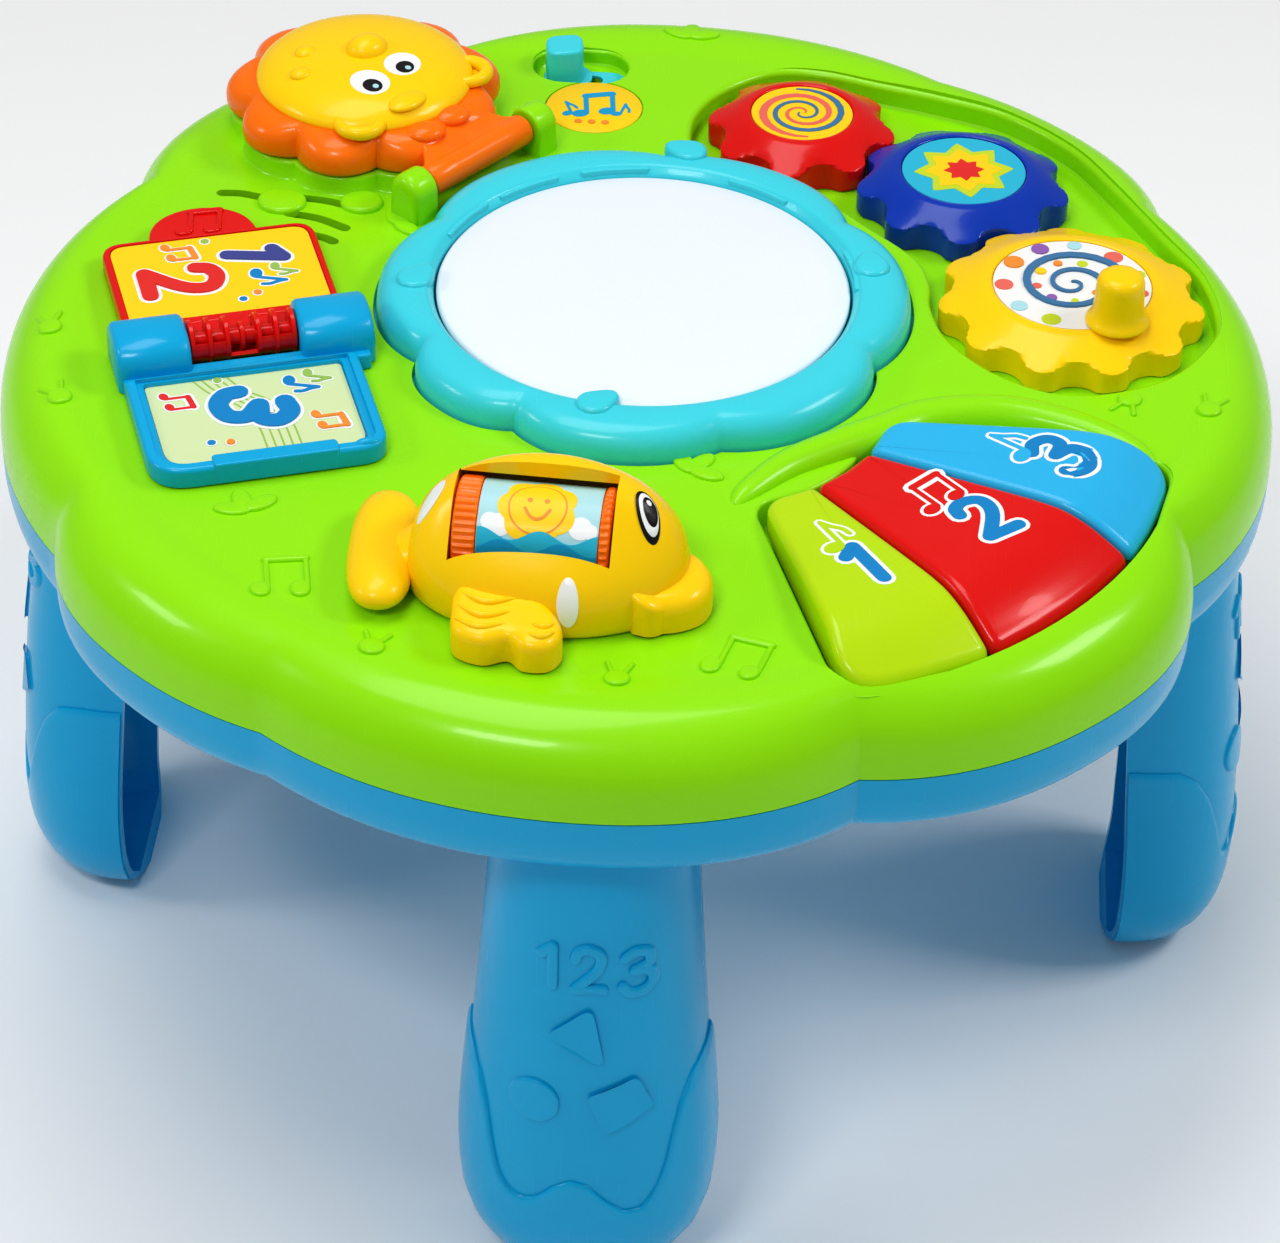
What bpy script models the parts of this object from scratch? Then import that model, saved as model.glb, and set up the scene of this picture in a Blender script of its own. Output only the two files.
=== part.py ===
import math

import bmesh
import bpy
from mathutils import Matrix, Vector

# Main sizes in metres
RIM_RADIUS = 0.155
SEAM_HEIGHT = 0.150
DECK_RISE = 0.020
WALL = 0.0025
TUB_WALL = 0.0022
GAP = 0.0003
BAND_DROP = 0.016
RING_STEPS = 64
ROUND_STEPS = 26
FINE_STEPS = 36
FAN_STEPS = 72
KNOB_STEPS = 18
CLOSED_STEPS = 2
TUB_ARC_POINTS = 13
ROOM_ARC_POINTS = 6
DRUM_STEPS = 56
SMALL_STEPS = 12
PIN_STEPS = 10
WEB = 0.001
REACH = 0.030
LABEL_THICKNESS = 0.0005
FLOAT_PLAY = 0.0006

# Outline of the table: places of the creases, then radii as shares of the rim radius
CREASE_ANGLES = (-25.0, 30.0, 61.2, 113.0, 155.0, 210.0, 241.2, 293.0)
CREASE_SHARES = (0.9497, 0.9710, 0.9929, 0.9710, 0.9497, 0.9710, 0.9929, 0.9710)
LOBE_SHARES = (0.9968, 1.0129, 1.0271, 1.0271, 0.9968, 1.0129, 1.0271, 1.0271)
LOBE_POWER = 2.6

# Rim profiles: inset as a share of the rim radius, rise as a share of the deck rise, fade of the creases
RIM_OUTER_SHARES = (
    (0.0000, 0.0000, 0), (0.0026, 0.3500, 0), (0.0142, 0.6300, 0.05), (0.0387, 0.8700, 0.15),
    (0.0710, 1.0100, 0.4), (0.1097, 1.0500, 0.7), (0.1677, 1.0000, 1.0),
)
RIM_INNER_SHARES = (
    (0.0161, 0.0000, 0), (0.0187, 0.3250, 0), (0.0355, 0.5750, 0.05), (0.0581, 0.7500, 0.2),
    (0.1097, 0.8900, 0.7), (0.1677, 0.8750, 1.0),
)
BAND_OUTER_SHARES = (
    (0.0000, 0.0000, 0), (0.0019, 0.5000, 0), (0.0097, 0.7812, 0), (0.0271, 0.9625, 0),
    (0.0387, 1.0000, 0),
)
BAND_INNER_SHARES = (
    (0.0161, 0.0000, 0), (0.0181, 0.5000, 0), (0.0297, 0.7125, 0), (0.0452, 0.8250, 0),
    (0.0581, 0.8438, 0),
)

# Legs
LEG_ANGLES = {"leg_front": -90.0, "leg_right": 0.0, "leg_back": 90.0, "leg_left": 180.0}
LEG_WALL = 0.0028
LEG_SIDE_POINTS = 10
LEG_POWER = 2.4
# Leg sections: height, open side, outer side and half width, as shares of the seam height or rim radius
LEG_SHARES = (
    (0.0000, 0.8129, 0.8968, 0.0581), (0.0107, 0.8194, 0.9290, 0.1032),
    (0.0300, 0.8258, 0.9613, 0.1387), (0.0600, 0.8310, 0.9826, 0.1626),
    (0.1200, 0.8323, 1.0026, 0.1845), (0.2000, 0.8323, 1.0090, 0.1916),
    (0.2933, 0.8284, 1.0110, 0.1897), (0.4867, 0.8168, 0.9974, 0.1742),
    (0.6133, 0.8103, 0.9832, 0.1652), (0.7800, 0.8065, 0.9690, 0.1548),
    (0.8913, 0.8065, 0.9542, 0.1510),
)
LEG_HOLLOW_START = 0.012
TONGUE_WIDTH = 0.020
TONGUE_DEPTH = 0.006
TONGUE_RISE = 0.0065
TONGUE_RADIUS_SHARE = 0.8839

# Drum button
DRUM_PLACE_SHARE = (0.0013, 0.0806)
DRUM_CREASE_ANGLES = (-151.0, -116.0, -69.0, -21.0, 35.0, 88.0, 155.0)
DRUM_CREASE_SHARES = (0.3839, 0.3903, 0.4000, 0.3935, 0.3903, 0.4000, 0.3903)
DRUM_LOBE_SHARES = (0.4194, 0.4226, 0.4258, 0.4226, 0.4194, 0.4226, 0.4194)
DRUM_TOP_RISE = 0.008
DRUM_SHOULDER_RISE = 0.0045
DRUM_SLOPE_RISE = 0.0068
DRUM_SLOPE_INSET = 0.0012
DRUM_CREST_INSET = 0.0042
DRUM_GAP = 0.0008
HEAD_RADIUS_SHARE = 0.3252
HEAD_PLAY = 0.0006
HEAD_FLAT_SHARE = 0.6
HEAD_SHOULDER_SHARE = 0.93
HEAD_THICKNESS = 0.0022
HEAD_EDGE_RISE = 0.0052
HEAD_DOME_RISE = 0.0074
HEAD_FALL = 0.0005
HEAD_MOUTH_RADIUS_SHARE = 0.3452
FLANGE_REACH = 0.0020
FLANGE_THICKNESS = 0.0025
CUP_RADIUS_SHARE = 0.3200
CUP_WALL = 0.0022
POST_RADIUS = 0.004
POST_DROP = 0.0039
PEDESTAL_RADIUS = 0.012
PEDESTAL_BORE = 0.0048
PEDESTAL_FLOOR_RISE = 0.004
SPRING_RADIUS = 0.0075
SPRING_WIRE = 0.0006
SPRING_TURNS = 4
SPRING_POINTS = 10
SWITCH_SIDE = 0.006
SWITCH_RISE = 0.0032
SWITCH_BUTTON_RADIUS = 0.0016
SWITCH_BUTTON_RISE = 0.0009

# Gears
MODULE_SHARE = 0.0366
TOOTH_DEPTH_SHARE = 0.0129
TOOTH_BACKLASH_SHARE = 0.0023
TOOTH_POWER = 0.65
TOOTH_POINTS = 8
GEAR_TOP_RISE = 0.005
GEAR_LEDGE_RISE = 0.0
GEAR_HUB_RADIUS = 0.0075
GEAR_BORE_TOP_RISE = 0.0025
GEAR_HOLLOW_WALL = 0.0026
AXLE_RADIUS = 0.0031
AXLE_FLANGE_RADIUS = 0.0065
AXLE_FLANGE_THICKNESS = 0.002
RECESS_DEPTH = 0.006
GEARS = {
    "red": (8, (0.2277, 0.6419), 0.0865),
    "blue": (9, (0.4994, 0.4890), 0.1032),
    "yellow": (11, (0.6748, 0.1677), 0.1271),
}
RECESS_SHARES = (
    (0.0610, 0.5500), (0.1468, 0.4981), (0.2613, 0.4400), (0.3523, 0.3523), (0.4290, 0.2677),
    (0.4516, 0.1968), (0.4542, 0.1323), (0.4826, 0.0439), (0.5535, -0.0387), (0.6413, -0.0845),
    (0.7252, -0.0800), (0.8219, -0.0303), (0.8852, 0.0594), (0.9032, 0.1355), (0.8806, 0.2568),
    (0.8206, 0.3671), (0.7413, 0.5161), (0.6735, 0.6258), (0.5684, 0.7194), (0.4542, 0.7658),
    (0.3452, 0.7974), (0.2581, 0.8232), (0.1787, 0.8219), (0.1116, 0.7748), (0.0645, 0.7097),
    (0.0452, 0.6323),
)
KNOB_PLACE_SHARE = (0.7439, 0.0671)
KNOB_BASE_RADIUS = 0.0078
KNOB_WAIST_RADIUS = 0.0052
KNOB_TOP_RADIUS = 0.0062
KNOB_RISE = 0.0135
KNOB_EDGE = 0.0018
KNOB_WAIST_RISE = 0.0054
KNOB_FOOT_RISE = 0.0027
KNOB_FOOT_RADIUS = 0.0057
KNOB_LIP = 0.0005
KNOB_PEG_RADIUS = 0.0025
KNOB_PEG_DROP = 0.0022

# Keys
FAN_PLACE_SHARE = (0.1258, -0.1884)
KEY_ANGLES = {"green": (-71.5, -51.9), "red": (-51.9, -25.8), "blue": (-25.8, -5.6)}
KEY_SIDE_PLAY = 0.0004
KEY_INNER_RADIUS_SHARE = 0.2684
KEY_CREST_RADIUS_SHARE = 0.6368
KEY_OUTER_RADIUS_SHARE = 0.7006
KEY_INNER_RISE = 0.004
KEY_CREST_RISE = 0.008
KEY_BROW_RISE = 0.0062
KEY_BROW_RADIUS_SHARE = 0.6787
KEY_SKIRT_DROP = 0.0032
KEY_FORM_PLAY = 0.0005
KEY_ARC_POINTS = 9
KEY_CORNER_SHARE = 0.0452
KEY_CORNER_POINTS = 5
KEY_WALL = 0.0022
KEY_OUTER_WALL = 0.0044
KEY_ROOF_RISE = 0.0012
KEY_HOLLOW_START_SHARE = 0.3419
KEY_PIN_RADIUS_SHARE = 0.2942
KEY_PIN_RISE = 0.0
KEY_PIN_RADIUS = 0.0012
KEY_PIN_PLAY = 0.0003
KEY_PIN_LENGTH = 0.0124
KEY_POST_WIDTH = 0.0046
KEY_POST_DEPTH = 0.0050
KEY_POST_RISE = 0.0017
KEY_SLOT_WIDTH = 0.0056
KEY_SLOT_DEPTH = 0.0090
KEY_SLOT_RISE = 0.0025
KEY_WELL_DEPTH = 0.0075
KEY_WELL_INNER_SHARE = 0.2477
KEY_WELL_OUTER_SHARE = 0.7097
KEY_WELL_SIDE = 0.0007
DOME_RADIUS_SHARE = 0.5419
DOME_BASE_RADIUS = 0.0045
DOME_TOP_RADIUS = 0.0022
DOME_SKIN = 0.0008
DOME_CROWN = 0.0016

# Ridge along the inner ends of the keys
RIDGE_SHARES = (
    (0.1710, -0.4290), (0.1961, -0.3865), (0.2497, -0.3206), (0.3316, -0.2600), (0.3903, -0.2226),
    (0.4548, -0.1781), (0.5639, -0.1542), (0.6723, -0.1748), (0.7548, -0.2174),
)
RIDGE_WIDTH = 0.0052
RIDGE_RISE = 0.0032
RIDGE_STEPS = 3
CAP_STEPS = 6

# Lion box and lid
LION_PLACE_SHARE = (-0.4968, 0.5806)
LION_TURN = -37.8
WELL_RADIUS_SHARE = 0.1742
WELL_DEPTH = 0.014
PETAL_COUNT = 9
PETAL_POINTS = 6
PEDESTAL_OUTER_SHARE = 0.2226
PEDESTAL_NOTCH_SHARE = 0.2032
PEDESTAL_HEIGHT = 0.005
MANE_OUTER_SHARE = 0.2310
MANE_NOTCH_SHARE = 0.2000
MANE_BOTTOM_RISE = 0.0053
MANE_TOP_RISE = 0.014
MANE_BEVEL = 0.0025
MANE_SKIN = 0.0024
MANE_RIM_RADIUS_SHARE = 0.1690
MANE_RIM_WALL = 0.0018
MANE_RIM_DROP = 0.0035
FACE_RADIUS_SHARE = 0.1613
FACE_EDGE = 0.0022
FACE_RISE = 0.0056
FACE_FALL = 0.0005
FACE_FLAT_RADIUS_SHARE = 0.0774
FACE_SHOULDER_RADIUS_SHARE = 0.1323
FACE_SHOULDER_RISE = 0.0039
LION_EARS = (("front", (-0.4855, 0.4329), -86.0), ("back", (-0.3503, 0.5884), 3.0))
LION_EAR_RADIUS = 0.0058
LION_EAR_HOLE = 0.0030
LION_EAR_LOW_RISE = 0.0145
LION_EAR_TOP_RISE = 0.0172
LION_EAR_POINTS = 9
LID_HINGE_REACH_SHARE = 0.2503
LID_HINGE_RISE = 0.0072
LID_BARREL_RADIUS = 0.0034
LID_BARREL_LENGTH = 0.0360
LID_ARM_WIDTH = 0.0240
LID_ARM_THICKNESS = 0.0030
LID_EAR_THICKNESS = 0.0044
LID_EAR_WIDTH = 0.0092
LID_PIN_RADIUS = 0.0013
LID_PIN_PLAY = 0.0003
LID_EAR_PLAY = 0.0005

# Book
BOOK_TURN = 18.5
TRAY_LEFT_SHARE = -0.8065
TRAY_RIGHT_SHARE = -0.4452
TRAY_FRONT_SHARE = -0.2452
TRAY_BACK_SHARE = 0.0097
TRAY_RISE = 0.0055
TRAY_FLOOR_RISE = 0.0030
TRAY_RIM = 0.0040
NOTCH_LEFT_SHARE = -0.7129
NOTCH_RIGHT_SHARE = -0.5226
SPINE_AXIS_SHARE = 0.0774
SPINE_RISE = 0.0065
BLOCK_SHARES = ((-0.8129, -0.6981), (-0.5277, -0.4129))
BLOCK_HALF = 0.0092
BLOCK_TOP_RISE = 0.0120
BLOCK_POINTS = 9
BLOCK_FOOT_RISE = 0.0040
BARREL_RADIUS = 0.0052
PAGE_LEFT_SHARE = -0.7839
PAGE_RIGHT_SHARE = -0.4419
PAGE_NEAR_SHARE = 0.1613
PAGE_FAR_SHARE = 0.3871
PAGE_BOTTOM_RISE = 0.0007
PAGE_TOP_RISE = 0.0055
PAGE_CORNER_SHARE = 0.0323
PAGE_CORNER_STEPS = 3
TAB_CENTRE_SHARE = -0.6161
TAB_HALF_SHARE = 0.0877
TAB_REACH_SHARE = 0.0903
TAB_POINTS = 9
BOOK_PIN_RADIUS = 0.0013
BOOK_PIN_PLAY = 0.0003
TRAY_LABEL_INSET = 0.0058
PAGE_LABEL_INSET = 0.0040
LABEL_SEAT = 0.0008

# Fish and roller
FISH_PLACE_SHARE = (-0.0839, -0.6452)
FISH_OUTLINE_SHARES = (
    (-0.2032, 0.0000), (-0.1903, -0.0677), (-0.1290, -0.1174), (-0.0387, -0.1368), (0.0581, -0.1342),
    (0.1419, -0.1019), (0.1903, -0.0555), (0.2032, 0.0000), (0.1871, 0.0613), (0.1355, 0.1065),
    (0.0516, 0.1342), (-0.0452, 0.1355), (-0.1355, 0.1097), (-0.1935, 0.0581),
)
FISH_LEVEL_SHARES = (
    (0.0150, 0.93), (0.2500, 1.0), (0.5500, 0.99), (0.8500, 0.93), (1.1000, 0.82), (1.3000, 0.64),
    (1.4500, 0.4), (1.5000, 0.2),
)
FISH_TURN = -3.0
TAIL_SHARES = (
    (-0.2710, -0.5742), (-0.2968, -0.5387), (-0.3290, -0.4761), (-0.3677, -0.5419), (-0.3794, -0.6290),
    (-0.3645, -0.7097), (-0.3265, -0.7806), (-0.2935, -0.7452), (-0.2645, -0.7032), (-0.2323, -0.6387),
)
TAIL_RISE = 0.006
BEAK_SHARES = (
    (0.0452, -0.6129), (0.0968, -0.6097), (0.1323, -0.6258), (0.1516, -0.6645), (0.1516, -0.7032),
    (0.1323, -0.7355), (0.0903, -0.7581), (0.0452, -0.7548),
)
BEAK_RISE = 0.009
FLIPPER_SHARES = (
    (-0.2032, -0.7484), (-0.2097, -0.8000), (-0.2000, -0.8387), (-0.1613, -0.8548), (-0.1245, -0.8452),
    (-0.1032, -0.8677), (-0.0677, -0.8645), (-0.0516, -0.8355), (-0.0581, -0.8032), (-0.0839, -0.7742),
    (-0.1290, -0.7419),
)
FLIPPER_RISE = 0.0085
LIMB_LIFT = 0.0009
ROLLER_PLACE_SHARE = (-0.1032, -0.6516)
ROLLER_RISE = 0.0140
ROLLER_RADIUS_SHARE = 0.0774
ROLLER_LABEL_DROP = 0.0004
ROLLER_CORE_DROP = 0.0011
ROLLER_LENGTH_SHARE = 0.2258
ROLLER_BAND_WIDE = 0.0095
ROLLER_BAND_NARROW = 0.0035
ROLLER_PLAY = 0.0012
ROLLER_END_PLAY = 0.0006
ROLLER_AXLE_RADIUS = 0.0016
ROLLER_AXLE_REACH = 0.0035
WINDOW_BACK = 0.0050

# Slider switch
SLIDER_PLACE_SHARE = (-0.1826, 0.8000)
SLIDER_OVAL_SHARE = (-0.1548, 0.8065)
SLIDER_TRAVEL = 0.008
OVAL_LENGTH = 0.0250
OVAL_WIDTH = 0.0160
OVAL_DEPTH = 0.0042
OVAL_POINTS = 10
SLIDER_RADIUS = 0.0050
SLIDER_TOP_RISE = 0.0075
SLIDER_EDGE = 0.0012
SLIDER_FOOT_RADIUS = 0.0064
SLIDER_FOOT_RISE = 0.0015
SLIDER_STEM_RADIUS = 0.0018
SLIDER_STEM_DROP = 0.0038
SLIDER_SLOT_PLAY = 0.0005
SWITCH_BOX_LENGTH = 0.0200
SWITCH_BOX_WIDTH = 0.0090
SWITCH_BOX_HEIGHT = 0.0070
SWITCH_GROOVE_DEPTH = 0.0034

# Round label
ROUND_LABEL_PLACE_SHARE = (-0.1226, 0.6748)
ROUND_LABEL_RADIUS = 0.0126

# Speaker
SPEAKER_PLACE_SHARE = (-0.5806, 0.2581)
SPEAKER_RADIUS = 0.0140
SPEAKER_DEPTH = 0.0110
SPEAKER_MAGNET_RADIUS = 0.0080
SPEAKER_MAGNET_DEPTH = 0.0050
SPEAKER_FLANGE = 0.0020
SLOT_WIDTH = 0.0030
SLOT_LINES_SHARES = (
    ((-0.7039, 0.3458), (-0.6742, 0.3471), (-0.6452, 0.3406)),
    ((-0.5987, 0.3458), (-0.5290, 0.3381), (-0.4677, 0.3148)),
    ((-0.5877, 0.2955), (-0.5387, 0.2852), (-0.4929, 0.2613)),
    ((-0.5406, 0.2348), (-0.5226, 0.2297), (-0.5071, 0.2206)),
)

# Circuit board
BOARD_PLACE_SHARE = (-0.5032, -0.1032)
BOARD_LENGTH = 0.066
BOARD_WIDTH = 0.060
BOARD_THICKNESS = 0.0016
BOARD_DROP = 0.0057
BOARD_BOSS_RADIUS = 0.003
BOARD_BOSS_INSET = 0.006
CHIP_SIDE = 0.012
CHIP_RISE = 0.0015

# Batteries
BATTERY_PLACE_SHARE = (0.0000, -0.4129)
BATTERY_RADIUS = 0.0071
BATTERY_LENGTH = 0.0490
BATTERY_PITCH = 0.0150
BATTERY_DROP = 0.0060
BATTERY_TIP_RADIUS = 0.0027
BATTERY_TIP = 0.0010
CASE_HALF_X = 0.0232
CASE_HALF_Y = 0.0262
CASE_WALL = 0.0016
CASE_ROOM_RISE = 0.0076
CASE_BLOCK = 0.0080
CASE_FLANGE = 0.0030
DOOR_THICKNESS = 0.0018
SCREW_HEAD_RADIUS = 0.0034
SCREW_HEAD_RISE = 0.0022
SCREW_SHAFT_RADIUS = 0.0016
SCREW_REACH = 0.0075
SCREW_SEAT_DROP = 0.0035
SCREW_PLAY = 0.0004
SCREW_BOSS_RADIUS = 0.0054
SCREW_BORE_REACH = 0.0085
BOSS_PLACE_SHARES = ((0.7581, 0.2761), (-0.7581, 0.2761), (-0.6181, -0.5181), (0.6181, -0.5181))
DOOR_SCREW_HEAD_RADIUS = 0.0024
DOOR_SCREW_SHAFT_RADIUS = 0.0012
DOOR_SCREW_REACH = 0.0100
DOOR_SCREW_HEAD_RISE = 0.0012
DOOR_SCREW_PLAY = 0.0003

# Derived levels
DECK = SEAM_HEIGHT + DECK_RISE
DECK_BOTTOM = DECK - WALL
BASE = SEAM_HEIGHT - BAND_DROP
BASE_FLOOR = BASE + WALL
RECESS_FLOOR = DECK - RECESS_DEPTH
KEY_FLOOR = DECK - KEY_WELL_DEPTH
OVAL_FLOOR = DECK - OVAL_DEPTH
FLANGE_TOP = DECK_BOTTOM - GAP
LEVEL_TOP = DECK + REACH
HEAD_RADIUS = RIM_RADIUS * HEAD_RADIUS_SHARE
HEAD_MOUTH_RADIUS = RIM_RADIUS * HEAD_MOUTH_RADIUS_SHARE
CUP_RADIUS = RIM_RADIUS * CUP_RADIUS_SHARE
POST_BOTTOM = SEAM_HEIGHT - POST_DROP
PEDESTAL_TOP = SEAM_HEIGHT
PEDESTAL_FLOOR = BASE + PEDESTAL_FLOOR_RISE
WELL_RADIUS = RIM_RADIUS * WELL_RADIUS_SHARE
WELL_FLOOR = DECK - WELL_DEPTH
MANE_RIM_RADIUS = RIM_RADIUS * MANE_RIM_RADIUS_SHARE
FACE_RADIUS = RIM_RADIUS * FACE_RADIUS_SHARE
FACE_FLAT_RADIUS = RIM_RADIUS * FACE_FLAT_RADIUS_SHARE
FACE_SHOULDER_RADIUS = RIM_RADIUS * FACE_SHOULDER_RADIUS_SHARE
ROLLER_RADIUS = RIM_RADIUS * ROLLER_RADIUS_SHARE
ROLLER_LABEL_RADIUS = ROLLER_RADIUS - ROLLER_LABEL_DROP
ROLLER_CORE_RADIUS = ROLLER_RADIUS - ROLLER_CORE_DROP
ROLLER_LENGTH = RIM_RADIUS * ROLLER_LENGTH_SHARE
BOARD_HEIGHT = SEAM_HEIGHT - BOARD_DROP
BATTERY_HEIGHT = SEAM_HEIGHT - BATTERY_DROP
CASE_INNER_TOP = BATTERY_HEIGHT + CASE_ROOM_RISE
SCREW_TOP = SEAM_HEIGHT + SCREW_REACH
SCREW_SEAT = SEAM_HEIGHT - SCREW_SEAT_DROP
SCREW_BORE_TOP = SEAM_HEIGHT + SCREW_BORE_REACH
DOOR_SCREW_TOP = BASE + DOOR_SCREW_REACH


def in_metres(share):
    return share * RIM_RADIUS


def place(share):
    return (in_metres(share[0]), in_metres(share[1]))


def places(shares):
    return [place(share) for share in shares]


def turn(point, degrees, about=(0, 0)):
    angle = math.radians(degrees)
    x = point[0] - about[0]
    y = point[1] - about[1]
    return (about[0] + x * math.cos(angle) - y * math.sin(angle),
            about[1] + x * math.sin(angle) + y * math.cos(angle))


def along(angle, distance, start=(0, 0)):
    radians = math.radians(angle)
    return (start[0] + distance * math.cos(radians), start[1] + distance * math.sin(radians))


def fresh_collection(name):
    collection = bpy.data.collections.new(name)
    bpy.context.scene.collection.children.link(collection)
    return collection


for leftover in list(bpy.data.objects):
    bpy.data.objects.remove(leftover)
PARTS = fresh_collection("musical_activity_table")
CUTTERS = fresh_collection("cutters")


def material(name, colour, roughness=0.25, metallic=0.0):
    made = bpy.data.materials.new(name)
    made.use_nodes = True
    shader = made.node_tree.nodes["Principled BSDF"]
    shader.inputs["Base Color"].default_value = (*colour, 1.0)
    shader.inputs["Roughness"].default_value = roughness
    shader.inputs["Metallic"].default_value = metallic
    return made


def linked(mesh, name, colour, cutter=False):
    thing = bpy.data.objects.new(name, mesh)
    (CUTTERS if cutter else PARTS).objects.link(thing)
    if cutter:
        thing.hide_render = True
        thing.display_type = "WIRE"
    elif colour is not None:
        mesh.materials.clear()
        mesh.materials.append(colour)
    return thing


def turned(name, profile, centre, colour=None, steps=ROUND_STEPS, cutter=False):
    """Screw a profile of (radius, height) points round the vertical line at centre."""
    mesh = bpy.data.meshes.new(name)
    bm = bmesh.new()
    corners = [bm.verts.new((radius, 0, height)) for radius, height in profile]
    for first, second in zip(corners, corners[1:]):
        bm.edges.new((first, second))
    bm.to_mesh(mesh)
    bm.free()
    thing = linked(mesh, name, colour, cutter)
    thing.location = (centre[0], centre[1], 0)
    screw = thing.modifiers.new("turn", "SCREW")
    screw.axis = "Z"
    screw.steps = steps
    screw.render_steps = steps
    screw.use_merge_vertices = True
    screw.merge_threshold = 0.00001
    return thing


def slab(name, outline, bottom, top, colour=None, cutter=False):
    """Fill a flat outline and give it thickness between two heights."""
    curve = bpy.data.curves.new(name, "CURVE")
    curve.dimensions = "2D"
    curve.fill_mode = "BOTH"
    curve.extrude = (top - bottom) / 2
    spline = curve.splines.new("POLY")
    spline.points.add(len(outline) - 1)
    for point, spot in zip(spline.points, outline):
        point.co = (spot[0], spot[1], 0, 1)
    spline.use_cyclic_u = True
    return solid_of(curve, name, colour, cutter, Matrix.Translation((0, 0, (top + bottom) / 2)))


def solid_of(curve, name, colour, cutter, shift):
    """Turn a curve into a welded mesh piece and drop the curve."""
    holder = bpy.data.objects.new(name + "_curve", curve)
    PARTS.objects.link(holder)
    bpy.context.view_layer.update()
    graph = bpy.context.evaluated_depsgraph_get()
    mesh = bpy.data.meshes.new_from_object(holder.evaluated_get(graph))
    mesh.name = name
    bpy.data.objects.remove(holder)
    bpy.data.curves.remove(curve)
    bm = bmesh.new()
    bm.from_mesh(mesh)
    bmesh.ops.remove_doubles(bm, verts=bm.verts, dist=0.000001)
    bmesh.ops.transform(bm, matrix=shift, verts=bm.verts)
    bmesh.ops.recalc_face_normals(bm, faces=bm.faces)
    bm.to_mesh(mesh)
    bm.free()
    return linked(mesh, name, colour, cutter)


def loft(name, rings, colour=None, cutter=False):
    """Skin between unlike closed sections, with a cap at each end."""
    mesh = bpy.data.meshes.new(name)
    bm = bmesh.new()
    rows = [[bm.verts.new(point) for point in ring] for ring in rings]
    for lower, upper in zip(rows, rows[1:]):
        for index, corner in enumerate(lower):
            after = (index + 1) % len(lower)
            bm.faces.new((corner, lower[after], upper[after], upper[index]))
    bm.faces.new(rows[0][::-1])
    bm.faces.new(rows[-1])
    bmesh.ops.recalc_face_normals(bm, faces=bm.faces)
    bm.to_mesh(mesh)
    bm.free()
    return linked(mesh, name, colour, cutter)


def block(name, low, high, colour=None, cutter=False):
    """A box between two opposite corners."""
    outline = [(low[0], low[1]), (high[0], low[1]), (high[0], high[1]), (low[0], high[1])]
    return slab(name, outline, low[2], high[2], colour, cutter)


def rod(name, start, end, radius, colour=None, steps=PIN_STEPS, cutter=False):
    """A straight round bar between two points."""
    mesh = bpy.data.meshes.new(name)
    bm = bmesh.new()
    line = Vector(end) - Vector(start)
    spin = line.to_track_quat("Z", "Y").to_matrix().to_4x4()
    middle = (Vector(end) + Vector(start)) / 2
    bmesh.ops.create_cone(bm, cap_ends=True, segments=steps, radius1=radius, radius2=radius,
                          depth=line.length, matrix=Matrix.Translation(middle) @ spin)
    bm.to_mesh(mesh)
    bm.free()
    return linked(mesh, name, colour, cutter)


def boolean(thing, other, operation):
    change = thing.modifiers.new(operation.lower() + "_" + other.name, "BOOLEAN")
    change.operation = operation
    change.solver = "EXACT"
    change.object = other


def cut(thing, *others):
    for other in others:
        boolean(thing, other, "DIFFERENCE")


def join(thing, *others):
    for other in others:
        boolean(thing, other, "UNION")


def keep(thing, other):
    boolean(thing, other, "INTERSECT")


def bevel(thing, width, segments=2, angle=40.0):
    edge = thing.modifiers.new("edge", "BEVEL")
    edge.width = width
    edge.segments = segments
    edge.limit_method = "ANGLE"
    edge.angle_limit = math.radians(angle)


def smooth_outline(points, steps):
    """A rounded closed line through the given corners."""
    line = []
    count = len(points)
    for index in range(count):
        corners = [Vector(points[(index + move) % count]) for move in (-1, 0, 1, 2)]
        before, first, second, after = corners
        for step in range(steps):
            t = step / steps
            line.append(tuple(((first * 2) + (second - before) * t
                               + (before * 2 - first * 5 + second * 4 - after) * t * t
                               + (first * 3 - before - second * 3 + after) * t * t * t) / 2))
    return line


def grown(points, distance):
    """Move each point of a closed outline that runs anticlockwise outward by the same distance."""
    count = len(points)
    moved = []
    for index in range(count):
        before = Vector(points[index - 1])
        after = Vector(points[(index + 1) % count])
        way = (after - before).normalized()
        moved.append((points[index][0] + way.y * distance, points[index][1] - way.x * distance))
    return moved


def anticlockwise(points):
    total = 0
    for index, point in enumerate(points):
        after = points[(index + 1) % len(points)]
        total += point[0] * after[1] - after[0] * point[1]
    return points if total > 0 else points[::-1]


def lobed_radius(angle, creases, crease_shares, lobe_shares):
    """Radius of a petalled outline at an angle in degrees."""
    count = len(creases)
    for index in range(count):
        start = creases[index]
        width = (creases[(index + 1) % count] - start) % 360
        offset = (angle - start) % 360
        if offset < width:
            share = offset / width
            notch = crease_shares[index] * (1 - share) + crease_shares[(index + 1) % count] * share
            bulge = 1 - abs(2 * share - 1) ** LOBE_POWER
            return in_metres(notch + (lobe_shares[index] - notch) * bulge)
    return in_metres(lobe_shares[0])


def crease_steps(creases, total):
    """Angles spread so that each crease falls on a point."""
    angles = []
    count = len(creases)
    each = total // count
    for index in range(count):
        width = (creases[(index + 1) % count] - creases[index]) % 360
        for step in range(each):
            angles.append(creases[index] + width * step / each)
    return angles


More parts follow.
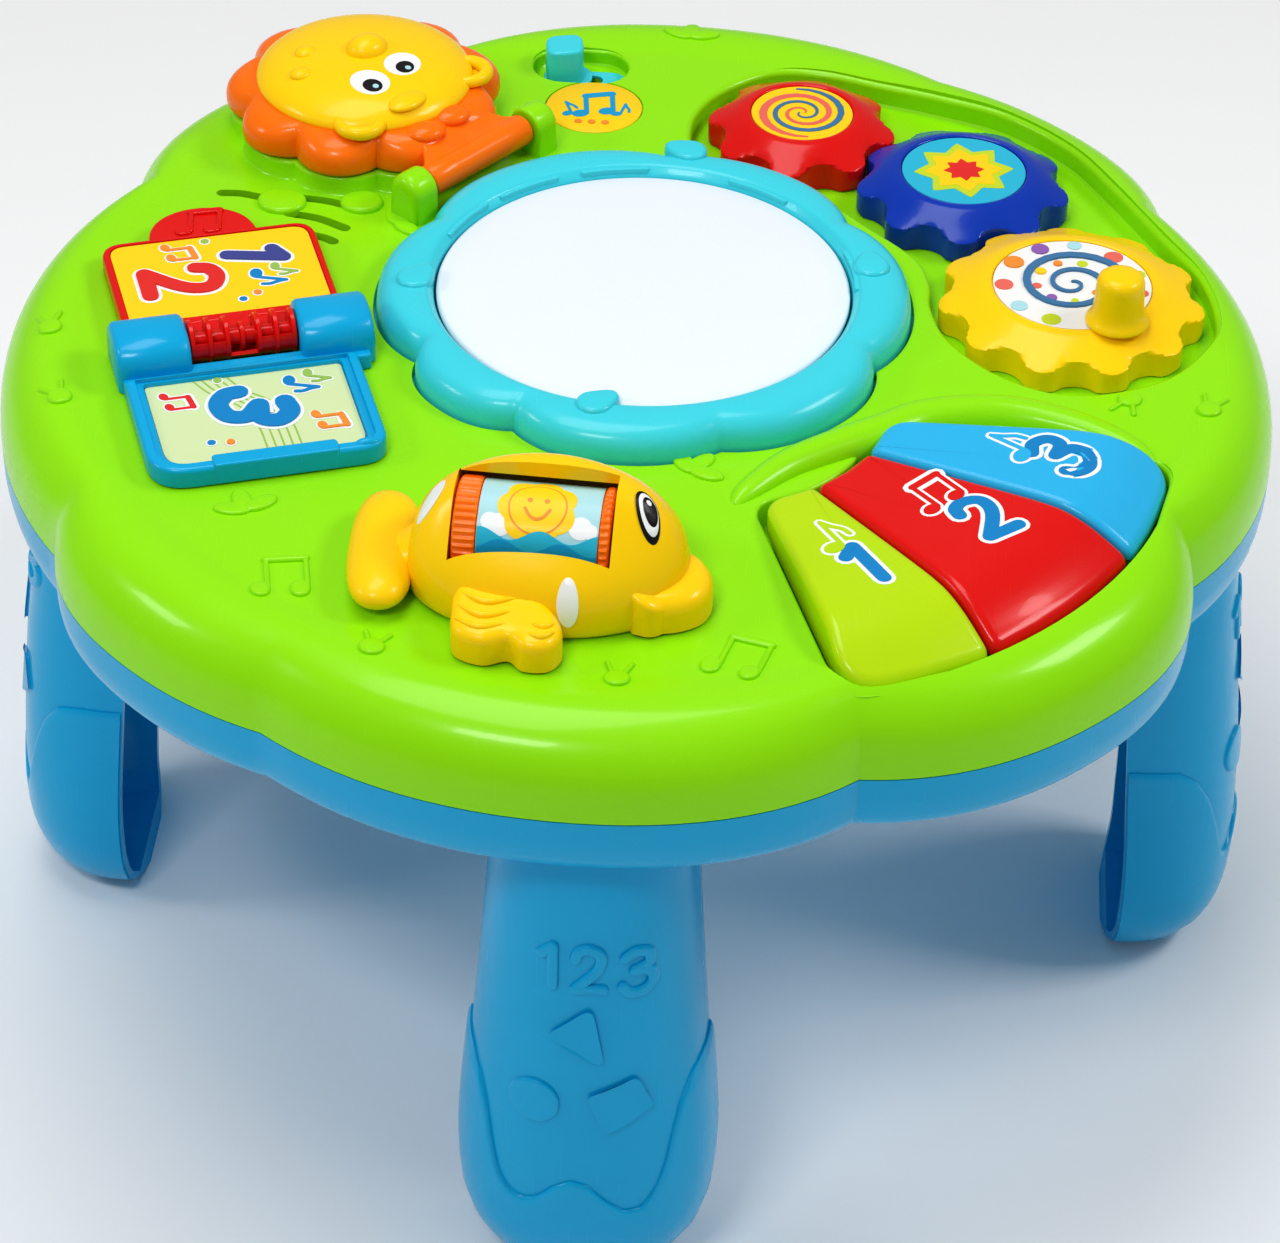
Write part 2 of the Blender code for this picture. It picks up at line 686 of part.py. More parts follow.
RIM_ANGLES = crease_steps(CREASE_ANGLES, RING_STEPS)
DRUM_ANGLES = crease_steps(DRUM_CREASE_ANGLES, DRUM_STEPS)
MEAN_SHARE = sum(LOBE_SHARES) / len(LOBE_SHARES)


def rim_ring(inset, height, fade):
    ring = []
    for angle in RIM_ANGLES:
        radius = lobed_radius(angle, CREASE_ANGLES, CREASE_SHARES, LOBE_SHARES)
        radius = radius * (1 - fade) + in_metres(MEAN_SHARE) * fade - inset
        x, y = along(angle, radius)
        ring.append((x, y, height))
    return ring


def drum_outline(grow):
    centre = place(DRUM_PLACE_SHARE)
    return [along(angle, grow + lobed_radius(angle, DRUM_CREASE_ANGLES, DRUM_CREASE_SHARES,
                                             DRUM_LOBE_SHARES), centre) for angle in DRUM_ANGLES]


def at_height(outline, height):
    return [(x, y, height) for x, y in outline]


def petals(centre, outer, notch, turn_by):
    """Outline of a flower with rounded petals."""
    line = []
    total = PETAL_COUNT * PETAL_POINTS
    for step in range(total):
        part = (step % PETAL_POINTS) / PETAL_POINTS
        radius = notch + (outer - notch) * (1 - abs(2 * part - 1) ** LOBE_POWER)
        line.append(along(360 * step / total + turn_by, radius, centre))
    return line


# Colours
LIME = material("lime_plastic", (0.30, 0.75, 0.005))
SKY = material("blue_plastic", (0.005, 0.38, 0.68))
AQUA = material("aqua_plastic", (0.10, 0.66, 0.74))
ORANGE = material("orange_plastic", (1.0, 0.22, 0.005))
YELLOW = material("yellow_plastic", (1.0, 0.68, 0.005))
RED = material("red_plastic", (0.75, 0.008, 0.006))
ROYAL = material("royal_plastic", (0.004, 0.045, 0.42))
LEAF = material("leaf_plastic", (0.42, 0.75, 0.01))
WHITE = material("white_plastic", (0.82, 0.85, 0.88))
PAPER = material("label_paper", (0.85, 0.80, 0.20), 0.35)
STEEL = material("steel", (0.60, 0.60, 0.62), 0.30, 1.0)
BOARD = material("board", (0.02, 0.16, 0.05), 0.45)
DARK = material("dark_plastic", (0.03, 0.03, 0.035), 0.45)
RUBBER = material("dome_rubber", (0.55, 0.55, 0.58), 0.60)

# Top shell
rim_outer = [rim_ring(in_metres(inset), SEAM_HEIGHT + rise * DECK_RISE, fade)
             for inset, rise, fade in RIM_OUTER_SHARES]
top_shell = loft("top_shell", rim_outer, LIME)
rim_inner = [rim_ring(in_metres(inset), SEAM_HEIGHT + rise * DECK_RISE, fade)
             for inset, rise, fade in RIM_INNER_SHARES]
rim_inner.insert(0, [(x, y, SEAM_HEIGHT - WALL) for x, y, z in rim_inner[0]])
cut(top_shell, loft("top_inside", rim_inner, cutter=True))

# Wells that hang from the deck
recess_outline = anticlockwise(smooth_outline(places(RECESS_SHARES), CLOSED_STEPS))
lion_place = place(LION_PLACE_SHARE)
fan_place = place(FAN_PLACE_SHARE)
oval_place = place(SLIDER_OVAL_SHARE)
deck_middle = (DECK + DECK_BOTTOM) / 2
join(top_shell, slab("gear_tub", grown(recess_outline, TUB_WALL), RECESS_FLOOR - TUB_WALL, deck_middle,
                     cutter=True))


def fan_outline(inner, outer, start, end, side, points=KEY_ARC_POINTS):
    """Ring sector round the fan point, each straight side moved outward by side."""
    line = []
    for step in range(points):
        angle = start + (end - start) * step / (points - 1)
        lean = math.degrees(side / outer) * (2 * step / (points - 1) - 1)
        line.append(along(angle + lean, outer, fan_place))
    for step in range(points):
        angle = end + (start - end) * step / (points - 1)
        lean = math.degrees(side / inner) * (1 - 2 * step / (points - 1))
        line.append(along(angle + lean, inner, fan_place))
    return line


first_angle = KEY_ANGLES["green"][0]
last_angle = KEY_ANGLES["blue"][1]
well_inner = in_metres(KEY_WELL_INNER_SHARE)
well_outer = in_metres(KEY_WELL_OUTER_SHARE)
join(top_shell, slab("key_tub", fan_outline(well_inner - TUB_WALL, well_outer + TUB_WALL, first_angle,
                                            last_angle, KEY_WELL_SIDE + TUB_WALL, TUB_ARC_POINTS),
                     KEY_FLOOR - TUB_WALL, deck_middle, cutter=True))
join(top_shell, turned("lion_tub", [(0, deck_middle), (WELL_RADIUS + TUB_WALL, deck_middle),
                                    (WELL_RADIUS + TUB_WALL, WELL_FLOOR - TUB_WALL),
                                    (0, WELL_FLOOR - TUB_WALL)], lion_place, cutter=True))


def oval(centre, length, width):
    line = []
    reach = (length - width) / 2
    for step in range(OVAL_POINTS):
        line.append(along(-90 + 180 * step / (OVAL_POINTS - 1), width / 2, (centre[0] + reach, centre[1])))
    for step in range(OVAL_POINTS):
        line.append(along(90 + 180 * step / (OVAL_POINTS - 1), width / 2, (centre[0] - reach, centre[1])))
    return line


join(top_shell, slab("slider_tub", oval(oval_place, OVAL_LENGTH + 2 * TUB_WALL, OVAL_WIDTH + 2 * TUB_WALL),
                     OVAL_FLOOR - TUB_WALL, deck_middle, cutter=True))

# Screw posts of the top shell
boss_places = places(BOSS_PLACE_SHARES)
for number, spot in enumerate(boss_places):
    join(top_shell, rod("post_" + str(number), (*spot, SEAM_HEIGHT), (*spot, deck_middle),
                        SCREW_BOSS_RADIUS, steps=SMALL_STEPS, cutter=True))

# Pedestal under the lid, hinge ears and ridge on the deck
join(top_shell, slab("pedestal", petals(lion_place, in_metres(PEDESTAL_OUTER_SHARE),
                                        in_metres(PEDESTAL_NOTCH_SHARE), LION_TURN),
                     deck_middle, DECK + PEDESTAL_HEIGHT, cutter=True))
hinge_place = along(LION_TURN, in_metres(LID_HINGE_REACH_SHARE), lion_place)
HINGE_LINE = LION_TURN + 90
LID_AXIS_HEIGHT = DECK + LID_HINGE_RISE


def upright(name, outline, middle, thickness, heading, colour=None, cutter=False):
    """Plate with an outline given as (across, height), standing across the heading."""
    piece = slab(name, outline, -thickness / 2, thickness / 2, colour, cutter)
    stand = Matrix(((1, 0, 0, 0), (0, 0, -1, 0), (0, 1, 0, 0), (0, 0, 0, 1)))
    lean = Matrix.Rotation(math.radians(heading - 90), 4, "Z")
    piece.data.transform(Matrix.Translation((middle[0], middle[1], 0)) @ lean @ stand)
    return piece


def ear_outline(half, foot, axis_height):
    line = [(half, foot), (half, axis_height)]
    for step in range(1, OVAL_POINTS):
        angle = math.radians(180 * step / OVAL_POINTS)
        line.append((half * math.cos(angle), axis_height + half * math.sin(angle)))
    line.append((-half, axis_height))
    line.append((-half, foot))
    return line


ear_reach = LID_BARREL_LENGTH / 2 + LID_EAR_PLAY + LID_EAR_THICKNESS / 2
for side in (-1, 1):
    spot = along(HINGE_LINE, side * ear_reach, hinge_place)
    join(top_shell, upright("ear_" + str(side + 1), ear_outline(LID_EAR_WIDTH / 2, deck_middle,
                                                                 LID_AXIS_HEIGHT),
                            spot, LID_EAR_THICKNESS, HINGE_LINE, cutter=True))


def ribbon(points, width):
    """Outline of a band with rounded ends along an open line."""
    line = smooth_line(points)
    left = []
    right = []
    for index, point in enumerate(line):
        before = Vector(line[max(index - 1, 0)])
        after = Vector(line[min(index + 1, len(line) - 1)])
        way = (after - before).normalized()
        left.append((point[0] - way.y * width / 2, point[1] + way.x * width / 2))
        right.append((point[0] + way.y * width / 2, point[1] - way.x * width / 2))
    start_way = (Vector(line[0]) - Vector(line[1])).normalized()
    end_way = (Vector(line[-1]) - Vector(line[-2])).normalized()
    start_cap = half_round(line[0], start_way, width / 2)
    end_cap = half_round(line[-1], end_way, width / 2)
    return right + end_cap + left[::-1] + start_cap


def half_round(centre, way, radius):
    """Points round the end of a band, from its right side to its left."""
    heading = math.degrees(math.atan2(way.y, way.x))
    return [along(heading - 90 + 180 * step / CAP_STEPS, radius, centre) for step in range(1, CAP_STEPS)]


def smooth_line(points):
    """A rounded open line through the given points."""
    line = []
    spots = [Vector(point) for point in points]
    spots.insert(0, spots[0] * 2 - spots[1])
    spots.append(spots[-1] * 2 - spots[-2])
    for before, first, second, after in zip(spots, spots[1:], spots[2:], spots[3:]):
        for step in range(RIDGE_STEPS):
            t = step / RIDGE_STEPS
            line.append(tuple((first * 2 + (second - before) * t
                               + (before * 2 - first * 5 + second * 4 - after) * t * t
                               + (first * 3 - before - second * 3 + after) * t * t * t) / 2))
    line.append(tuple(spots[-2]))
    return line


join(top_shell, slab("ridge", anticlockwise(ribbon(places(RIDGE_SHARES), RIDGE_WIDTH)), deck_middle,
                     DECK + RIDGE_RISE, cutter=True))

# Hollows of the wells and the hole for the drum
cut(top_shell,
    slab("gear_hollow", recess_outline, RECESS_FLOOR, LEVEL_TOP, cutter=True),
    slab("key_hollow", fan_outline(well_inner, well_outer, first_angle, last_angle, KEY_WELL_SIDE,
                                    TUB_ARC_POINTS),
         KEY_FLOOR, LEVEL_TOP, cutter=True),
    turned("lion_hollow", [(0, LEVEL_TOP), (WELL_RADIUS, LEVEL_TOP), (WELL_RADIUS, WELL_FLOOR),
                           (0, WELL_FLOOR)], lion_place, cutter=True),
    slab("slider_hollow", oval(oval_place, OVAL_LENGTH, OVAL_WIDTH), OVAL_FLOOR, LEVEL_TOP, cutter=True),
    slab("drum_hole", drum_outline(DRUM_GAP), deck_middle - REACH, LEVEL_TOP, cutter=True))

# Posts that carry the keys
key_middles = {name: (angles[0] + angles[1]) / 2 for name, angles in KEY_ANGLES.items()}
pin_radius = in_metres(KEY_PIN_RADIUS_SHARE)
KEY_PIN_HEIGHT = DECK + KEY_PIN_RISE


def radial_block(name, heading, inner, outer, width, bottom, top, cutter=True, colour=None):
    """Box that lies along a line from the fan point."""
    near = along(heading, inner, fan_place)
    far = along(heading, outer, fan_place)
    outline = [along(heading - 90, width / 2, near), along(heading - 90, width / 2, far),
               along(heading + 90, width / 2, far), along(heading + 90, width / 2, near)]
    return slab(name, outline, bottom, top, colour, cutter)


for name, heading in key_middles.items():
    join(top_shell, radial_block("key_post_" + name, heading, pin_radius - KEY_POST_DEPTH / 2,
                                 pin_radius + KEY_POST_DEPTH / 2, KEY_POST_WIDTH,
                                 KEY_FLOOR - TUB_WALL / 2, KEY_PIN_HEIGHT + KEY_POST_RISE))

# Pin holes, screw holes, slots and axle holes
key_pins = {}
for name, heading in key_middles.items():
    spot = along(heading, pin_radius, fan_place)
    start = along(heading - 90, KEY_PIN_LENGTH / 2, spot)
    end = along(heading + 90, KEY_PIN_LENGTH / 2, spot)
    key_pins[name] = ((*start, KEY_PIN_HEIGHT), (*end, KEY_PIN_HEIGHT))
    wide = KEY_POST_WIDTH / 2 + WEB
    cut(top_shell, rod("key_bore_" + name, (*along(heading - 90, wide, spot), KEY_PIN_HEIGHT),
                       (*along(heading + 90, wide, spot), KEY_PIN_HEIGHT), KEY_PIN_RADIUS + KEY_PIN_PLAY,
                       cutter=True))
lid_pin_half = ear_reach + LID_EAR_THICKNESS / 2
lid_pin_start = (*along(HINGE_LINE, -lid_pin_half, hinge_place), LID_AXIS_HEIGHT)
lid_pin_end = (*along(HINGE_LINE, lid_pin_half, hinge_place), LID_AXIS_HEIGHT)
cut(top_shell, rod("lid_bore", (*along(HINGE_LINE, -lid_pin_half - WEB, hinge_place), LID_AXIS_HEIGHT),
                   (*along(HINGE_LINE, lid_pin_half + WEB, hinge_place), LID_AXIS_HEIGHT),
                   LID_PIN_RADIUS + LID_PIN_PLAY, cutter=True))
for number, spot in enumerate(boss_places):
    cut(top_shell, rod("screw_bore_" + str(number), (*spot, SEAM_HEIGHT - WEB), (*spot, SCREW_BORE_TOP),
                       SCREW_SHAFT_RADIUS + GAP, cutter=True))
for number, line in enumerate(SLOT_LINES_SHARES):
    cut(top_shell, slab("slot_" + str(number), anticlockwise(ribbon(places(line), SLOT_WIDTH)),
                        DECK_BOTTOM - WEB, DECK + WEB, cutter=True))
gear_places = {name: place(row[1]) for name, row in GEARS.items()}
for name, spot in gear_places.items():
    cut(top_shell, rod("axle_bore_" + name, (*spot, RECESS_FLOOR - REACH), (*spot, RECESS_FLOOR + WEB),
                       AXLE_RADIUS + GAP, steps=SMALL_STEPS, cutter=True))
slider_place = place(SLIDER_PLACE_SHARE)
stem_play = SLIDER_STEM_RADIUS + SLIDER_SLOT_PLAY
slot_middle = (slider_place[0] + SLIDER_TRAVEL / 2, slider_place[1])
cut(top_shell, slab("stem_slot", oval(slot_middle, SLIDER_TRAVEL + 2 * stem_play, 2 * stem_play),
                    OVAL_FLOOR - REACH, OVAL_FLOOR + WEB, cutter=True))
label_place = place(ROUND_LABEL_PLACE_SHARE)
cut(top_shell, turned("label_seat", [(0, DECK + WEB), (ROUND_LABEL_RADIUS + GAP, DECK + WEB),
                                     (ROUND_LABEL_RADIUS + GAP, DECK - LABEL_SEAT),
                                     (0, DECK - LABEL_SEAT)], label_place, cutter=True))

# Bottom shell
band_outer = [rim_ring(in_metres(inset), SEAM_HEIGHT - GAP - drop * (BAND_DROP - GAP), fade)
              for inset, drop, fade in BAND_OUTER_SHARES]
bottom_shell = loft("bottom_shell", band_outer[::-1], SKY)
band_inner = [rim_ring(in_metres(inset), SEAM_HEIGHT - GAP - drop * (BAND_DROP - GAP), fade)
              for inset, drop, fade in BAND_INNER_SHARES]
band_inner.insert(0, [(x, y, SEAM_HEIGHT + WALL) for x, y, z in band_inner[0]])
band_inner[-1] = [(x, y, BASE_FLOOR) for x, y, z in band_inner[-1]]
cut(bottom_shell, loft("bottom_inside", band_inner[::-1], cutter=True))
floor_middle = BASE + WALL / 2
drum_place = place(DRUM_PLACE_SHARE)
board_place = place(BOARD_PLACE_SHARE)
battery_place = place(BATTERY_PLACE_SHARE)
join(bottom_shell, rod("drum_pedestal", (*drum_place, floor_middle), (*drum_place, PEDESTAL_TOP),
                       PEDESTAL_RADIUS, steps=ROUND_STEPS, cutter=True))
for number, spot in enumerate(boss_places):
    join(bottom_shell, rod("low_post_" + str(number), (*spot, floor_middle), (*spot, SEAM_HEIGHT - GAP),
                           SCREW_BOSS_RADIUS, steps=SMALL_STEPS, cutter=True))
board_bosses = []
for x_side in (-1, 1):
    for y_side in (-1, 1):
        spot = (board_place[0] + x_side * (BOARD_LENGTH / 2 - BOARD_BOSS_INSET),
                board_place[1] + y_side * (BOARD_WIDTH / 2 - BOARD_BOSS_INSET))
        board_bosses.append(spot)
for number, spot in enumerate(board_bosses):
    join(bottom_shell, rod("board_boss_" + str(number), (*spot, floor_middle), (*spot, BOARD_HEIGHT - GAP),
                           BOARD_BOSS_RADIUS, cutter=True))
cut(bottom_shell, rod("pedestal_bore", (*drum_place, PEDESTAL_FLOOR), (*drum_place, PEDESTAL_TOP + WEB),
                      PEDESTAL_BORE, steps=SMALL_STEPS, cutter=True))
for number, spot in enumerate(boss_places):
    cut(bottom_shell, rod("head_bore_" + str(number), (*spot, BASE - WEB), (*spot, SCREW_SEAT),
                          SCREW_HEAD_RADIUS + SCREW_PLAY, steps=SMALL_STEPS, cutter=True),
        rod("shaft_bore_" + str(number), (*spot, SCREW_SEAT - WEB), (*spot, SEAM_HEIGHT + WEB),
            SCREW_SHAFT_RADIUS + GAP, cutter=True))
case_low_x = battery_place[0] - CASE_HALF_X
case_high_x = battery_place[0] + CASE_HALF_X
case_low_y = battery_place[1] - CASE_HALF_Y
case_high_y = battery_place[1] + CASE_HALF_Y + CASE_BLOCK
case_grow = CASE_WALL + GAP
cut(bottom_shell, block("case_hole", (case_low_x - case_grow, case_low_y - case_grow, BASE - WEB),
                        (case_high_x + case_grow, case_high_y + case_grow, BASE_FLOOR + WEB), cutter=True))
tongue_radius = in_metres(TONGUE_RADIUS_SHARE)


def tongue(name, angle, grow, bottom, top, cutter=True):
    near = along(angle, tongue_radius - TONGUE_DEPTH / 2 - grow)
    far = along(angle, tongue_radius + TONGUE_DEPTH / 2 + grow)
    half = TONGUE_WIDTH / 2 + grow
    outline = [along(angle - 90, half, near), along(angle - 90, half, far),
               along(angle + 90, half, far), along(angle + 90, half, near)]
    return slab(name, outline, bottom, top, cutter=cutter)


for name, angle in LEG_ANGLES.items():
    cut(bottom_shell, tongue(name + "_slot", angle, GAP, BASE - WEB, BASE_FLOOR + WEB))


# Legs
def leg_ring(height, open_side, outer_side, half, angle, inset, back):
    """D shaped section of a leg, thinned by inset and opened at the back."""
    ring = []
    reach = outer_side - open_side - inset
    wide = half - inset
    for step in range(LEG_SIDE_POINTS):
        swing = math.pi * step / (LEG_SIDE_POINTS - 1) - math.pi / 2
        forward = abs(math.cos(swing)) ** (2 / LEG_POWER) * reach
        across = math.copysign(abs(math.sin(swing)) ** (2 / LEG_POWER), swing) * wide
        if step in (0, LEG_SIDE_POINTS - 1):
            forward = 0
        x, y = turn((open_side + forward, across), angle)
        ring.append((x, y, height))
    if back:
        for side in (1, -1):
            x, y = turn((open_side - back, side * wide), angle)
            ring.append((x, y, height))
    return ring


leg_rows = [(share[0] * SEAM_HEIGHT, in_metres(share[1]), in_metres(share[2]), in_metres(share[3]))
            for share in LEG_SHARES]
leg_rows[-1] = (BASE - GAP, *leg_rows[-1][1:])


def leg_row_at(height):
    for lower, upper in zip(leg_rows, leg_rows[1:]):
        if lower[0] <= height <= upper[0]:
            part = (height - lower[0]) / (upper[0] - lower[0])
            return tuple(a + (b - a) * part for a, b in zip(lower, upper))
    return leg_rows[-1]


for name, angle in LEG_ANGLES.items():
    leg = loft(name, [leg_ring(*row, angle, 0, 0) for row in leg_rows], SKY)
    hollow_rows = [leg_row_at(LEG_WALL)]
    hollow_rows += [row for row in leg_rows if LEG_WALL < row[0] < BASE - LEG_HOLLOW_START]
    hollow_rows.append(leg_row_at(BASE - LEG_HOLLOW_START))
    cut(leg, loft(name + "_hollow", [leg_ring(*row, angle, LEG_WALL, LEG_WALL) for row in hollow_rows],
                  cutter=True))
    join(leg, tongue(name + "_tongue", angle, 0, BASE - LEG_WALL, BASE + TONGUE_RISE))

# Drum button: ring, head and plate
shoulder = DECK + DRUM_SHOULDER_RISE
drum_rings = [at_height(drum_outline(0), DECK_BOTTOM), at_height(drum_outline(0), shoulder),
              at_height(drum_outline(-DRUM_SLOPE_INSET), DECK + DRUM_SLOPE_RISE),
              at_height(drum_outline(-DRUM_CREST_INSET), DECK + DRUM_TOP_RISE)]
drum_ring = loft("drum_ring", drum_rings, AQUA)
head_low = DECK + HEAD_EDGE_RISE - HEAD_THICKNESS / 2
cut(drum_ring, turned("drum_mouth", [(0, LEVEL_TOP), (HEAD_MOUTH_RADIUS, LEVEL_TOP),
                                     (HEAD_MOUTH_RADIUS, DECK + DRUM_TOP_RISE),
                                     (HEAD_RADIUS + HEAD_PLAY, DECK + HEAD_EDGE_RISE),
                                     (HEAD_RADIUS + HEAD_PLAY, DECK_BOTTOM - REACH),
                                     (0, DECK_BOTTOM - REACH)], drum_place, steps=FINE_STEPS, cutter=True))
drum_head = turned("drum_head", [(0, DECK + HEAD_DOME_RISE),
                                 (HEAD_RADIUS * HEAD_FLAT_SHARE, DECK + HEAD_DOME_RISE - HEAD_FALL),
                                 (HEAD_RADIUS * HEAD_SHOULDER_SHARE, DECK + HEAD_EDGE_RISE + HEAD_FALL),
                                 (HEAD_RADIUS, DECK + HEAD_EDGE_RISE),
                                 (HEAD_RADIUS, head_low), (0, head_low)], drum_place, WHITE, FINE_STEPS)
plate_low = FLANGE_TOP - FLANGE_THICKNESS
drum_plate = slab("drum_plate", drum_outline(FLANGE_REACH), plate_low, FLANGE_TOP, AQUA)
cut(drum_plate, slab("plate_relief", grown(recess_outline, TUB_WALL + FLOAT_PLAY), plate_low - WEB,
                     FLANGE_TOP + WEB, cutter=True))
join(drum_plate, turned("drum_cup", [(CUP_RADIUS, head_low - GAP), (CUP_RADIUS, plate_low + WEB),
                                     (CUP_RADIUS - CUP_WALL, plate_low + WEB),
                                     (CUP_RADIUS - CUP_WALL, head_low - GAP), (CUP_RADIUS, head_low - GAP)],
                        drum_place, steps=FINE_STEPS, cutter=True),
     rod("drum_post", (*drum_place, POST_BOTTOM), (*drum_place, plate_low + WEB), POST_RADIUS,
         steps=SMALL_STEPS, cutter=True))


def coil(name, centre, bottom, top, colour):
    """Wire wound into a spring."""
    curve = bpy.data.curves.new(name, "CURVE")
    curve.dimensions = "3D"
    curve.bevel_depth = SPRING_WIRE
    curve.bevel_resolution = 1
    curve.use_fill_caps = True
    spline = curve.splines.new("POLY")
    total = SPRING_TURNS * SPRING_POINTS
    spline.points.add(total)
    low = bottom + SPRING_WIRE
    high = top - SPRING_WIRE
    for step, point in enumerate(spline.points):
        x, y = along(360 * step / SPRING_POINTS, SPRING_RADIUS, centre)
        point.co = (x, y, low + (high - low) * step / total, 1)
    return solid_of(curve, name, colour, False, Matrix.Identity(4))


coil("drum_spring", drum_place, PEDESTAL_TOP + GAP, plate_low - GAP, STEEL)
half_switch = SWITCH_SIDE / 2
switch_low = PEDESTAL_FLOOR + GAP
switch_corner = (drum_place[0] - half_switch, drum_place[1] - half_switch, switch_low)
switch_far = (drum_place[0] + half_switch, drum_place[1] + half_switch, switch_low + SWITCH_RISE)
drum_switch = block("drum_switch", switch_corner, switch_far, DARK)
join(drum_switch, rod("switch_button", (*drum_place, switch_low + WEB),
                      (*drum_place, switch_low + SWITCH_RISE + SWITCH_BUTTON_RISE), SWITCH_BUTTON_RADIUS,
                      cutter=True))

# Gears with their labels and axles
GEAR_TOP = DECK + GEAR_TOP_RISE
gear_colours = {"red": RED, "blue": ROYAL, "yellow": YELLOW}
gear_low = RECESS_FLOOR + GAP


def tooth_outline(count, centre, first):
    """Rounded teeth round a centre, one of them at the angle first."""
    pitch = in_metres(MODULE_SHARE) * count / 2
    line = []
    total = count * TOOTH_POINTS
    for step in range(total):
        wave = math.cos(2 * math.pi * step / TOOTH_POINTS)
        swell = math.copysign(abs(wave) ** TOOTH_POWER, wave)
        radius = pitch - in_metres(TOOTH_BACKLASH_SHARE) + in_metres(TOOTH_DEPTH_SHARE) * swell
        line.append(along(first + 360 * step / total, radius, centre))
    return line


def heading_between(first, second):
    return math.degrees(math.atan2(second[1] - first[1], second[0] - first[0]))


blue_to_red = heading_between(gear_places["blue"], gear_places["red"])
blue_to_yellow = heading_between(gear_places["blue"], gear_places["yellow"])
blue_count = GEARS["blue"][0]
blue_phase = ((blue_to_yellow - blue_to_red) * blue_count / 360) % 1
red_first = blue_to_red + 180 + 180 / GEARS["red"][0]
yellow_first = (blue_to_yellow + 180 + (180 + 360 * blue_phase) / GEARS["yellow"][0])
tooth_starts = {"red": red_first, "blue": blue_to_red, "yellow": yellow_first}
for name, row in GEARS.items():
    count = row[0]
    spot = gear_places[name]
    face = in_metres(row[2])
    outer = in_metres(MODULE_SHARE) * count / 2 + in_metres(TOOTH_DEPTH_SHARE)
    gear = turned("gear_" + name, [(0, GEAR_TOP), (face + GAP, GEAR_TOP), (outer, DECK + GEAR_LEDGE_RISE),
                                   (outer, gear_low), (0, gear_low)], spot, gear_colours[name])
    keep(gear, slab("teeth_" + name, tooth_outline(count, spot, tooth_starts[name]), gear_low - WEB,
                    GEAR_TOP + WEB, cutter=True))
    root = in_metres(MODULE_SHARE) * count / 2 - in_metres(TOOTH_DEPTH_SHARE) - GEAR_HOLLOW_WALL
    hollow_top = DECK + GEAR_LEDGE_RISE
    cut(gear, turned("hollow_" + name, [(GEAR_HUB_RADIUS, hollow_top), (root, hollow_top),
                                        (root, gear_low - WEB), (GEAR_HUB_RADIUS, gear_low - WEB),
                                        (GEAR_HUB_RADIUS, hollow_top)],
                     spot, cutter=True),
        rod("bore_" + name, (*spot, gear_low - WEB), (*spot, DECK + GEAR_BORE_TOP_RISE), AXLE_RADIUS + GAP,
            steps=SMALL_STEPS, cutter=True),
        turned("seat_" + name, [(0, GEAR_TOP + WEB), (face - WEB, GEAR_TOP + WEB),
                                (face - WEB, GEAR_TOP - LABEL_SEAT), (0, GEAR_TOP - LABEL_SEAT)], spot,
               cutter=True))
    label_top = GEAR_TOP - LABEL_SEAT + GAP + LABEL_THICKNESS
    face_label = turned("label_" + name, [(0, label_top), (face - WEB - GAP, label_top),
                                          (face - WEB - GAP, label_top - LABEL_THICKNESS),
                                          (0, label_top - LABEL_THICKNESS)], spot, PAPER)
    flange_top = RECESS_FLOOR - TUB_WALL - GAP
    axle_top = DECK + GEAR_BORE_TOP_RISE - GAP
    turned("axle_" + name, [(0, axle_top), (AXLE_RADIUS, axle_top), (AXLE_RADIUS, flange_top),
                            (AXLE_FLANGE_RADIUS, flange_top),
                            (AXLE_FLANGE_RADIUS, flange_top - AXLE_FLANGE_THICKNESS),
                            (0, flange_top - AXLE_FLANGE_THICKNESS)], spot, STEEL, SMALL_STEPS)
    if name == "yellow":
        yellow_gear = gear
        yellow_label = face_label

# Crank knob, pegged into the yellow gear
knob_place = place(KNOB_PLACE_SHARE)
knob_low = GEAR_TOP + GAP
knob = turned("crank_knob", [(0, knob_low + KNOB_RISE), (KNOB_TOP_RADIUS - KNOB_EDGE, knob_low + KNOB_RISE),
                             (KNOB_TOP_RADIUS, knob_low + KNOB_RISE - KNOB_EDGE),
                             (KNOB_WAIST_RADIUS, knob_low + KNOB_WAIST_RISE),
                             (KNOB_FOOT_RADIUS, knob_low + KNOB_FOOT_RISE),
                             (KNOB_BASE_RADIUS, knob_low + KNOB_LIP), (KNOB_BASE_RADIUS, knob_low),
                             (KNOB_PEG_RADIUS, knob_low), (KNOB_PEG_RADIUS, knob_low - KNOB_PEG_DROP),
                             (0, knob_low - KNOB_PEG_DROP)], knob_place, YELLOW, KNOB_STEPS)
peg_hole = rod("peg_hole", (*knob_place, knob_low - KNOB_PEG_DROP - GAP), (*knob_place, LEVEL_TOP),
               KNOB_PEG_RADIUS + GAP, steps=SMALL_STEPS, cutter=True)
cut(yellow_gear, peg_hole)
cut(yellow_label, peg_hole)

# Keys with their pins and return domes
key_colours = {"green": LEAF, "red": RED, "blue": SKY}
key_inner = in_metres(KEY_INNER_RADIUS_SHARE)
key_outer = in_metres(KEY_OUTER_RADIUS_SHARE)
key_low = DECK - KEY_SKIRT_DROP


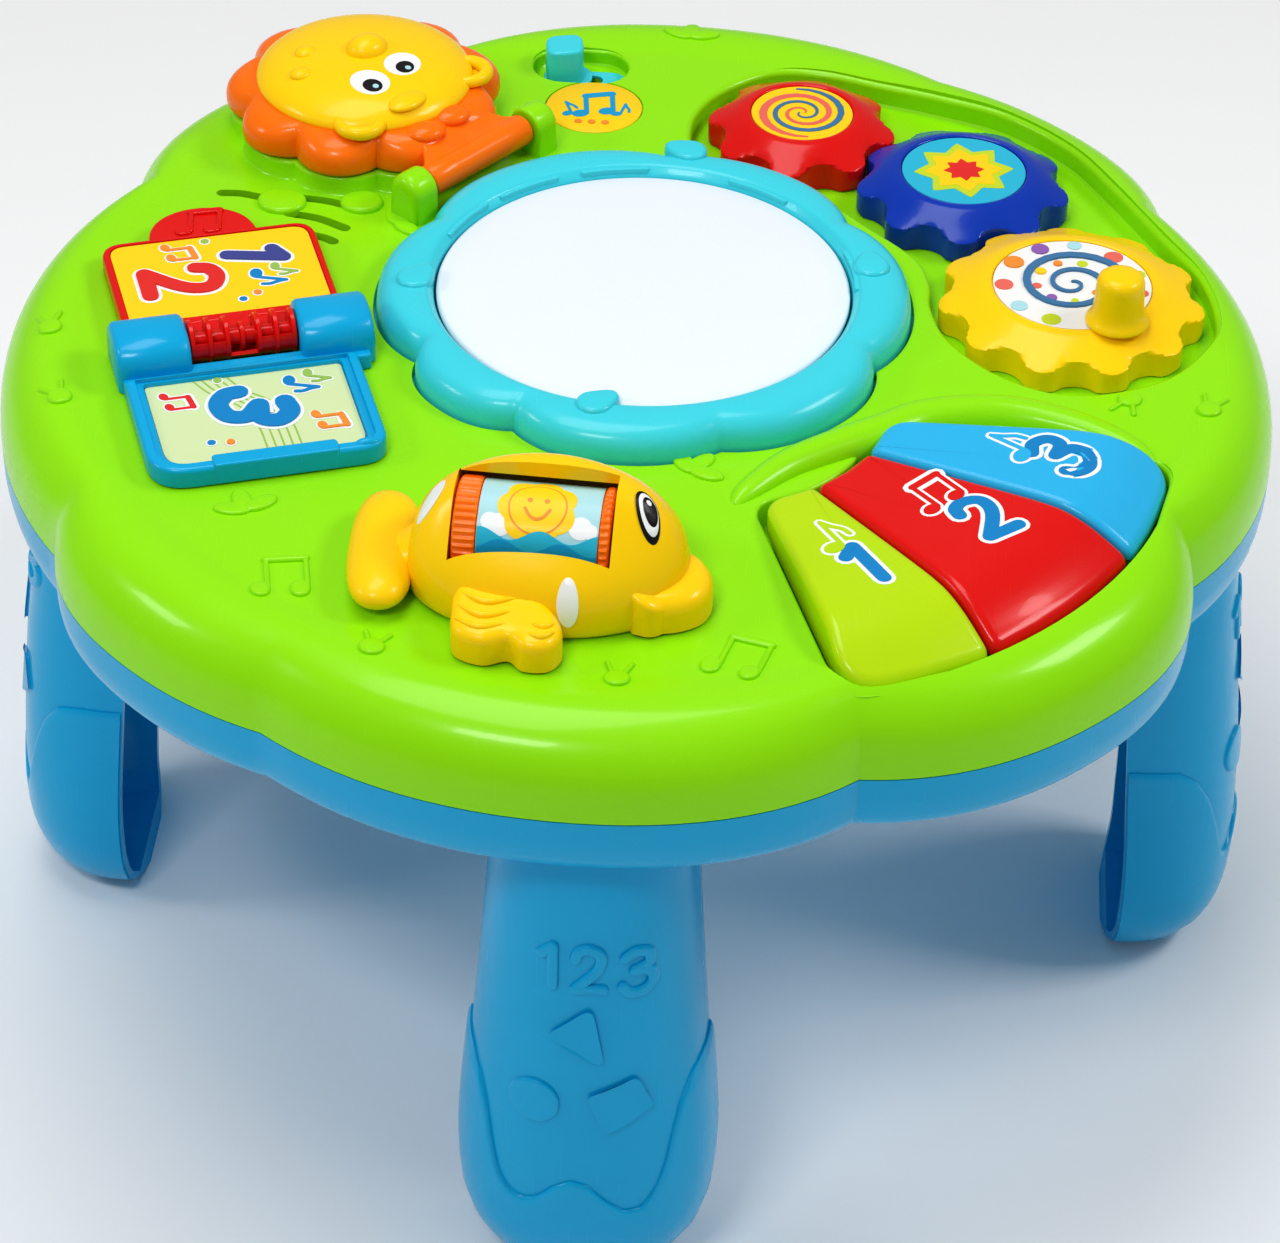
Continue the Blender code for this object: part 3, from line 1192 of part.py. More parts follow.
def key_outline(start, end):
    """Ring sector with straight play at its sides and rounded outer corners."""
    corner = in_metres(KEY_CORNER_SHARE)
    line = []
    for side, heading in ((1, start), (-1, end)):
        play = side * KEY_SIDE_PLAY
        swing = math.degrees(corner / (key_outer - corner)) * side
        middle = along(heading + swing, key_outer - corner, along(heading + 90, play, fan_place))
        corner_points = []
        for step in range(KEY_CORNER_POINTS):
            part = step / (KEY_CORNER_POINTS - 1)
            corner_points.append(along(heading - 90 * side + (90 * side + swing) * part, corner, middle))
        if side == 1:
            line += [along(heading, key_inner, along(heading + 90, play, fan_place))] + corner_points
            first_end = heading + swing
        else:
            last_start = heading + swing
            tail = corner_points[::-1] + [along(heading, key_inner, along(heading + 90, play, fan_place))]
    for step in range(1, KEY_ARC_POINTS):
        angle = first_end + (last_start - first_end) * step / KEY_ARC_POINTS
        line.append(along(angle, key_outer, fan_place))
    line += tail
    middle_angle = (start + end) / 2
    line.append(along(middle_angle, key_inner, fan_place))
    return line


for name, (start, end) in KEY_ANGLES.items():
    heading = key_middles[name]
    key = slab("key_" + name, key_outline(start, end), key_low, LEVEL_TOP, key_colours[name])
    keep(key, turned("key_form_" + name, [(0, DECK + KEY_INNER_RISE), (key_inner, DECK + KEY_INNER_RISE),
                                          (in_metres(KEY_CREST_RADIUS_SHARE), DECK + KEY_CREST_RISE),
                                          (in_metres(KEY_BROW_RADIUS_SHARE), DECK + KEY_BROW_RISE),
                                          (key_outer + KEY_FORM_PLAY, DECK),
                                          (key_outer + KEY_FORM_PLAY, key_low - WEB),
                                          (0, key_low - WEB)], fan_place, steps=FAN_STEPS, cutter=True))
    hollow = fan_outline(in_metres(KEY_HOLLOW_START_SHARE), key_outer - KEY_OUTER_WALL, start, end,
                         -KEY_WALL - KEY_SIDE_PLAY, ROOM_ARC_POINTS)
    pin_spot = along(heading, pin_radius, fan_place)
    half_slot = KEY_SLOT_DEPTH / 2
    cut(key, slab("key_room_" + name, hollow, key_low - WEB, DECK + KEY_ROOF_RISE, cutter=True),
        radial_block("key_slot_" + name, heading, pin_radius - half_slot, pin_radius + half_slot,
                     KEY_SLOT_WIDTH, key_low - WEB, KEY_PIN_HEIGHT + KEY_SLOT_RISE),
        rod("key_hole_" + name, (*along(heading - 90, REACH, pin_spot), KEY_PIN_HEIGHT),
            (*along(heading + 90, REACH, pin_spot), KEY_PIN_HEIGHT),
            KEY_PIN_RADIUS + KEY_PIN_PLAY, cutter=True))
    rod("key_pin_" + name, *key_pins[name], KEY_PIN_RADIUS, STEEL)
    dome_spot = along(heading, in_metres(DOME_RADIUS_SHARE), fan_place)
    dome_low = KEY_FLOOR + GAP
    dome_top = DECK + KEY_ROOF_RISE - GAP
    turned("key_dome_" + name, [(0, dome_top), (DOME_TOP_RADIUS, dome_top), (DOME_BASE_RADIUS, dome_low),
                                (DOME_BASE_RADIUS - DOME_SKIN, dome_low),
                                (DOME_TOP_RADIUS - DOME_SKIN, dome_top - DOME_CROWN),
                                (0, dome_top - DOME_CROWN)], dome_spot, RUBBER, SMALL_STEPS)

# Lion lid: mane, face and hinge pin
mane_low = DECK + MANE_BOTTOM_RISE
mane_top = DECK + MANE_TOP_RISE
mane_outline = petals(lion_place, in_metres(MANE_OUTER_SHARE), in_metres(MANE_NOTCH_SHARE), LION_TURN)
mane = slab("lion_mane", mane_outline, mane_low, mane_top, ORANGE)
bevel(mane, MANE_BEVEL, 1, 70.0)
rim_low = mane_low - MANE_RIM_DROP
join(mane, turned("mane_rim", [(MANE_RIM_RADIUS, mane_low + WEB), (MANE_RIM_RADIUS, rim_low),
                               (MANE_RIM_RADIUS - MANE_RIM_WALL, rim_low),
                               (MANE_RIM_RADIUS - MANE_RIM_WALL, mane_low + WEB),
                               (MANE_RIM_RADIUS, mane_low + WEB)], lion_place, cutter=True))
arm_low = LID_AXIS_HEIGHT - LID_BARREL_RADIUS / 2
arm_near = in_metres(MANE_NOTCH_SHARE) - WALL
arm_far = in_metres(LID_HINGE_REACH_SHARE)
arm_half = LID_ARM_WIDTH / 2
arm_outline = [along(HINGE_LINE, side * arm_half, along(LION_TURN, reach, lion_place))
               for reach, side in ((arm_near, -1), (arm_far, -1), (arm_far, 1), (arm_near, 1))]
join(mane, slab("lid_arm", arm_outline, arm_low, arm_low + LID_ARM_THICKNESS, cutter=True),
     rod("lid_barrel", (*along(HINGE_LINE, -LID_BARREL_LENGTH / 2, hinge_place), LID_AXIS_HEIGHT),
         (*along(HINGE_LINE, LID_BARREL_LENGTH / 2, hinge_place), LID_AXIS_HEIGHT), LID_BARREL_RADIUS,
         steps=SMALL_STEPS, cutter=True))
room_radius = MANE_RIM_RADIUS - MANE_RIM_WALL
room_top = mane_top - MANE_SKIN
room_low = mane_low - REACH
cut(mane, turned("mane_room", [(0, room_top), (room_radius, room_top), (room_radius, room_low),
                               (0, room_low)], lion_place, cutter=True),
    rod("lid_hole", (*along(HINGE_LINE, -lid_pin_half - WEB, hinge_place), LID_AXIS_HEIGHT),
        (*along(HINGE_LINE, lid_pin_half + WEB, hinge_place), LID_AXIS_HEIGHT),
        LID_PIN_RADIUS + LID_PIN_PLAY, cutter=True))
rod("lion_hinge_pin", lid_pin_start, lid_pin_end, LID_PIN_RADIUS, STEEL)
face_low = mane_top + GAP
face = turned("lion_face", [(0, face_low + FACE_RISE), (FACE_FLAT_RADIUS, face_low + FACE_RISE - FACE_FALL),
                     (FACE_SHOULDER_RADIUS, face_low + FACE_SHOULDER_RISE),
                     (FACE_RADIUS, face_low + FACE_EDGE),
                     (FACE_RADIUS, face_low), (0, face_low)], lion_place, YELLOW)



def lion_ear(centre, heading):
    """Half ring, open towards the face."""
    line = []
    for radius, way in ((LION_EAR_RADIUS, 1), (LION_EAR_HOLE, -1)):
        for step in range(LION_EAR_POINTS):
            angle = way * (180 * step / (LION_EAR_POINTS - 1) - 90)
            line.append(along(heading + angle, radius, centre))
    return line


for name, spot_share, heading in LION_EARS:
    join(face, slab("lion_ear_" + name, lion_ear(place(spot_share), heading), DECK + LION_EAR_LOW_RISE,
                    DECK + LION_EAR_TOP_RISE, cutter=True))

# Book: tray with two hinge blocks, page and labels
def book_point(across, forward):
    return turn((across, forward), BOOK_TURN)


def book_outline(left, right, front, back):
    corners = ((left, front), (right, front), (right, back), (left, back))
    return [book_point(*corner) for corner in corners]


tray_low = DECK + GAP
tray_left = in_metres(TRAY_LEFT_SHARE)
tray_right = in_metres(TRAY_RIGHT_SHARE)
tray_front = in_metres(TRAY_FRONT_SHARE)
tray_back = in_metres(TRAY_BACK_SHARE)
spine_line = in_metres(SPINE_AXIS_SHARE)
spine_height = DECK + SPINE_RISE
book_base = slab("book_base", book_outline(tray_left, tray_right, tray_front, tray_back), tray_low,
                 DECK + TRAY_RISE, SKY)
tray_floor = DECK + TRAY_FLOOR_RISE
cut(book_base, slab("tray_room", book_outline(tray_left + TRAY_RIM, tray_right - TRAY_RIM,
                                              tray_front + TRAY_RIM, tray_back - TRAY_RIM / 2),
                    tray_floor, LEVEL_TOP, cutter=True),
    slab("tray_notch", book_outline(in_metres(NOTCH_LEFT_SHARE), in_metres(NOTCH_RIGHT_SHARE),
                                    tray_front - WEB, tray_front + TRAY_RIM + WEB), tray_floor, LEVEL_TOP,
         cutter=True))
join(book_base, slab("spine_floor", book_outline(tray_left + WEB, tray_right - WEB, tray_back - TRAY_RIM,
                                                 spine_line + BLOCK_HALF), tray_low,
                     spine_height - BARREL_RADIUS - FLOAT_PLAY, cutter=True))


def block_outline():
    """Section of a hinge block: straight feet under a rounded top, given as (across, height)."""
    line = [(BLOCK_HALF, tray_low), (BLOCK_HALF, DECK + BLOCK_FOOT_RISE)]
    rise = BLOCK_TOP_RISE - BLOCK_FOOT_RISE
    for step in range(1, BLOCK_POINTS):
        angle = math.radians(180 * step / BLOCK_POINTS)
        line.append((BLOCK_HALF * math.cos(angle), DECK + BLOCK_FOOT_RISE + rise * math.sin(angle)))
    line.append((-BLOCK_HALF, DECK + BLOCK_FOOT_RISE))
    line.append((-BLOCK_HALF, tray_low))
    return line


for number, (left, right) in enumerate(places(BLOCK_SHARES)):
    middle = book_point((left + right) / 2, spine_line)
    join(book_base, upright("hinge_block_" + str(number), block_outline(), middle, right - left, BOOK_TURN,
                            cutter=True))
block_ends = places(BLOCK_SHARES)
pin_left = block_ends[0][0] + WALL
pin_right = block_ends[1][1] - WALL
book_pin_start = (*book_point(pin_left, spine_line), spine_height)
book_pin_end = (*book_point(pin_right, spine_line), spine_height)
book_bore = rod("book_bore", (*book_point(pin_left - GAP, spine_line), spine_height),
                (*book_point(pin_right + REACH, spine_line), spine_height), BOOK_PIN_RADIUS + BOOK_PIN_PLAY,
                cutter=True)
cut(book_base, book_bore)
rod("book_pin", book_pin_start, book_pin_end, BOOK_PIN_RADIUS, STEEL)

page_left = in_metres(PAGE_LEFT_SHARE)
page_right = in_metres(PAGE_RIGHT_SHARE)
page_near = in_metres(PAGE_NEAR_SHARE)
page_far = in_metres(PAGE_FAR_SHARE)
page_corner = in_metres(PAGE_CORNER_SHARE)
page_low = DECK + PAGE_BOTTOM_RISE
page_top = DECK + PAGE_TOP_RISE
tab_middle = in_metres(TAB_CENTRE_SHARE)
tab_half = in_metres(TAB_HALF_SHARE)
tab_reach = in_metres(TAB_REACH_SHARE)


def page_outline():
    """Page with rounded far corners and a rounded tab, in book coordinates."""
    line = [(page_left, page_near), (page_right, page_near)]
    corner_y = page_far - page_corner
    for step in range(PAGE_CORNER_STEPS + 1):
        line.append(along(90 * step / PAGE_CORNER_STEPS, page_corner, (page_right - page_corner, corner_y)))
    for step in range(TAB_POINTS):
        angle = math.radians(180 * step / (TAB_POINTS - 1))
        line.append((tab_middle + tab_half * math.cos(angle),
                     page_far + tab_reach * abs(math.sin(angle)) ** (2 / LOBE_POWER)))
    for step in range(PAGE_CORNER_STEPS + 1):
        angle = 90 + 90 * step / PAGE_CORNER_STEPS
        line.append(along(angle, page_corner, (page_left + page_corner, corner_y)))
    return [book_point(*spot) for spot in line]


page = slab("book_page", page_outline(), page_low, page_top, RED)
barrel_left = block_ends[0][1] + FLOAT_PLAY
barrel_right = block_ends[1][0] - FLOAT_PLAY
bridge_left = barrel_left + WEB
bridge_right = barrel_right - WEB
join(page, rod("page_barrel", (*book_point(barrel_left, spine_line), spine_height),
               (*book_point(barrel_right, spine_line), spine_height), BARREL_RADIUS, steps=SMALL_STEPS,
               cutter=True),
     slab("page_bridge", book_outline(bridge_left, bridge_right, spine_line, page_near + WALL),
          page_low + WALL, page_top, cutter=True))
cut(page, book_bore,
    slab("page_seat", book_outline(page_left + PAGE_LABEL_INSET - GAP, page_right - PAGE_LABEL_INSET + GAP,
                                   page_near + PAGE_LABEL_INSET - GAP, page_far - PAGE_LABEL_INSET + GAP),
         page_top - LABEL_SEAT, LEVEL_TOP, cutter=True))
slab("page_label", book_outline(page_left + PAGE_LABEL_INSET, page_right - PAGE_LABEL_INSET,
                                page_near + PAGE_LABEL_INSET, page_far - PAGE_LABEL_INSET),
     page_top - LABEL_SEAT + GAP, page_top - LABEL_SEAT + GAP + LABEL_THICKNESS, PAPER)
slab("tray_label", book_outline(tray_left + TRAY_LABEL_INSET, tray_right - TRAY_LABEL_INSET,
                                tray_front + TRAY_LABEL_INSET, tray_back - TRAY_LABEL_INSET),
     tray_floor + GAP, tray_floor + GAP + LABEL_THICKNESS, PAPER)

# Fish with its roller
fish_place = place(FISH_PLACE_SHARE)
fish_line = anticlockwise(smooth_outline(places(FISH_OUTLINE_SHARES), CLOSED_STEPS))
fish_rings = []
for level, scale in FISH_LEVEL_SHARES:
    fish_rings.append([(*turn((fish_place[0] + x * scale, fish_place[1] + y * scale), FISH_TURN, fish_place),
                        DECK + level * DECK_RISE) for x, y in fish_line])
fish_body = loft("fish_body", fish_rings, YELLOW)
tail_outline = anticlockwise(smooth_outline(places(TAIL_SHARES), CLOSED_STEPS))
tail = slab("fish_tail", tail_outline, DECK + GAP, DECK + TAIL_RISE, cutter=True)
join(fish_body, tail)
for name, shares, rise in (("beak", BEAK_SHARES, BEAK_RISE), ("flipper", FLIPPER_SHARES, FLIPPER_RISE)):
    limb_outline = anticlockwise(smooth_outline(places(shares), CLOSED_STEPS))
    join(fish_body, slab(name, limb_outline, DECK + LIMB_LIFT, DECK + rise, cutter=True))
roller_place = place(ROLLER_PLACE_SHARE)
roller_height = DECK + ROLLER_RISE


def roller_spot(distance):
    return (*along(FISH_TURN, distance, roller_place), roller_height)


half_roller = ROLLER_LENGTH / 2
window_half = half_roller + ROLLER_END_PLAY
window_radius = ROLLER_RADIUS + ROLLER_PLAY
window = rod("window", roller_spot(-window_half), roller_spot(window_half), window_radius,
             steps=ROUND_STEPS, cutter=True)
window_corners = ((-window_half, -window_radius), (window_half, -window_radius),
                  (window_half, WINDOW_BACK), (-window_half, WINDOW_BACK))
window_outline = [turn((roller_place[0] + x, roller_place[1] + y), FISH_TURN, roller_place)
                  for x, y in window_corners]
cut(fish_body, window, slab("window_mouth", window_outline, roller_height, LEVEL_TOP, cutter=True))
axle_half = half_roller + ROLLER_AXLE_REACH
cut(fish_body, rod("roller_bore", roller_spot(-axle_half - GAP), roller_spot(axle_half + GAP),
                   ROLLER_AXLE_RADIUS + GAP, cutter=True))
rod("roller_axle", roller_spot(-axle_half), roller_spot(axle_half), ROLLER_AXLE_RADIUS, STEEL)


def lying(thing):
    """Lay a turned piece along the roller line."""
    thing.location = roller_spot(0)
    thing.rotation_euler = (0, math.radians(90), math.radians(FISH_TURN))


wide_end = -half_roller + ROLLER_BAND_WIDE
narrow_end = half_roller - ROLLER_BAND_NARROW
bore_radius = ROLLER_AXLE_RADIUS + GAP
roller = turned("roller", [(ROLLER_RADIUS, half_roller), (ROLLER_RADIUS, narrow_end),
                           (ROLLER_CORE_RADIUS, narrow_end), (ROLLER_CORE_RADIUS, wide_end),
                           (ROLLER_RADIUS, wide_end), (ROLLER_RADIUS, -half_roller),
                           (bore_radius, -half_roller), (bore_radius, half_roller),
                           (ROLLER_RADIUS, half_roller)], (0, 0), ORANGE)
lying(roller)
sleeve_inner = ROLLER_CORE_RADIUS + GAP
roller_label = turned("roller_label", [(ROLLER_LABEL_RADIUS, narrow_end - GAP),
                                       (ROLLER_LABEL_RADIUS, wide_end + GAP), (sleeve_inner, wide_end + GAP),
                                       (sleeve_inner, narrow_end - GAP),
                                       (ROLLER_LABEL_RADIUS, narrow_end - GAP)], (0, 0), PAPER)
lying(roller_label)

# Slider knob and the switch under it
knob_floor = OVAL_FLOOR + GAP
turned("slider_knob", [(0, DECK + SLIDER_TOP_RISE), (SLIDER_RADIUS - SLIDER_EDGE, DECK + SLIDER_TOP_RISE),
                       (SLIDER_RADIUS, DECK + SLIDER_TOP_RISE - SLIDER_EDGE),
                       (SLIDER_RADIUS, knob_floor + SLIDER_FOOT_RISE),
                       (SLIDER_FOOT_RADIUS, knob_floor + SLIDER_FOOT_RISE), (SLIDER_FOOT_RADIUS, knob_floor),
                       (SLIDER_STEM_RADIUS, knob_floor), (SLIDER_STEM_RADIUS, OVAL_FLOOR - SLIDER_STEM_DROP),
                       (0, OVAL_FLOOR - SLIDER_STEM_DROP)], slider_place, AQUA, KNOB_STEPS)
box_top = OVAL_FLOOR - TUB_WALL - GAP
box_low = (slot_middle[0] - SWITCH_BOX_LENGTH / 2, slot_middle[1] - SWITCH_BOX_WIDTH / 2,
           box_top - SWITCH_BOX_HEIGHT)
box_high = (slot_middle[0] + SWITCH_BOX_LENGTH / 2, slot_middle[1] + SWITCH_BOX_WIDTH / 2, box_top)
slide_switch = block("slide_switch", box_low, box_high, DARK)
cut(slide_switch, slab("switch_groove", oval(slot_middle, SLIDER_TRAVEL + 2 * stem_play, 2 * stem_play),
                       box_top - SWITCH_GROOVE_DEPTH, box_top + WEB, cutter=True))

# Round label on the deck
turned("round_label", [(0, DECK - LABEL_SEAT + GAP + LABEL_THICKNESS),
                       (ROUND_LABEL_RADIUS, DECK - LABEL_SEAT + GAP + LABEL_THICKNESS),
                       (ROUND_LABEL_RADIUS, DECK - LABEL_SEAT + GAP), (0, DECK - LABEL_SEAT + GAP)],
       label_place, PAPER)

# Speaker and circuit board
speaker_place = place(SPEAKER_PLACE_SHARE)
speaker_top = DECK_BOTTOM - GAP
magnet_top = speaker_top - SPEAKER_DEPTH + SPEAKER_MAGNET_DEPTH
speaker_low = speaker_top - SPEAKER_DEPTH
turned("speaker", [(0, speaker_top), (SPEAKER_RADIUS, speaker_top),
                   (SPEAKER_RADIUS, speaker_top - SPEAKER_FLANGE), (SPEAKER_MAGNET_RADIUS, magnet_top),
                   (SPEAKER_MAGNET_RADIUS, speaker_low), (0, speaker_low)], speaker_place, DARK, KNOB_STEPS)
board_low = (board_place[0] - BOARD_LENGTH / 2, board_place[1] - BOARD_WIDTH / 2, BOARD_HEIGHT)
board_top = BOARD_HEIGHT + BOARD_THICKNESS
board_high = (board_place[0] + BOARD_LENGTH / 2, board_place[1] + BOARD_WIDTH / 2, board_top)
circuit_board = block("circuit_board", board_low, board_high, BOARD)
chip_half = CHIP_SIDE / 2
chip_low = (board_place[0] - chip_half, board_place[1] - chip_half, BOARD_HEIGHT + WEB)
chip_high = (board_place[0] + chip_half, board_place[1] + chip_half, board_top + CHIP_RISE)
join(circuit_board, block("chip", chip_low, chip_high, cutter=True))

# Battery case, cells, door and screws
case_low = (case_low_x - CASE_WALL, case_low_y - CASE_WALL, BASE)
case_high = (case_high_x + CASE_WALL, case_high_y + CASE_WALL, CASE_INNER_TOP + CASE_WALL)
battery_case = block("battery_case", case_low, case_high, DARK)
flange_low = BASE_FLOOR + GAP
join(battery_case, block("case_flange", (case_low[0] - CASE_FLANGE, case_low[1] - CASE_FLANGE, flange_low),
                         (case_high[0] + CASE_FLANGE, case_high[1] + CASE_FLANGE, flange_low + CASE_WALL),
                         cutter=True))
door_top = BASE + DOOR_THICKNESS
cell_end = battery_place[1] + CASE_HALF_Y
door_screw_place = (battery_place[0], cell_end + CASE_BLOCK / 2)
room_corner = (case_low_x, case_low_y, BASE - WEB)
cut(battery_case, block("cell_room", room_corner, (case_high_x, cell_end, CASE_INNER_TOP), cutter=True),
    block("door_room", room_corner, (case_high_x, case_high_y, door_top + GAP), cutter=True),
    rod("door_bore", (*door_screw_place, BASE - WEB), (*door_screw_place, DOOR_SCREW_TOP + GAP),
        DOOR_SCREW_SHAFT_RADIUS + GAP, cutter=True))
door = block("battery_door", (case_low_x + GAP, case_low_y + GAP, BASE),
             (case_high_x - GAP, case_high_y - GAP, door_top), SKY)
screw_low = BASE + DOOR_SCREW_PLAY
cut(door, turned("door_hole", [(0, door_top + WEB), (DOOR_SCREW_SHAFT_RADIUS + GAP, door_top + WEB),
                               (DOOR_SCREW_SHAFT_RADIUS + GAP, screw_low + DOOR_SCREW_HEAD_RISE + GAP),
                               (DOOR_SCREW_HEAD_RADIUS + GAP, screw_low + DOOR_SCREW_HEAD_RISE + GAP),
                               (DOOR_SCREW_HEAD_RADIUS + GAP, BASE - WEB), (0, BASE - WEB)],
                 door_screw_place, steps=SMALL_STEPS, cutter=True))
turned("door_screw", [(0, DOOR_SCREW_TOP), (DOOR_SCREW_SHAFT_RADIUS, DOOR_SCREW_TOP),
                      (DOOR_SCREW_SHAFT_RADIUS, screw_low + DOOR_SCREW_HEAD_RISE),
                      (DOOR_SCREW_HEAD_RADIUS, screw_low + DOOR_SCREW_HEAD_RISE),
                      (DOOR_SCREW_HEAD_RADIUS, screw_low), (0, screw_low)], door_screw_place, STEEL,
       SMALL_STEPS)
for number, side in enumerate((-1, 0, 1)):
    x = battery_place[0] + side * BATTERY_PITCH
    flip = 1 if side else -1
    start = battery_place[1] - flip * BATTERY_LENGTH / 2
    end = battery_place[1] + flip * (BATTERY_LENGTH / 2 - BATTERY_TIP)
    cell = rod("battery_" + "abc"[number], (x, start, BATTERY_HEIGHT), (x, end, BATTERY_HEIGHT),
               BATTERY_RADIUS, STEEL, SMALL_STEPS)
    join(cell, rod("battery_tip_" + str(number), (x, battery_place[1], BATTERY_HEIGHT),
                   (x, end + flip * BATTERY_TIP, BATTERY_HEIGHT), BATTERY_TIP_RADIUS, cutter=True))
head_top = SCREW_SEAT - GAP
for letter, spot in zip("abcd", boss_places):
    head_bottom = head_top - SCREW_HEAD_RISE
    turned("case_screw_" + letter, [(0, SCREW_TOP), (SCREW_SHAFT_RADIUS, SCREW_TOP),
                                    (SCREW_SHAFT_RADIUS, head_top), (SCREW_HEAD_RADIUS, head_top),
                                    (SCREW_HEAD_RADIUS, head_bottom), (0, head_bottom)], spot, STEEL,
           PIN_STEPS)


def with_origin(name, point):
    """Move the origin of a piece onto its joint line without moving the piece."""
    thing = bpy.data.objects[name]
    shift = Vector(point) - thing.location
    thing.data.transform(Matrix.Translation(-shift))
    thing.location = point


with_origin("lion_mane", (*hinge_place, LID_AXIS_HEIGHT))
with_origin("book_page", (*book_point((barrel_left + barrel_right) / 2, spine_line), spine_height))
for name, heading in key_middles.items():
    with_origin("key_" + name, (*along(heading, pin_radius, fan_place), KEY_PIN_HEIGHT))

# Smooth shading on the round surfaces
for thing in PARTS.objects:
    thing.data.shade_smooth()
    thing.data.set_sharp_from_angle(angle=math.radians(35))
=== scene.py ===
"""Looks of a musical activity table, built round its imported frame."""
import math

import bmesh
import bpy
from bpy.props import FloatProperty, FloatVectorProperty, IntProperty, PointerProperty
from mathutils import Matrix, Vector


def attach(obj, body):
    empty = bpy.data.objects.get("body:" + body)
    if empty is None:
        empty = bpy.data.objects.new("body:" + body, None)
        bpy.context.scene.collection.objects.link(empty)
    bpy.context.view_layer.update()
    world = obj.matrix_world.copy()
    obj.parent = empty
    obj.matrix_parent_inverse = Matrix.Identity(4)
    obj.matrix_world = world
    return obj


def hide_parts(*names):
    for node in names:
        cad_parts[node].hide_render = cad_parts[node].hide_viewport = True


bl_info = {
    "name": "Musical activity table",
    "version": (1, 0, 0),
    "blender": (4, 5, 0),
    "location": "View3D > Sidebar > Activity table",
    "description": "Builds the finished pieces of a musical activity table",
    "category": "Add Mesh",
}

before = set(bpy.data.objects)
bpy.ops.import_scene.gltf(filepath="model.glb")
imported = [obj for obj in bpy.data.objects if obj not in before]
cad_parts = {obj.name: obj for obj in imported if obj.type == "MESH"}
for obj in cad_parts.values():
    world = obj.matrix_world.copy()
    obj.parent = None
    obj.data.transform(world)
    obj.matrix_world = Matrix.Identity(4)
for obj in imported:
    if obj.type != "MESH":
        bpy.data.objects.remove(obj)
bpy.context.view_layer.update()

# Heights in metres: seam of the shells, deck, floor, wall, floors of the wells, top of cutters, ink
SEAM = 0.150
DECK = 0.170
BASE = 0.134
SKIN = 0.0025
RECESS_FLOOR = 0.164
KEY_FLOOR = 0.1625
OVAL_FLOOR = 0.1658
LID_FLOOR = 0.156
ABOVE = 0.180
INK = 0.00008

# Small gaps and steps in metres
EDGE_LIP = 0.0004
RELIEF_ROOT = 0.0012
INK_ROOT = 0.0002
WELD = 0.000002

# Steps round a rounded edge
EDGE_STEPS = 5

# Outline of the table: angles of the creases in degrees, radii in metres
CREASES = (-25.0, 30.0, 61.2, 113.0, 155.0, 210.0, 241.2, 293.0)
CREASE_RADII = (0.1472, 0.1505, 0.1539, 0.1505, 0.1472, 0.1505, 0.1539, 0.1505)
LOBE_RADII = (0.1545, 0.1570, 0.1592, 0.1592, 0.1545, 0.1570, 0.1592, 0.1592)
MEAN_RADIUS = 0.1573
LOBE_POWER = 2.6

# Outline of the drum button
DRUM_CENTRE = (0.0002, 0.0125)
DRUM_CREASES = (-151.0, -116.0, -69.0, -21.0, 35.0, 88.0, 155.0)
DRUM_CREASE_RADII = (0.0595, 0.0605, 0.0620, 0.0610, 0.0605, 0.0620, 0.0605)
DRUM_LOBE_RADII = (0.0650, 0.0655, 0.0660, 0.0655, 0.0650, 0.0655, 0.0650)

# Places of the pieces
LION = (-0.0770, 0.0900)
LION_TURN = -37.8
FAN = (0.0195, -0.0292)
KEY_ANGLES = {"green": (-71.5, -51.9), "red": (-51.9, -25.8), "blue": (-25.8, -5.6)}
GEARS = {
    "red": (8, (0.0353, 0.0995), 0.0134),
    "blue": (9, (0.0774, 0.0758), 0.0160),
    "yellow": (11, (0.1046, 0.0260), 0.0197),
}
GEAR_MODULE = 0.005673
BOOK_TURN = 18.5
FISH = (-0.0130, -0.1000)
ROLLER = (-0.0160, -0.1010, 0.1840)


class TableSizes(bpy.types.PropertyGroup):
    rim_points: IntProperty(
        name="Rim points", description="Points along each lobe of the rim", default=26, min=6, max=60)
    edge_round: FloatProperty(
        name="Edge rounding", description="Radius of the rounded edges of the wells",
        default=0.0016, min=0.0002, max=0.003, unit="LENGTH", subtype="DISTANCE")
    relief: FloatProperty(
        name="Relief", description="Height of the raised leaves and notes on the deck",
        default=0.0009, min=0.0002, max=0.002, unit="LENGTH", subtype="DISTANCE")
    ink: FloatProperty(
        name="Print", description="Thickness of one printed layer on a label",
        default=INK, min=0.00002, max=0.0003, unit="LENGTH", subtype="DISTANCE")


def colour_choice(label, about, value):
    return FloatVectorProperty(name=label, description=about, default=value, min=0.0, max=1.0,
                               size=3, subtype="COLOR")


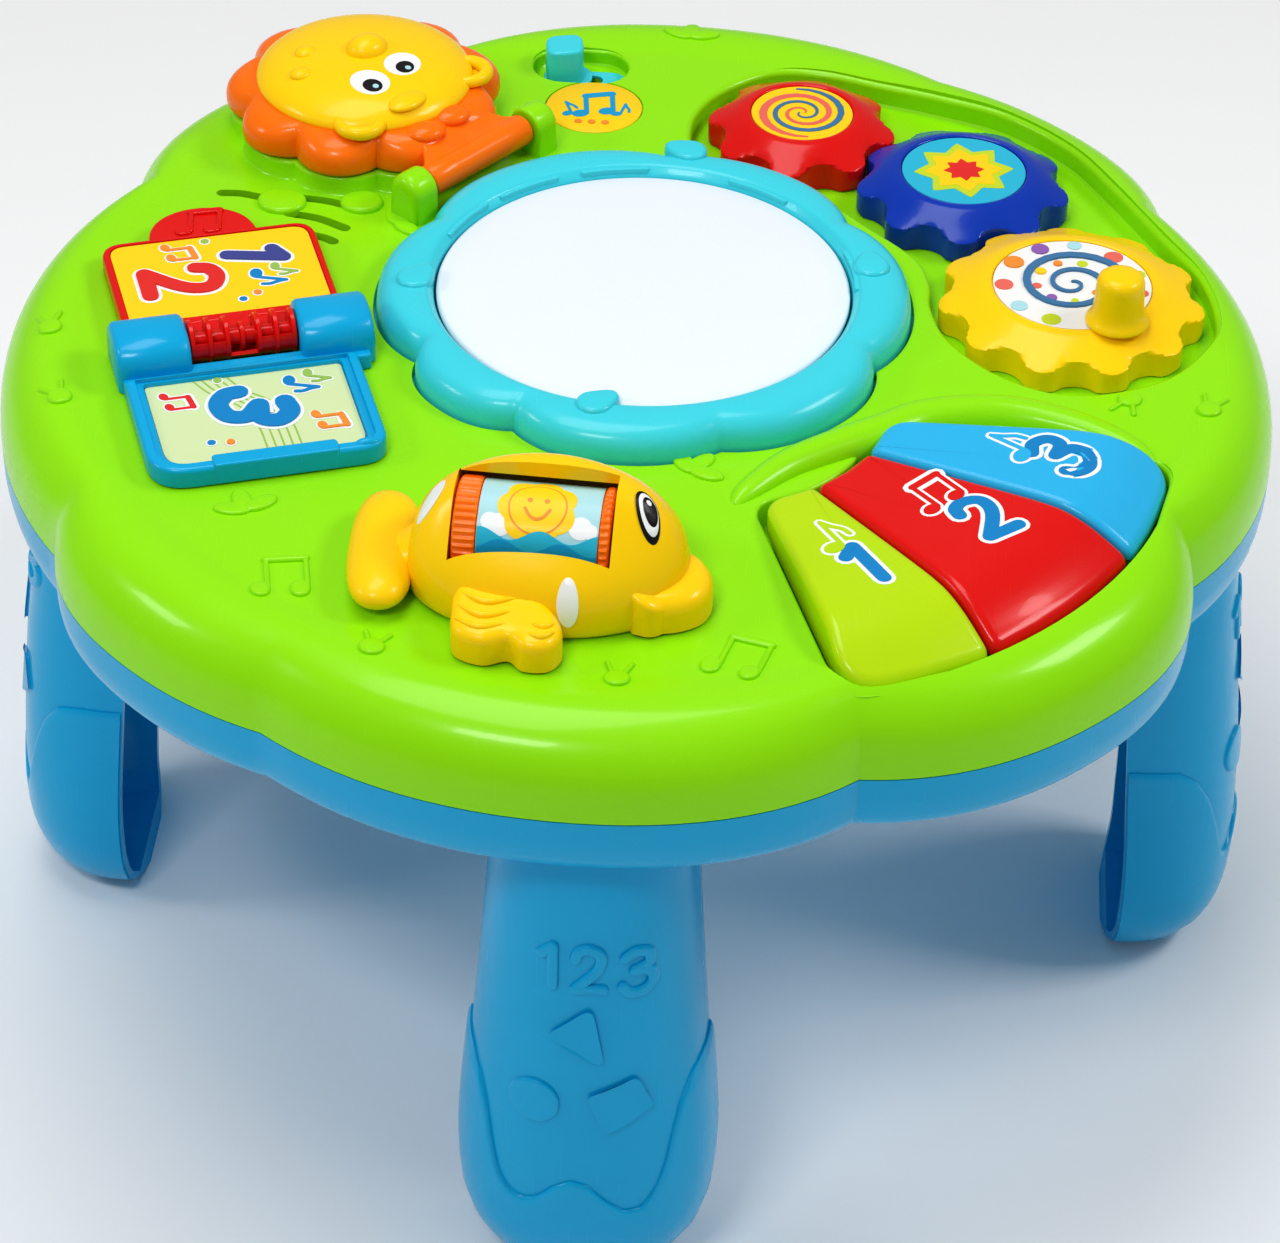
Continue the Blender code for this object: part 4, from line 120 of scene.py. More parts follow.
class TableColours(bpy.types.PropertyGroup):
    lime_plastic: colour_choice("Lime", "Top shell", (0.300, 0.770, 0.003))
    blue_plastic: colour_choice("Blue", "Bottom shell, legs and book tray", (0.002, 0.390, 0.700))
    aqua_plastic: colour_choice("Aqua", "Drum ring and slider", (0.060, 0.640, 0.750))
    orange_plastic: colour_choice("Orange", "Mane and roller ribs", (1.000, 0.190, 0.002))
    yellow_plastic: colour_choice("Yellow", "Fish, lion face and large gear", (1.000, 0.640, 0.002))
    red_plastic: colour_choice("Red", "Small gear, middle key and page", (0.720, 0.006, 0.004))
    royal_plastic: colour_choice("Royal blue", "Middle gear", (0.003, 0.045, 0.420))
    leaf_plastic: colour_choice("Leaf", "Green key", (0.480, 0.720, 0.003))
    white_plastic: colour_choice("White", "Drum head", (0.790, 0.840, 0.900))
    label_paper: colour_choice("Paper", "Base of the labels", (0.860, 0.860, 0.840))
    dome_rubber: colour_choice("Rubber", "Return domes of the keys", (0.520, 0.520, 0.550))
    dark_plastic: colour_choice("Dark plastic", "Switches and speaker", (0.030, 0.030, 0.035))
    board: colour_choice("Board", "Circuit board", (0.015, 0.150, 0.045))
    steel: colour_choice("Steel", "Screws, pins, axles and spring", (0.600, 0.600, 0.620))


# Flat lines: every outline runs anticlockwise and is a list of (x, y) places
def along(angle, distance, start=(0, 0)):
    radians = math.radians(angle)
    return (start[0] + distance * math.cos(radians), start[1] + distance * math.sin(radians))


def turn(point, degrees, about=(0, 0)):
    angle = math.radians(degrees)
    x = point[0] - about[0]
    y = point[1] - about[1]
    return (about[0] + x * math.cos(angle) - y * math.sin(angle),
            about[1] + x * math.sin(angle) + y * math.cos(angle))


def bend_through(spots, index, t):
    """Place between two of four spots on a smooth line."""
    before, first, second, after = (Vector(spots[i % len(spots)]) for i in range(index - 1, index + 3))
    return tuple((first * 2 + (second - before) * t + (before * 2 - first * 5 + second * 4 - after) * t * t
                  + (first * 3 - before - second * 3 + after) * t * t * t) / 2)


def smooth_loop(points, steps):
    line = [bend_through(points, index, step / steps) for index in range(len(points))
            for step in range(steps)]
    area = sum(a[0] * b[1] - b[0] * a[1] for a, b in zip(line, line[1:] + line[:1]))
    return line if area > 0 else line[::-1]


def smooth_line(points, steps):
    spots = [Vector(point) for point in points]
    spots = [spots[0] * 2 - spots[1]] + spots + [spots[-1] * 2 - spots[-2]]
    line = [bend_through(spots, index, step / steps) for index in range(1, len(spots) - 2)
            for step in range(steps)]
    return line + [tuple(spots[-2])]


def grown(points, distance):
    """Each point of the outline moved outward by the same distance."""
    moved = []
    for index, point in enumerate(points):
        after = points[(index + 1) % len(points)]
        way = (Vector(after) - Vector(points[index - 1])).normalized()
        moved.append((point[0] + way.y * distance, point[1] - way.x * distance))
    return moved


def oval(centre, half_x, half_y, heading=0.0, steps=32):
    line = []
    for step in range(steps):
        x, y = along(360 * step / steps, 1)
        line.append(turn((centre[0] + x * half_x, centre[1] + y * half_y), heading, centre))
    return line


def disc(spot, radius, steps=24):
    return oval(spot, radius, radius, 0, steps)


def slot(centre, length, width, heading=0.0, steps=12):
    line = []
    reach = (length - width) / 2
    for side in (1, -1):
        for step in range(steps + 1):
            spot = along(180 * step / steps - 90 * side, width / 2, (centre[0] + side * reach, centre[1]))
            line.append(turn(spot, heading, centre))
    return line


def ribbon(path, width, steps=6, fine=8):
    """Outline of a band with round ends along an open smooth line."""
    line = [Vector(spot) for spot in smooth_line(path, fine)]
    right = []
    left = []
    for index, spot in enumerate(line):
        way = (line[min(index + 1, len(line) - 1)] - line[max(index - 1, 0)]).normalized()
        side = Vector((way.y, -way.x)) * width / 2
        right.append(tuple(spot + side))
        left.append(tuple(spot - side))
    caps = []
    for spot, other in ((line[-1], line[-2]), (line[0], line[1])):
        heading = math.degrees(math.atan2(spot.y - other.y, spot.x - other.x))
        caps.append([along(heading - 90 + 180 * step / steps, width / 2, spot) for step in range(1, steps)])
    return right + caps[0] + left[::-1] + caps[1]


def filleted(corners, steps=7):
    """Outline through corners that carry their own radius of rounding."""
    line = []
    for index, (spot, radius) in enumerate(corners):
        here = Vector(spot)
        if not radius:
            line.append(tuple(here))
            continue
        before = Vector(corners[index - 1][0]) - here
        after = Vector(corners[(index + 1) % len(corners)][0]) - here
        half = before.angle(after) / 2
        reach = min(radius / math.tan(half), before.length * 0.98, after.length * 0.98)
        first = here + before.normalized() * reach
        last = here + after.normalized() * reach
        for step in range(steps + 1):
            part = step / steps
            line.append(tuple(first * (1 - part) ** 2 + here * 2 * part * (1 - part) + last * part ** 2))
    return line


def spread_line(outline, gap):
    """The same closed outline with extra points, so that none is further than the gap from the next."""
    line = []
    for spot, after in zip(outline, outline[1:] + outline[:1]):
        count = max(1, math.ceil((Vector(after) - Vector(spot)).length / gap))
        line += [tuple(Vector(spot).lerp(Vector(after), step / count)) for step in range(count)]
    return line


def lobed(angle, creases, crease_radii, lobe_radii):
    """Radius of a petalled outline at an angle in degrees."""
    for index, start in enumerate(creases):
        after = (index + 1) % len(creases)
        width = (creases[after] - start) % 360
        part = ((angle - start) % 360) / width
        if part < 1:
            notch = crease_radii[index] * (1 - part) + crease_radii[after] * part
            return notch + (lobe_radii[index] - notch) * (1 - abs(2 * part - 1) ** LOBE_POWER)
    return lobe_radii[0]


def lobe_angles(creases, each):
    angles = []
    for index, start in enumerate(creases):
        width = (creases[(index + 1) % len(creases)] - start) % 360
        angles += [start + width * step / each for step in range(each)]
    return angles


def petals(centre, outer, notch, heading, count=9, points=16, power=LOBE_POWER):
    line = []
    for step in range(count * points):
        part = (step % points) / points
        radius = notch + (outer - notch) * (1 - abs(2 * part - 1) ** power)
        line.append(along(360 * step / (count * points) + heading, radius, centre))
    return line


def drum_line(grow, each=28):
    return [along(angle, grow + lobed(angle, DRUM_CREASES, DRUM_CREASE_RADII, DRUM_LOBE_RADII), DRUM_CENTRE)
            for angle in lobe_angles(DRUM_CREASES, each)]


def ring(outline, height):
    return [(x, y, height) for x, y in outline]


def book(across, forward):
    return turn((across, forward), BOOK_TURN)


def blended(rows, place):
    """The other values at a place, from rows that begin with rising places."""
    for lower, upper in zip(rows, rows[1:]):
        if place <= upper[0]:
            part = max(0.0, (place - lower[0]) / (upper[0] - lower[0]))
            return [a + (b - a) * part for a, b in zip(lower[1:], upper[1:])]
    return rows[-1][1:]


# Solids
def skin(rings, closed=False):
    """Body over a row of rings with equal counts, with a face over each end unless it is closed."""
    bm = bmesh.new()
    corners = [bm.verts.new(spot) for spot in rings[0]]
    first = loop = [bm.edges.new(pair) for pair in zip(corners, corners[1:] + corners[:1])]
    for spots in rings[1:] + ([rings[0]] if closed else []):
        grown_part = bmesh.ops.extrude_edge_only(bm, edges=loop)["geom"]
        fresh = {item for item in grown_part if isinstance(item, bmesh.types.BMVert)}
        corners = [next(edge.other_vert(corner) for edge in corner.link_edges
                        if edge.other_vert(corner) in fresh) for corner in corners]
        for corner, spot in zip(corners, spots):
            corner.co = spot
        loop = [bm.edges.get(pair) for pair in zip(corners, corners[1:] + corners[:1])]
    if closed:
        bmesh.ops.remove_doubles(bm, verts=bm.verts, dist=0.0000005)
    else:
        for edges in (first, loop):
            bmesh.ops.edgeloop_fill(bm, edges=edges)
    bmesh.ops.recalc_face_normals(bm, faces=bm.faces)
    return bm


def quarter(radius, steps):
    """Legs of the turning radius of a rounded edge: along the level and upright, from its foot up."""
    angles = [math.pi / 2 * step / steps for step in range(steps + 1)]
    return [(radius * math.cos(angle), radius * math.sin(angle)) for angle in angles]


def rounded_rings(outline, low, high, edge, foot=0.0):
    """Rings of a slab with a rounded top edge, and a rounded foot if one is given."""
    rings = [ring(outline, low)]
    if foot:
        rings = [ring(grown(outline, rise - foot), low + foot - out)
                 for out, rise in quarter(foot, EDGE_STEPS)]
    rings += [ring(grown(outline, out - edge), high - edge + rise) for out, rise in quarter(edge, EDGE_STEPS)]
    rings.append(ring(grown(outline, -edge - min(edge, EDGE_LIP)), high))
    return rings


def slab(outline, low, high, edge=0.0, foot=0.0):
    """Plate with the given outline between two heights."""
    if edge:
        return skin(rounded_rings(outline, low, high, edge, foot))
    return skin([ring(outline, low), ring(outline, high)])


def crowned(outline, low, height_of, edge, shares):
    """Upright side, rounded edge and a top whose height at each place comes from height_of."""
    rings = [ring(outline, low)]
    for out, rise in quarter(edge, EDGE_STEPS):
        rings.append([(x, y, height_of(x, y) - edge + rise) for x, y in grown(outline, out - edge)])
    last = grown(outline, -edge)
    centre = (sum(x for x, y in last) / len(last), sum(y for x, y in last) / len(last))
    for share in shares:
        line = [(centre[0] + (x - centre[0]) * share, centre[1] + (y - centre[1]) * share) for x, y in last]
        rings.append([(x, y, height_of(x, y)) for x, y in line])
    return skin(rings)


def lathe(profile, centre, steps):
    """Profile of (radius, height) spots spun once round the upright line at centre."""
    bm = bmesh.new()
    spots = [bm.verts.new((centre[0] + radius, centre[1], height)) for radius, height in profile]
    edges = [bm.edges.new(pair) for pair in zip(spots, spots[1:])]
    bmesh.ops.spin(bm, geom=spots + edges, cent=(*centre, 0), axis=(0, 0, 1), angle=math.tau, steps=steps,
                   use_merge=True)
    bmesh.ops.remove_doubles(bm, verts=bm.verts, dist=WELD)
    bmesh.ops.recalc_face_normals(bm, faces=bm.faces)
    return bm


def rod(start, end, radius, steps=24):
    """Straight round bar between two spots."""
    bm = bmesh.new()
    line = Vector(end) - Vector(start)
    spin = line.to_track_quat("Z", "Y").to_matrix().to_4x4()
    middle = Matrix.Translation((Vector(start) + Vector(end)) / 2)
    bmesh.ops.create_cone(bm, cap_ends=True, segments=steps, radius1=radius, radius2=radius,
                          depth=line.length, matrix=middle @ spin)
    return bm


def ball(centre, radii, heading):
    """Egg shape with the given half sizes."""
    bm = bmesh.new()
    bmesh.ops.create_uvsphere(bm, u_segments=40, v_segments=20, radius=1)
    spin = Matrix.Rotation(math.radians(heading), 4, "Z")
    bmesh.ops.transform(bm, matrix=Matrix.Translation(centre) @ spin @ Matrix.Diagonal((*radii, 1)),
                        verts=bm.verts)
    return bm


def tube(path, radii, steps, flatten=1.0):
    """Round bar along a bent line, with its own radius at each spot and rounded ends."""
    spots = [Vector(spot) for spot in path]
    rings = []
    for index, spot in enumerate(spots):
        way = (spots[min(index + 1, len(spots) - 1)] - spots[max(index - 1, 0)]).normalized()
        side = way.cross(Vector((0, 0, 1))).normalized()
        up = side.cross(way)
        circle = []
        for step in range(steps):
            x, y = along(360 * step / steps, radii[index])
            circle.append(spot + side * x + up * y * flatten)
        rings.append(circle)
    return skin(rings)


def merged(*parts):
    """One bmesh that holds all the parts."""
    whole = bmesh.new()
    for part in parts:
        mesh = bpy.data.meshes.new("part")
        part.to_mesh(mesh)
        part.free()
        whole.from_mesh(mesh)
        bpy.data.meshes.remove(mesh)
    return whole


def mesh_object(name, bm):
    mesh = bpy.data.meshes.new(name)
    bm.to_mesh(mesh)
    bm.free()
    thing = bpy.data.objects.new(name, mesh)
    bpy.context.scene.collection.objects.link(thing)
    return thing


def carved(bm, added=(), removed=()):
    """The body joined with some solids, then cut by others, as one bmesh."""
    start = bm.calc_volume()
    thing = mesh_object("carved", bm)
    helpers = []
    for operation, solids in (("UNION", added), ("DIFFERENCE", removed)):
        for solid in solids:
            helper = mesh_object("helper", solid)
            helpers.append(helper)
            change = thing.modifiers.new("change", "BOOLEAN")
            change.operation = operation
            change.solver = "EXACT"
            change.object = helper
    bpy.context.view_layer.update()
    graph = bpy.context.evaluated_depsgraph_get()
    mesh = bpy.data.meshes.new_from_object(thing.evaluated_get(graph))
    whole = bmesh.new()
    whole.from_mesh(mesh)
    bmesh.ops.remove_doubles(whole, verts=whole.verts, dist=WELD)
    bpy.data.meshes.remove(mesh)
    if whole.calc_volume() < start / 20:
        raise ValueError("a carved body has lost its volume")
    for helper in helpers + [thing]:
        spare = helper.data
        bpy.data.objects.remove(helper)
        bpy.data.meshes.remove(spare)
    return whole


def finished(name, bm, body, finish, *stands_for, angle=38.0, even=False):
    """Give a piece its finish, smooth its shading and let it ride on its body."""
    thing = mesh_object(name, bm)
    mesh = thing.data
    mesh.materials.clear()
    mesh.materials.append(finish_of(finish))
    mesh.shade_smooth()
    mesh.set_sharp_from_angle(angle=math.radians(angle))
    if even:
        thing.modifiers.new("even shading", "WEIGHTED_NORMAL").keep_sharp = True
    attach(thing, body)
    if stands_for:
        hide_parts(*stands_for)


# Raised and printed shapes
def bulging(outline):
    """Whether no side of an outline is hollow."""
    spots = [Vector(spot) for spot in outline]
    ways = [after - spot for spot, after in zip(spots, spots[1:] + spots[:1])]
    return all(way.cross(after) > -1e-12 for way, after in zip(ways, ways[1:] + ways[:1]))


def draped(outline, place, low, high, edge=0.0):
    """Shape that follows a surface: place(u, v, lift) gives the spot over the surface."""
    rings = [[place(u, v, low) for u, v in outline]]
    line = outline
    for out, rise in quarter(edge, 4) if edge else ((0.0, 0.0),):
        line = grown(outline, out - edge) if edge else outline
        rings.append([place(u, v, high - edge + rise) for u, v in line])
    if bulging(line):
        centre = sum((Vector(spot) for spot in line), Vector((0, 0))) / len(line)
        for share in (0.75, 0.5, 0.25):
            rings.append([place(*centre.lerp(Vector(spot), share), high) for spot in line])
    return skin(rings)


def level_at(height):
    """Places on a level face for draped shapes."""
    return lambda x, y, lift: (x, y, height + lift)


def over(height_of):
    """Places on a face whose height at each place comes from height_of."""
    return lambda x, y, lift: (x, y, height_of(x, y) + lift)


def printed(name, body, place, layers):
    """Thin ink shapes in layers from the lowest to the top, one object for each ink."""
    ink = bpy.context.scene.table_sizes.ink
    by_ink = {}
    for level, (colour, outlines) in enumerate(layers):
        for order, outline in enumerate(outlines):
            lift = ink * (level + 1) + order * ink / 40
            by_ink.setdefault(colour, []).append(draped(outline, place, -INK_ROOT, lift))
    for colour, parts in by_ink.items():
        finished(name + colour.replace("ink_", ""), merged(*parts), body, colour, angle=60)


# Strokes of the numerals in a box one unit high
NUMERALS = {
    1: (((0.10, 0.76), (0.34, 0.98)), ((0.34, 0.98), (0.34, 0.02))),
    2: (((0.04, 0.74), (0.10, 0.92), (0.30, 1.0), (0.52, 0.90), (0.55, 0.68), (0.42, 0.42), (0.05, 0.02)),
        ((0.05, 0.02), (0.60, 0.02))),
    3: (((0.05, 0.86), (0.26, 1.0), (0.50, 0.91), (0.51, 0.67), (0.23, 0.54)),
        ((0.23, 0.54), (0.53, 0.47), (0.60, 0.22), (0.40, 0.01), (0.14, 0.02), (0.01, 0.17))),
}


def numeral(number, corner, size, heading, width, grow=0.0):
    """Outlines of the strokes of a numeral whose foot starts at the corner."""
    outlines = []
    for stroke in NUMERALS[number]:
        path = [turn((corner[0] + x * size, corner[1] + y * size), heading, corner) for x, y in stroke]
        outlines.append(ribbon(path, width + 2 * grow))
    return outlines


def tune(kind, spot, size, heading, grow=0.0):
    """Outlines of a quaver, or of a pair of quavers under a beam, centred on the spot."""
    def at(x, y):
        return turn((spot[0] + x * size, spot[1] + y * size), heading, spot)

    width = size * 0.13 + 2 * grow
    if kind == "pair":
        return [oval(at(-0.36, -0.42), size * 0.21 + grow, size * 0.16 + grow, heading + 15, 20),
                oval(at(0.30, -0.32), size * 0.21 + grow, size * 0.16 + grow, heading + 15, 20),
                ribbon([at(-0.20, -0.40), at(-0.20, 0.40)], width, 4, 2),
                ribbon([at(0.46, -0.30), at(0.46, 0.50)], width, 4, 2),
                ribbon([at(-0.20, 0.40), at(0.46, 0.50)], width * 1.6, 4, 2)]
    return [oval(at(-0.12, -0.42), size * 0.24 + grow, size * 0.18 + grow, heading + 15, 20),
            ribbon([at(0.06, -0.40), at(0.06, 0.48)], width, 4, 2),
            ribbon([at(0.06, 0.46), at(0.19, 0.25), at(0.33, 0.08), at(0.38, -0.12)], width, 4, 4)]


# Finishes: slot, roughness, coat, bump, how much the tone drifts, metal
FINISHES = {
    "lime_plastic": (0.26, 0.45, 0.10, 0.06, 0),
    "blue_plastic": (0.25, 0.45, 0.10, 0.06, 0),
    "aqua_plastic": (0.26, 0.40, 0.10, 0.05, 0),
    "orange_plastic": (0.25, 0.45, 0.08, 0.06, 0),
    "yellow_plastic": (0.27, 0.40, 0.10, 0.05, 0),
    "red_plastic": (0.22, 0.50, 0.08, 0.06, 0),
    "royal_plastic": (0.20, 0.50, 0.08, 0.08, 0),
    "leaf_plastic": (0.26, 0.45, 0.08, 0.05, 0),
    "white_plastic": (0.55, 0.05, 0.30, 0.04, 0),
    "label_paper": (0.38, 0.20, 0.16, 0.03, 0),
    "dome_rubber": (0.70, 0.00, 0.40, 0.10, 0),
    "dark_plastic": (0.45, 0.05, 0.30, 0.15, 0),
    "board": (0.40, 0.25, 0.20, 0.15, 0),
    "steel": (0.30, 0.00, 0.15, 0.08, 1.0),
}
# Printed inks and their colours
INKS = {
    "ink_white": (0.88, 0.90, 0.90), "ink_blue": (0.006, 0.240, 0.560), "ink_navy": (0.060, 0.075, 0.290),
    "ink_sky": (0.010, 0.340, 0.620), "ink_red": (0.730, 0.030, 0.025), "ink_orange": (0.850, 0.290, 0.040),
    "ink_green": (0.330, 0.520, 0.110), "ink_yellow": (1.000, 0.640, 0.010),
    "ink_mint": (0.640, 0.760, 0.420), "ink_black": (0.010, 0.008, 0.010),
    "ink_purple": (0.290, 0.130, 0.440), "ink_lime": (0.560, 0.680, 0.030),
    "ink_cyan": (0.030, 0.470, 0.660), "ink_rose": (0.800, 0.160, 0.120), "ink_steel": (0.060, 0.190, 0.370),
    "ink_pale": (0.420, 0.710, 0.760), "ink_azure": (0.030, 0.460, 0.800),
}
SLOTS = {ink: "label_paper" for ink in INKS}
SLOTS["ink_azure"] = "blue_plastic"


def new_group(name, inputs, outputs):
    group = bpy.data.node_groups.new(name, "ShaderNodeTree")
    for label, kind, value in inputs:
        group.interface.new_socket(label, in_out="INPUT", socket_type=kind).default_value = value
    for label, kind in outputs:
        group.interface.new_socket(label, in_out="OUTPUT", socket_type=kind)
    return group, group.nodes.new("NodeGroupInput"), group.nodes.new("NodeGroupOutput")


def noise(group, links, place, scale, detail):
    node = group.nodes.new("ShaderNodeTexNoise")
    node.inputs["Scale"].default_value = scale
    node.inputs["Detail"].default_value = detail
    links.new(place, node.inputs["Vector"])
    return node.outputs["Fac"]


def sums(group, links, operation, first, second, third=None):
    node = group.nodes.new("ShaderNodeMath")
    node.operation = operation
    for socket, value in zip(node.inputs, (first, second, third)):
        if isinstance(value, bpy.types.NodeSocket):
            links.new(value, socket)
        elif value is not None:
            socket.default_value = value
    return node.outputs["Value"]


def moulded_group():
    """Drift of tone, rubbed patches, hair scratches and settled dust of moulded plastic."""
    ready = bpy.data.node_groups.get("moulded_surface")
    if ready:
        return ready
    group, inside, outside = new_group(
        "moulded_surface",
        (("Colour", "NodeSocketColor", (0.5, 0.5, 0.5, 1.0)), ("Gloss", "NodeSocketFloat", 0.25),
         ("Drift", "NodeSocketFloat", 0.05), ("Scratches", "NodeSocketFloat", 0.06),
         ("Dust", "NodeSocketFloat", 0.010)),
        (("Colour", "NodeSocketColor"), ("Roughness", "NodeSocketFloat"), ("Height", "NodeSocketFloat")))
    links = group.links
    spot = group.nodes.new("ShaderNodeTexCoord").outputs["Object"]
    soft = noise(group, links, spot, 14, 2)
    rubbed = noise(group, links, spot, 55, 4)
    grain = noise(group, links, spot, 1400, 2)
    stretch = group.nodes.new("ShaderNodeMapping")
    stretch.inputs["Rotation"].default_value = (0.3, 0.2, 0.7)
    stretch.inputs["Scale"].default_value = (2600, 60, 60)
    links.new(spot, stretch.inputs["Vector"])
    hairs = noise(group, links, stretch.outputs["Vector"], 1, 3)
    line = sums(group, links, "GREATER_THAN", hairs, 0.70)
    line = sums(group, links, "MULTIPLY", line, inside.outputs["Scratches"])
    tone = sums(group, links, "SUBTRACT", soft, 0.5)
    tone = sums(group, links, "MULTIPLY_ADD", tone, inside.outputs["Drift"], 1.0)
    shade = group.nodes.new("ShaderNodeHueSaturation")
    links.new(tone, shade.inputs["Value"])
    links.new(inside.outputs["Colour"], shade.inputs["Color"])
    facing = group.nodes.new("ShaderNodeSeparateXYZ")
    links.new(group.nodes.new("ShaderNodeNewGeometry").outputs["Normal"], facing.inputs["Vector"])
    upward = sums(group, links, "POWER", sums(group, links, "MAXIMUM", facing.outputs["Z"], 0.0), 3.0)
    dust = sums(group, links, "MULTIPLY", upward, rubbed)
    dust = sums(group, links, "MULTIPLY", dust, inside.outputs["Dust"])
    mix = group.nodes.new("ShaderNodeMix")
    mix.data_type = "RGBA"
    links.new(dust, mix.inputs["Factor"])
    links.new(shade.outputs["Color"], mix.inputs["A"])
    mix.inputs["B"].default_value = (0.80, 0.78, 0.74, 1.0)
    links.new(mix.outputs["Result"], outside.inputs["Colour"])
    rough = sums(group, links, "MULTIPLY_ADD", sums(group, links, "SUBTRACT", rubbed, 0.5), 0.10,
                 inside.outputs["Gloss"])
    links.new(sums(group, links, "ADD", rough, line), outside.inputs["Roughness"])
    links.new(grain, outside.inputs["Height"])
    return group


def moulded(name, colour, gloss, coat, bump, drift, metal):
    """A moulded finish with the shared surface group feeding its shader."""
    made = bpy.data.materials.new(name)
    made.use_nodes = True
    nodes = made.node_tree.nodes
    links = made.node_tree.links
    shader = nodes["Principled BSDF"]
    surface = nodes.new("ShaderNodeGroup")
    surface.node_tree = moulded_group()
    surface.inputs["Colour"].default_value = (*colour, 1.0)
    surface.inputs["Gloss"].default_value = gloss
    surface.inputs["Drift"].default_value = drift
    links.new(surface.outputs["Colour"], shader.inputs["Base Color"])
    links.new(surface.outputs["Roughness"], shader.inputs["Roughness"])
    relief = nodes.new("ShaderNodeBump")
    relief.inputs["Strength"].default_value = bump
    relief.inputs["Distance"].default_value = 0.0001
    links.new(surface.outputs["Height"], relief.inputs["Height"])
    links.new(relief.outputs["Normal"], shader.inputs["Normal"])
    shader.inputs["Specular IOR Level"].default_value = 0.5 if metal else 0.22
    shader.inputs["Coat Weight"].default_value = coat * 0.35
    shader.inputs["Coat Roughness"].default_value = 0.06
    shader.inputs["Metallic"].default_value = metal
    return made


def finish_of(slot_name):
    """The finish of a slot or ink, made when it is first asked for."""
    label = slot_name + "_finish"
    ready = bpy.data.materials.get(label)
    if ready:
        return ready
    if slot_name == "ink_azure":
        return moulded(label, INKS[slot_name], *FINISHES["blue_plastic"])
    if slot_name in INKS:
        return moulded(label, INKS[slot_name], 0.36, 0.20, 0.12, 0.04, 0)
    colour = getattr(bpy.context.scene.table_colours, slot_name)
    return moulded(label, colour, *FINISHES[slot_name])


# Rim profile: inset and rise in metres, then how far the creases have faded
RIM_OUTER = (
    (0.0000, 0.0000, 0), (0.0004, 0.0070, 0), (0.0022, 0.0126, 0.05), (0.0060, 0.0174, 0.15),
    (0.0110, 0.0202, 0.4), (0.0170, 0.0210, 0.7), (0.0260, 0.0200, 1.0),
)
RIM_INNER = (
    (0.0025, -0.0025, 0), (0.0025, 0.0000, 0), (0.0029, 0.0065, 0), (0.0055, 0.0115, 0.05),
    (0.0090, 0.0150, 0.2), (0.0170, 0.0175, 0.7), (0.0260, 0.0175, 1.0),
)
# Blue band: inset and rise in metres from the seam
BAND_OUTER = (
    (0.0000, -0.0003), (0.0001, -0.0045), (0.0003, -0.0080), (0.0012, -0.0122), (0.0031, -0.0150),
    (0.0060, -0.0160),
)
BAND_INNER = (
    (0.0025, 0.0010), (0.0028, -0.0080), (0.0046, -0.0115), (0.0070, -0.0132), (0.0090, -0.0135),
)
# Outline of the gear recess, lines of the speaker slots and of the ridge
RECESS = (
    (0.0095, 0.0853), (0.0228, 0.0772), (0.0405, 0.0682), (0.0546, 0.0546), (0.0665, 0.0415),
    (0.0700, 0.0305), (0.0704, 0.0205), (0.0748, 0.0068), (0.0858, -0.0060), (0.0994, -0.0131),
    (0.1124, -0.0124), (0.1274, -0.0047), (0.1372, 0.0092), (0.1400, 0.0210), (0.1365, 0.0398),
    (0.1272, 0.0569), (0.1149, 0.0800), (0.1044, 0.0970), (0.0881, 0.1115), (0.0704, 0.1187),
    (0.0535, 0.1236), (0.0400, 0.1276), (0.0277, 0.1274), (0.0173, 0.1201), (0.0100, 0.1100),
    (0.0070, 0.0980),
)
SLOT_LINES = (
    ((-0.1091, 0.0536), (-0.1045, 0.0538), (-0.1000, 0.0528)),
    ((-0.0928, 0.0536), (-0.0820, 0.0524), (-0.0725, 0.0488)),
    ((-0.0911, 0.0458), (-0.0835, 0.0442), (-0.0764, 0.0405)),
    ((-0.0838, 0.0364), (-0.0810, 0.0356), (-0.0786, 0.0342)),
)
RIDGE = (
    (0.0265, -0.0665), (0.0304, -0.0599), (0.0387, -0.0497), (0.0514, -0.0403), (0.0605, -0.0345),
    (0.0705, -0.0276), (0.0874, -0.0239), (0.1042, -0.0271), (0.1170, -0.0337), (0.1240, -0.0400),
)
# Key well: near and far wall from the centre of the fan, then its two headings
WELL = (0.0384, 0.1100, -71.5, -5.6)
WELL_WALL = 0.0022
WELL_PLAY = 0.0007
WELL_FOOT = 0.0006
MOUTH_TOP = 0.178
LID_WELL = 0.027
# Middles of the slider dish, slider, round disc, posts, opening for the cells and screw bosses
OVAL = (-0.0240, 0.1250)
SLIDER = (-0.0283, 0.1240)
ROUND_LABEL = (-0.0190, 0.1046)
BOARD_POSTS = ((-0.105, -0.040), (-0.105, 0.008), (-0.051, -0.040), (-0.051, 0.008))
DOOR_OPENING = ((-0.0251, -0.0921), (0.0251, -0.0921), (0.0251, -0.0279), (-0.0251, -0.0279))
BOSSES = ((0.1175, 0.0428), (-0.1175, 0.0428), (-0.0958, -0.0803), (0.0958, -0.0803))
HINGE = along(LION_TURN, 0.0388, LION)
HINGE_LINE = LION_TURN + 90
HINGE_HEIGHT = 0.1772
# Ears of the hinge: distance from its middle, half width, foot and thickness
EAR_REACH = 0.0224
EAR_HALF = 0.0052
EAR_FOOT = 0.1688
EAR_THICK = 0.0078


def rim_radius(angle, row):
    """Radius of the table at an angle for a row of its profile, whose third value fades the creases."""
    fade = max(0.0, min(1.0, row[2]))
    return lobed(angle, CREASES, CREASE_RADII, LOBE_RADII) * (1 - fade) + MEAN_RADIUS * fade - row[0]


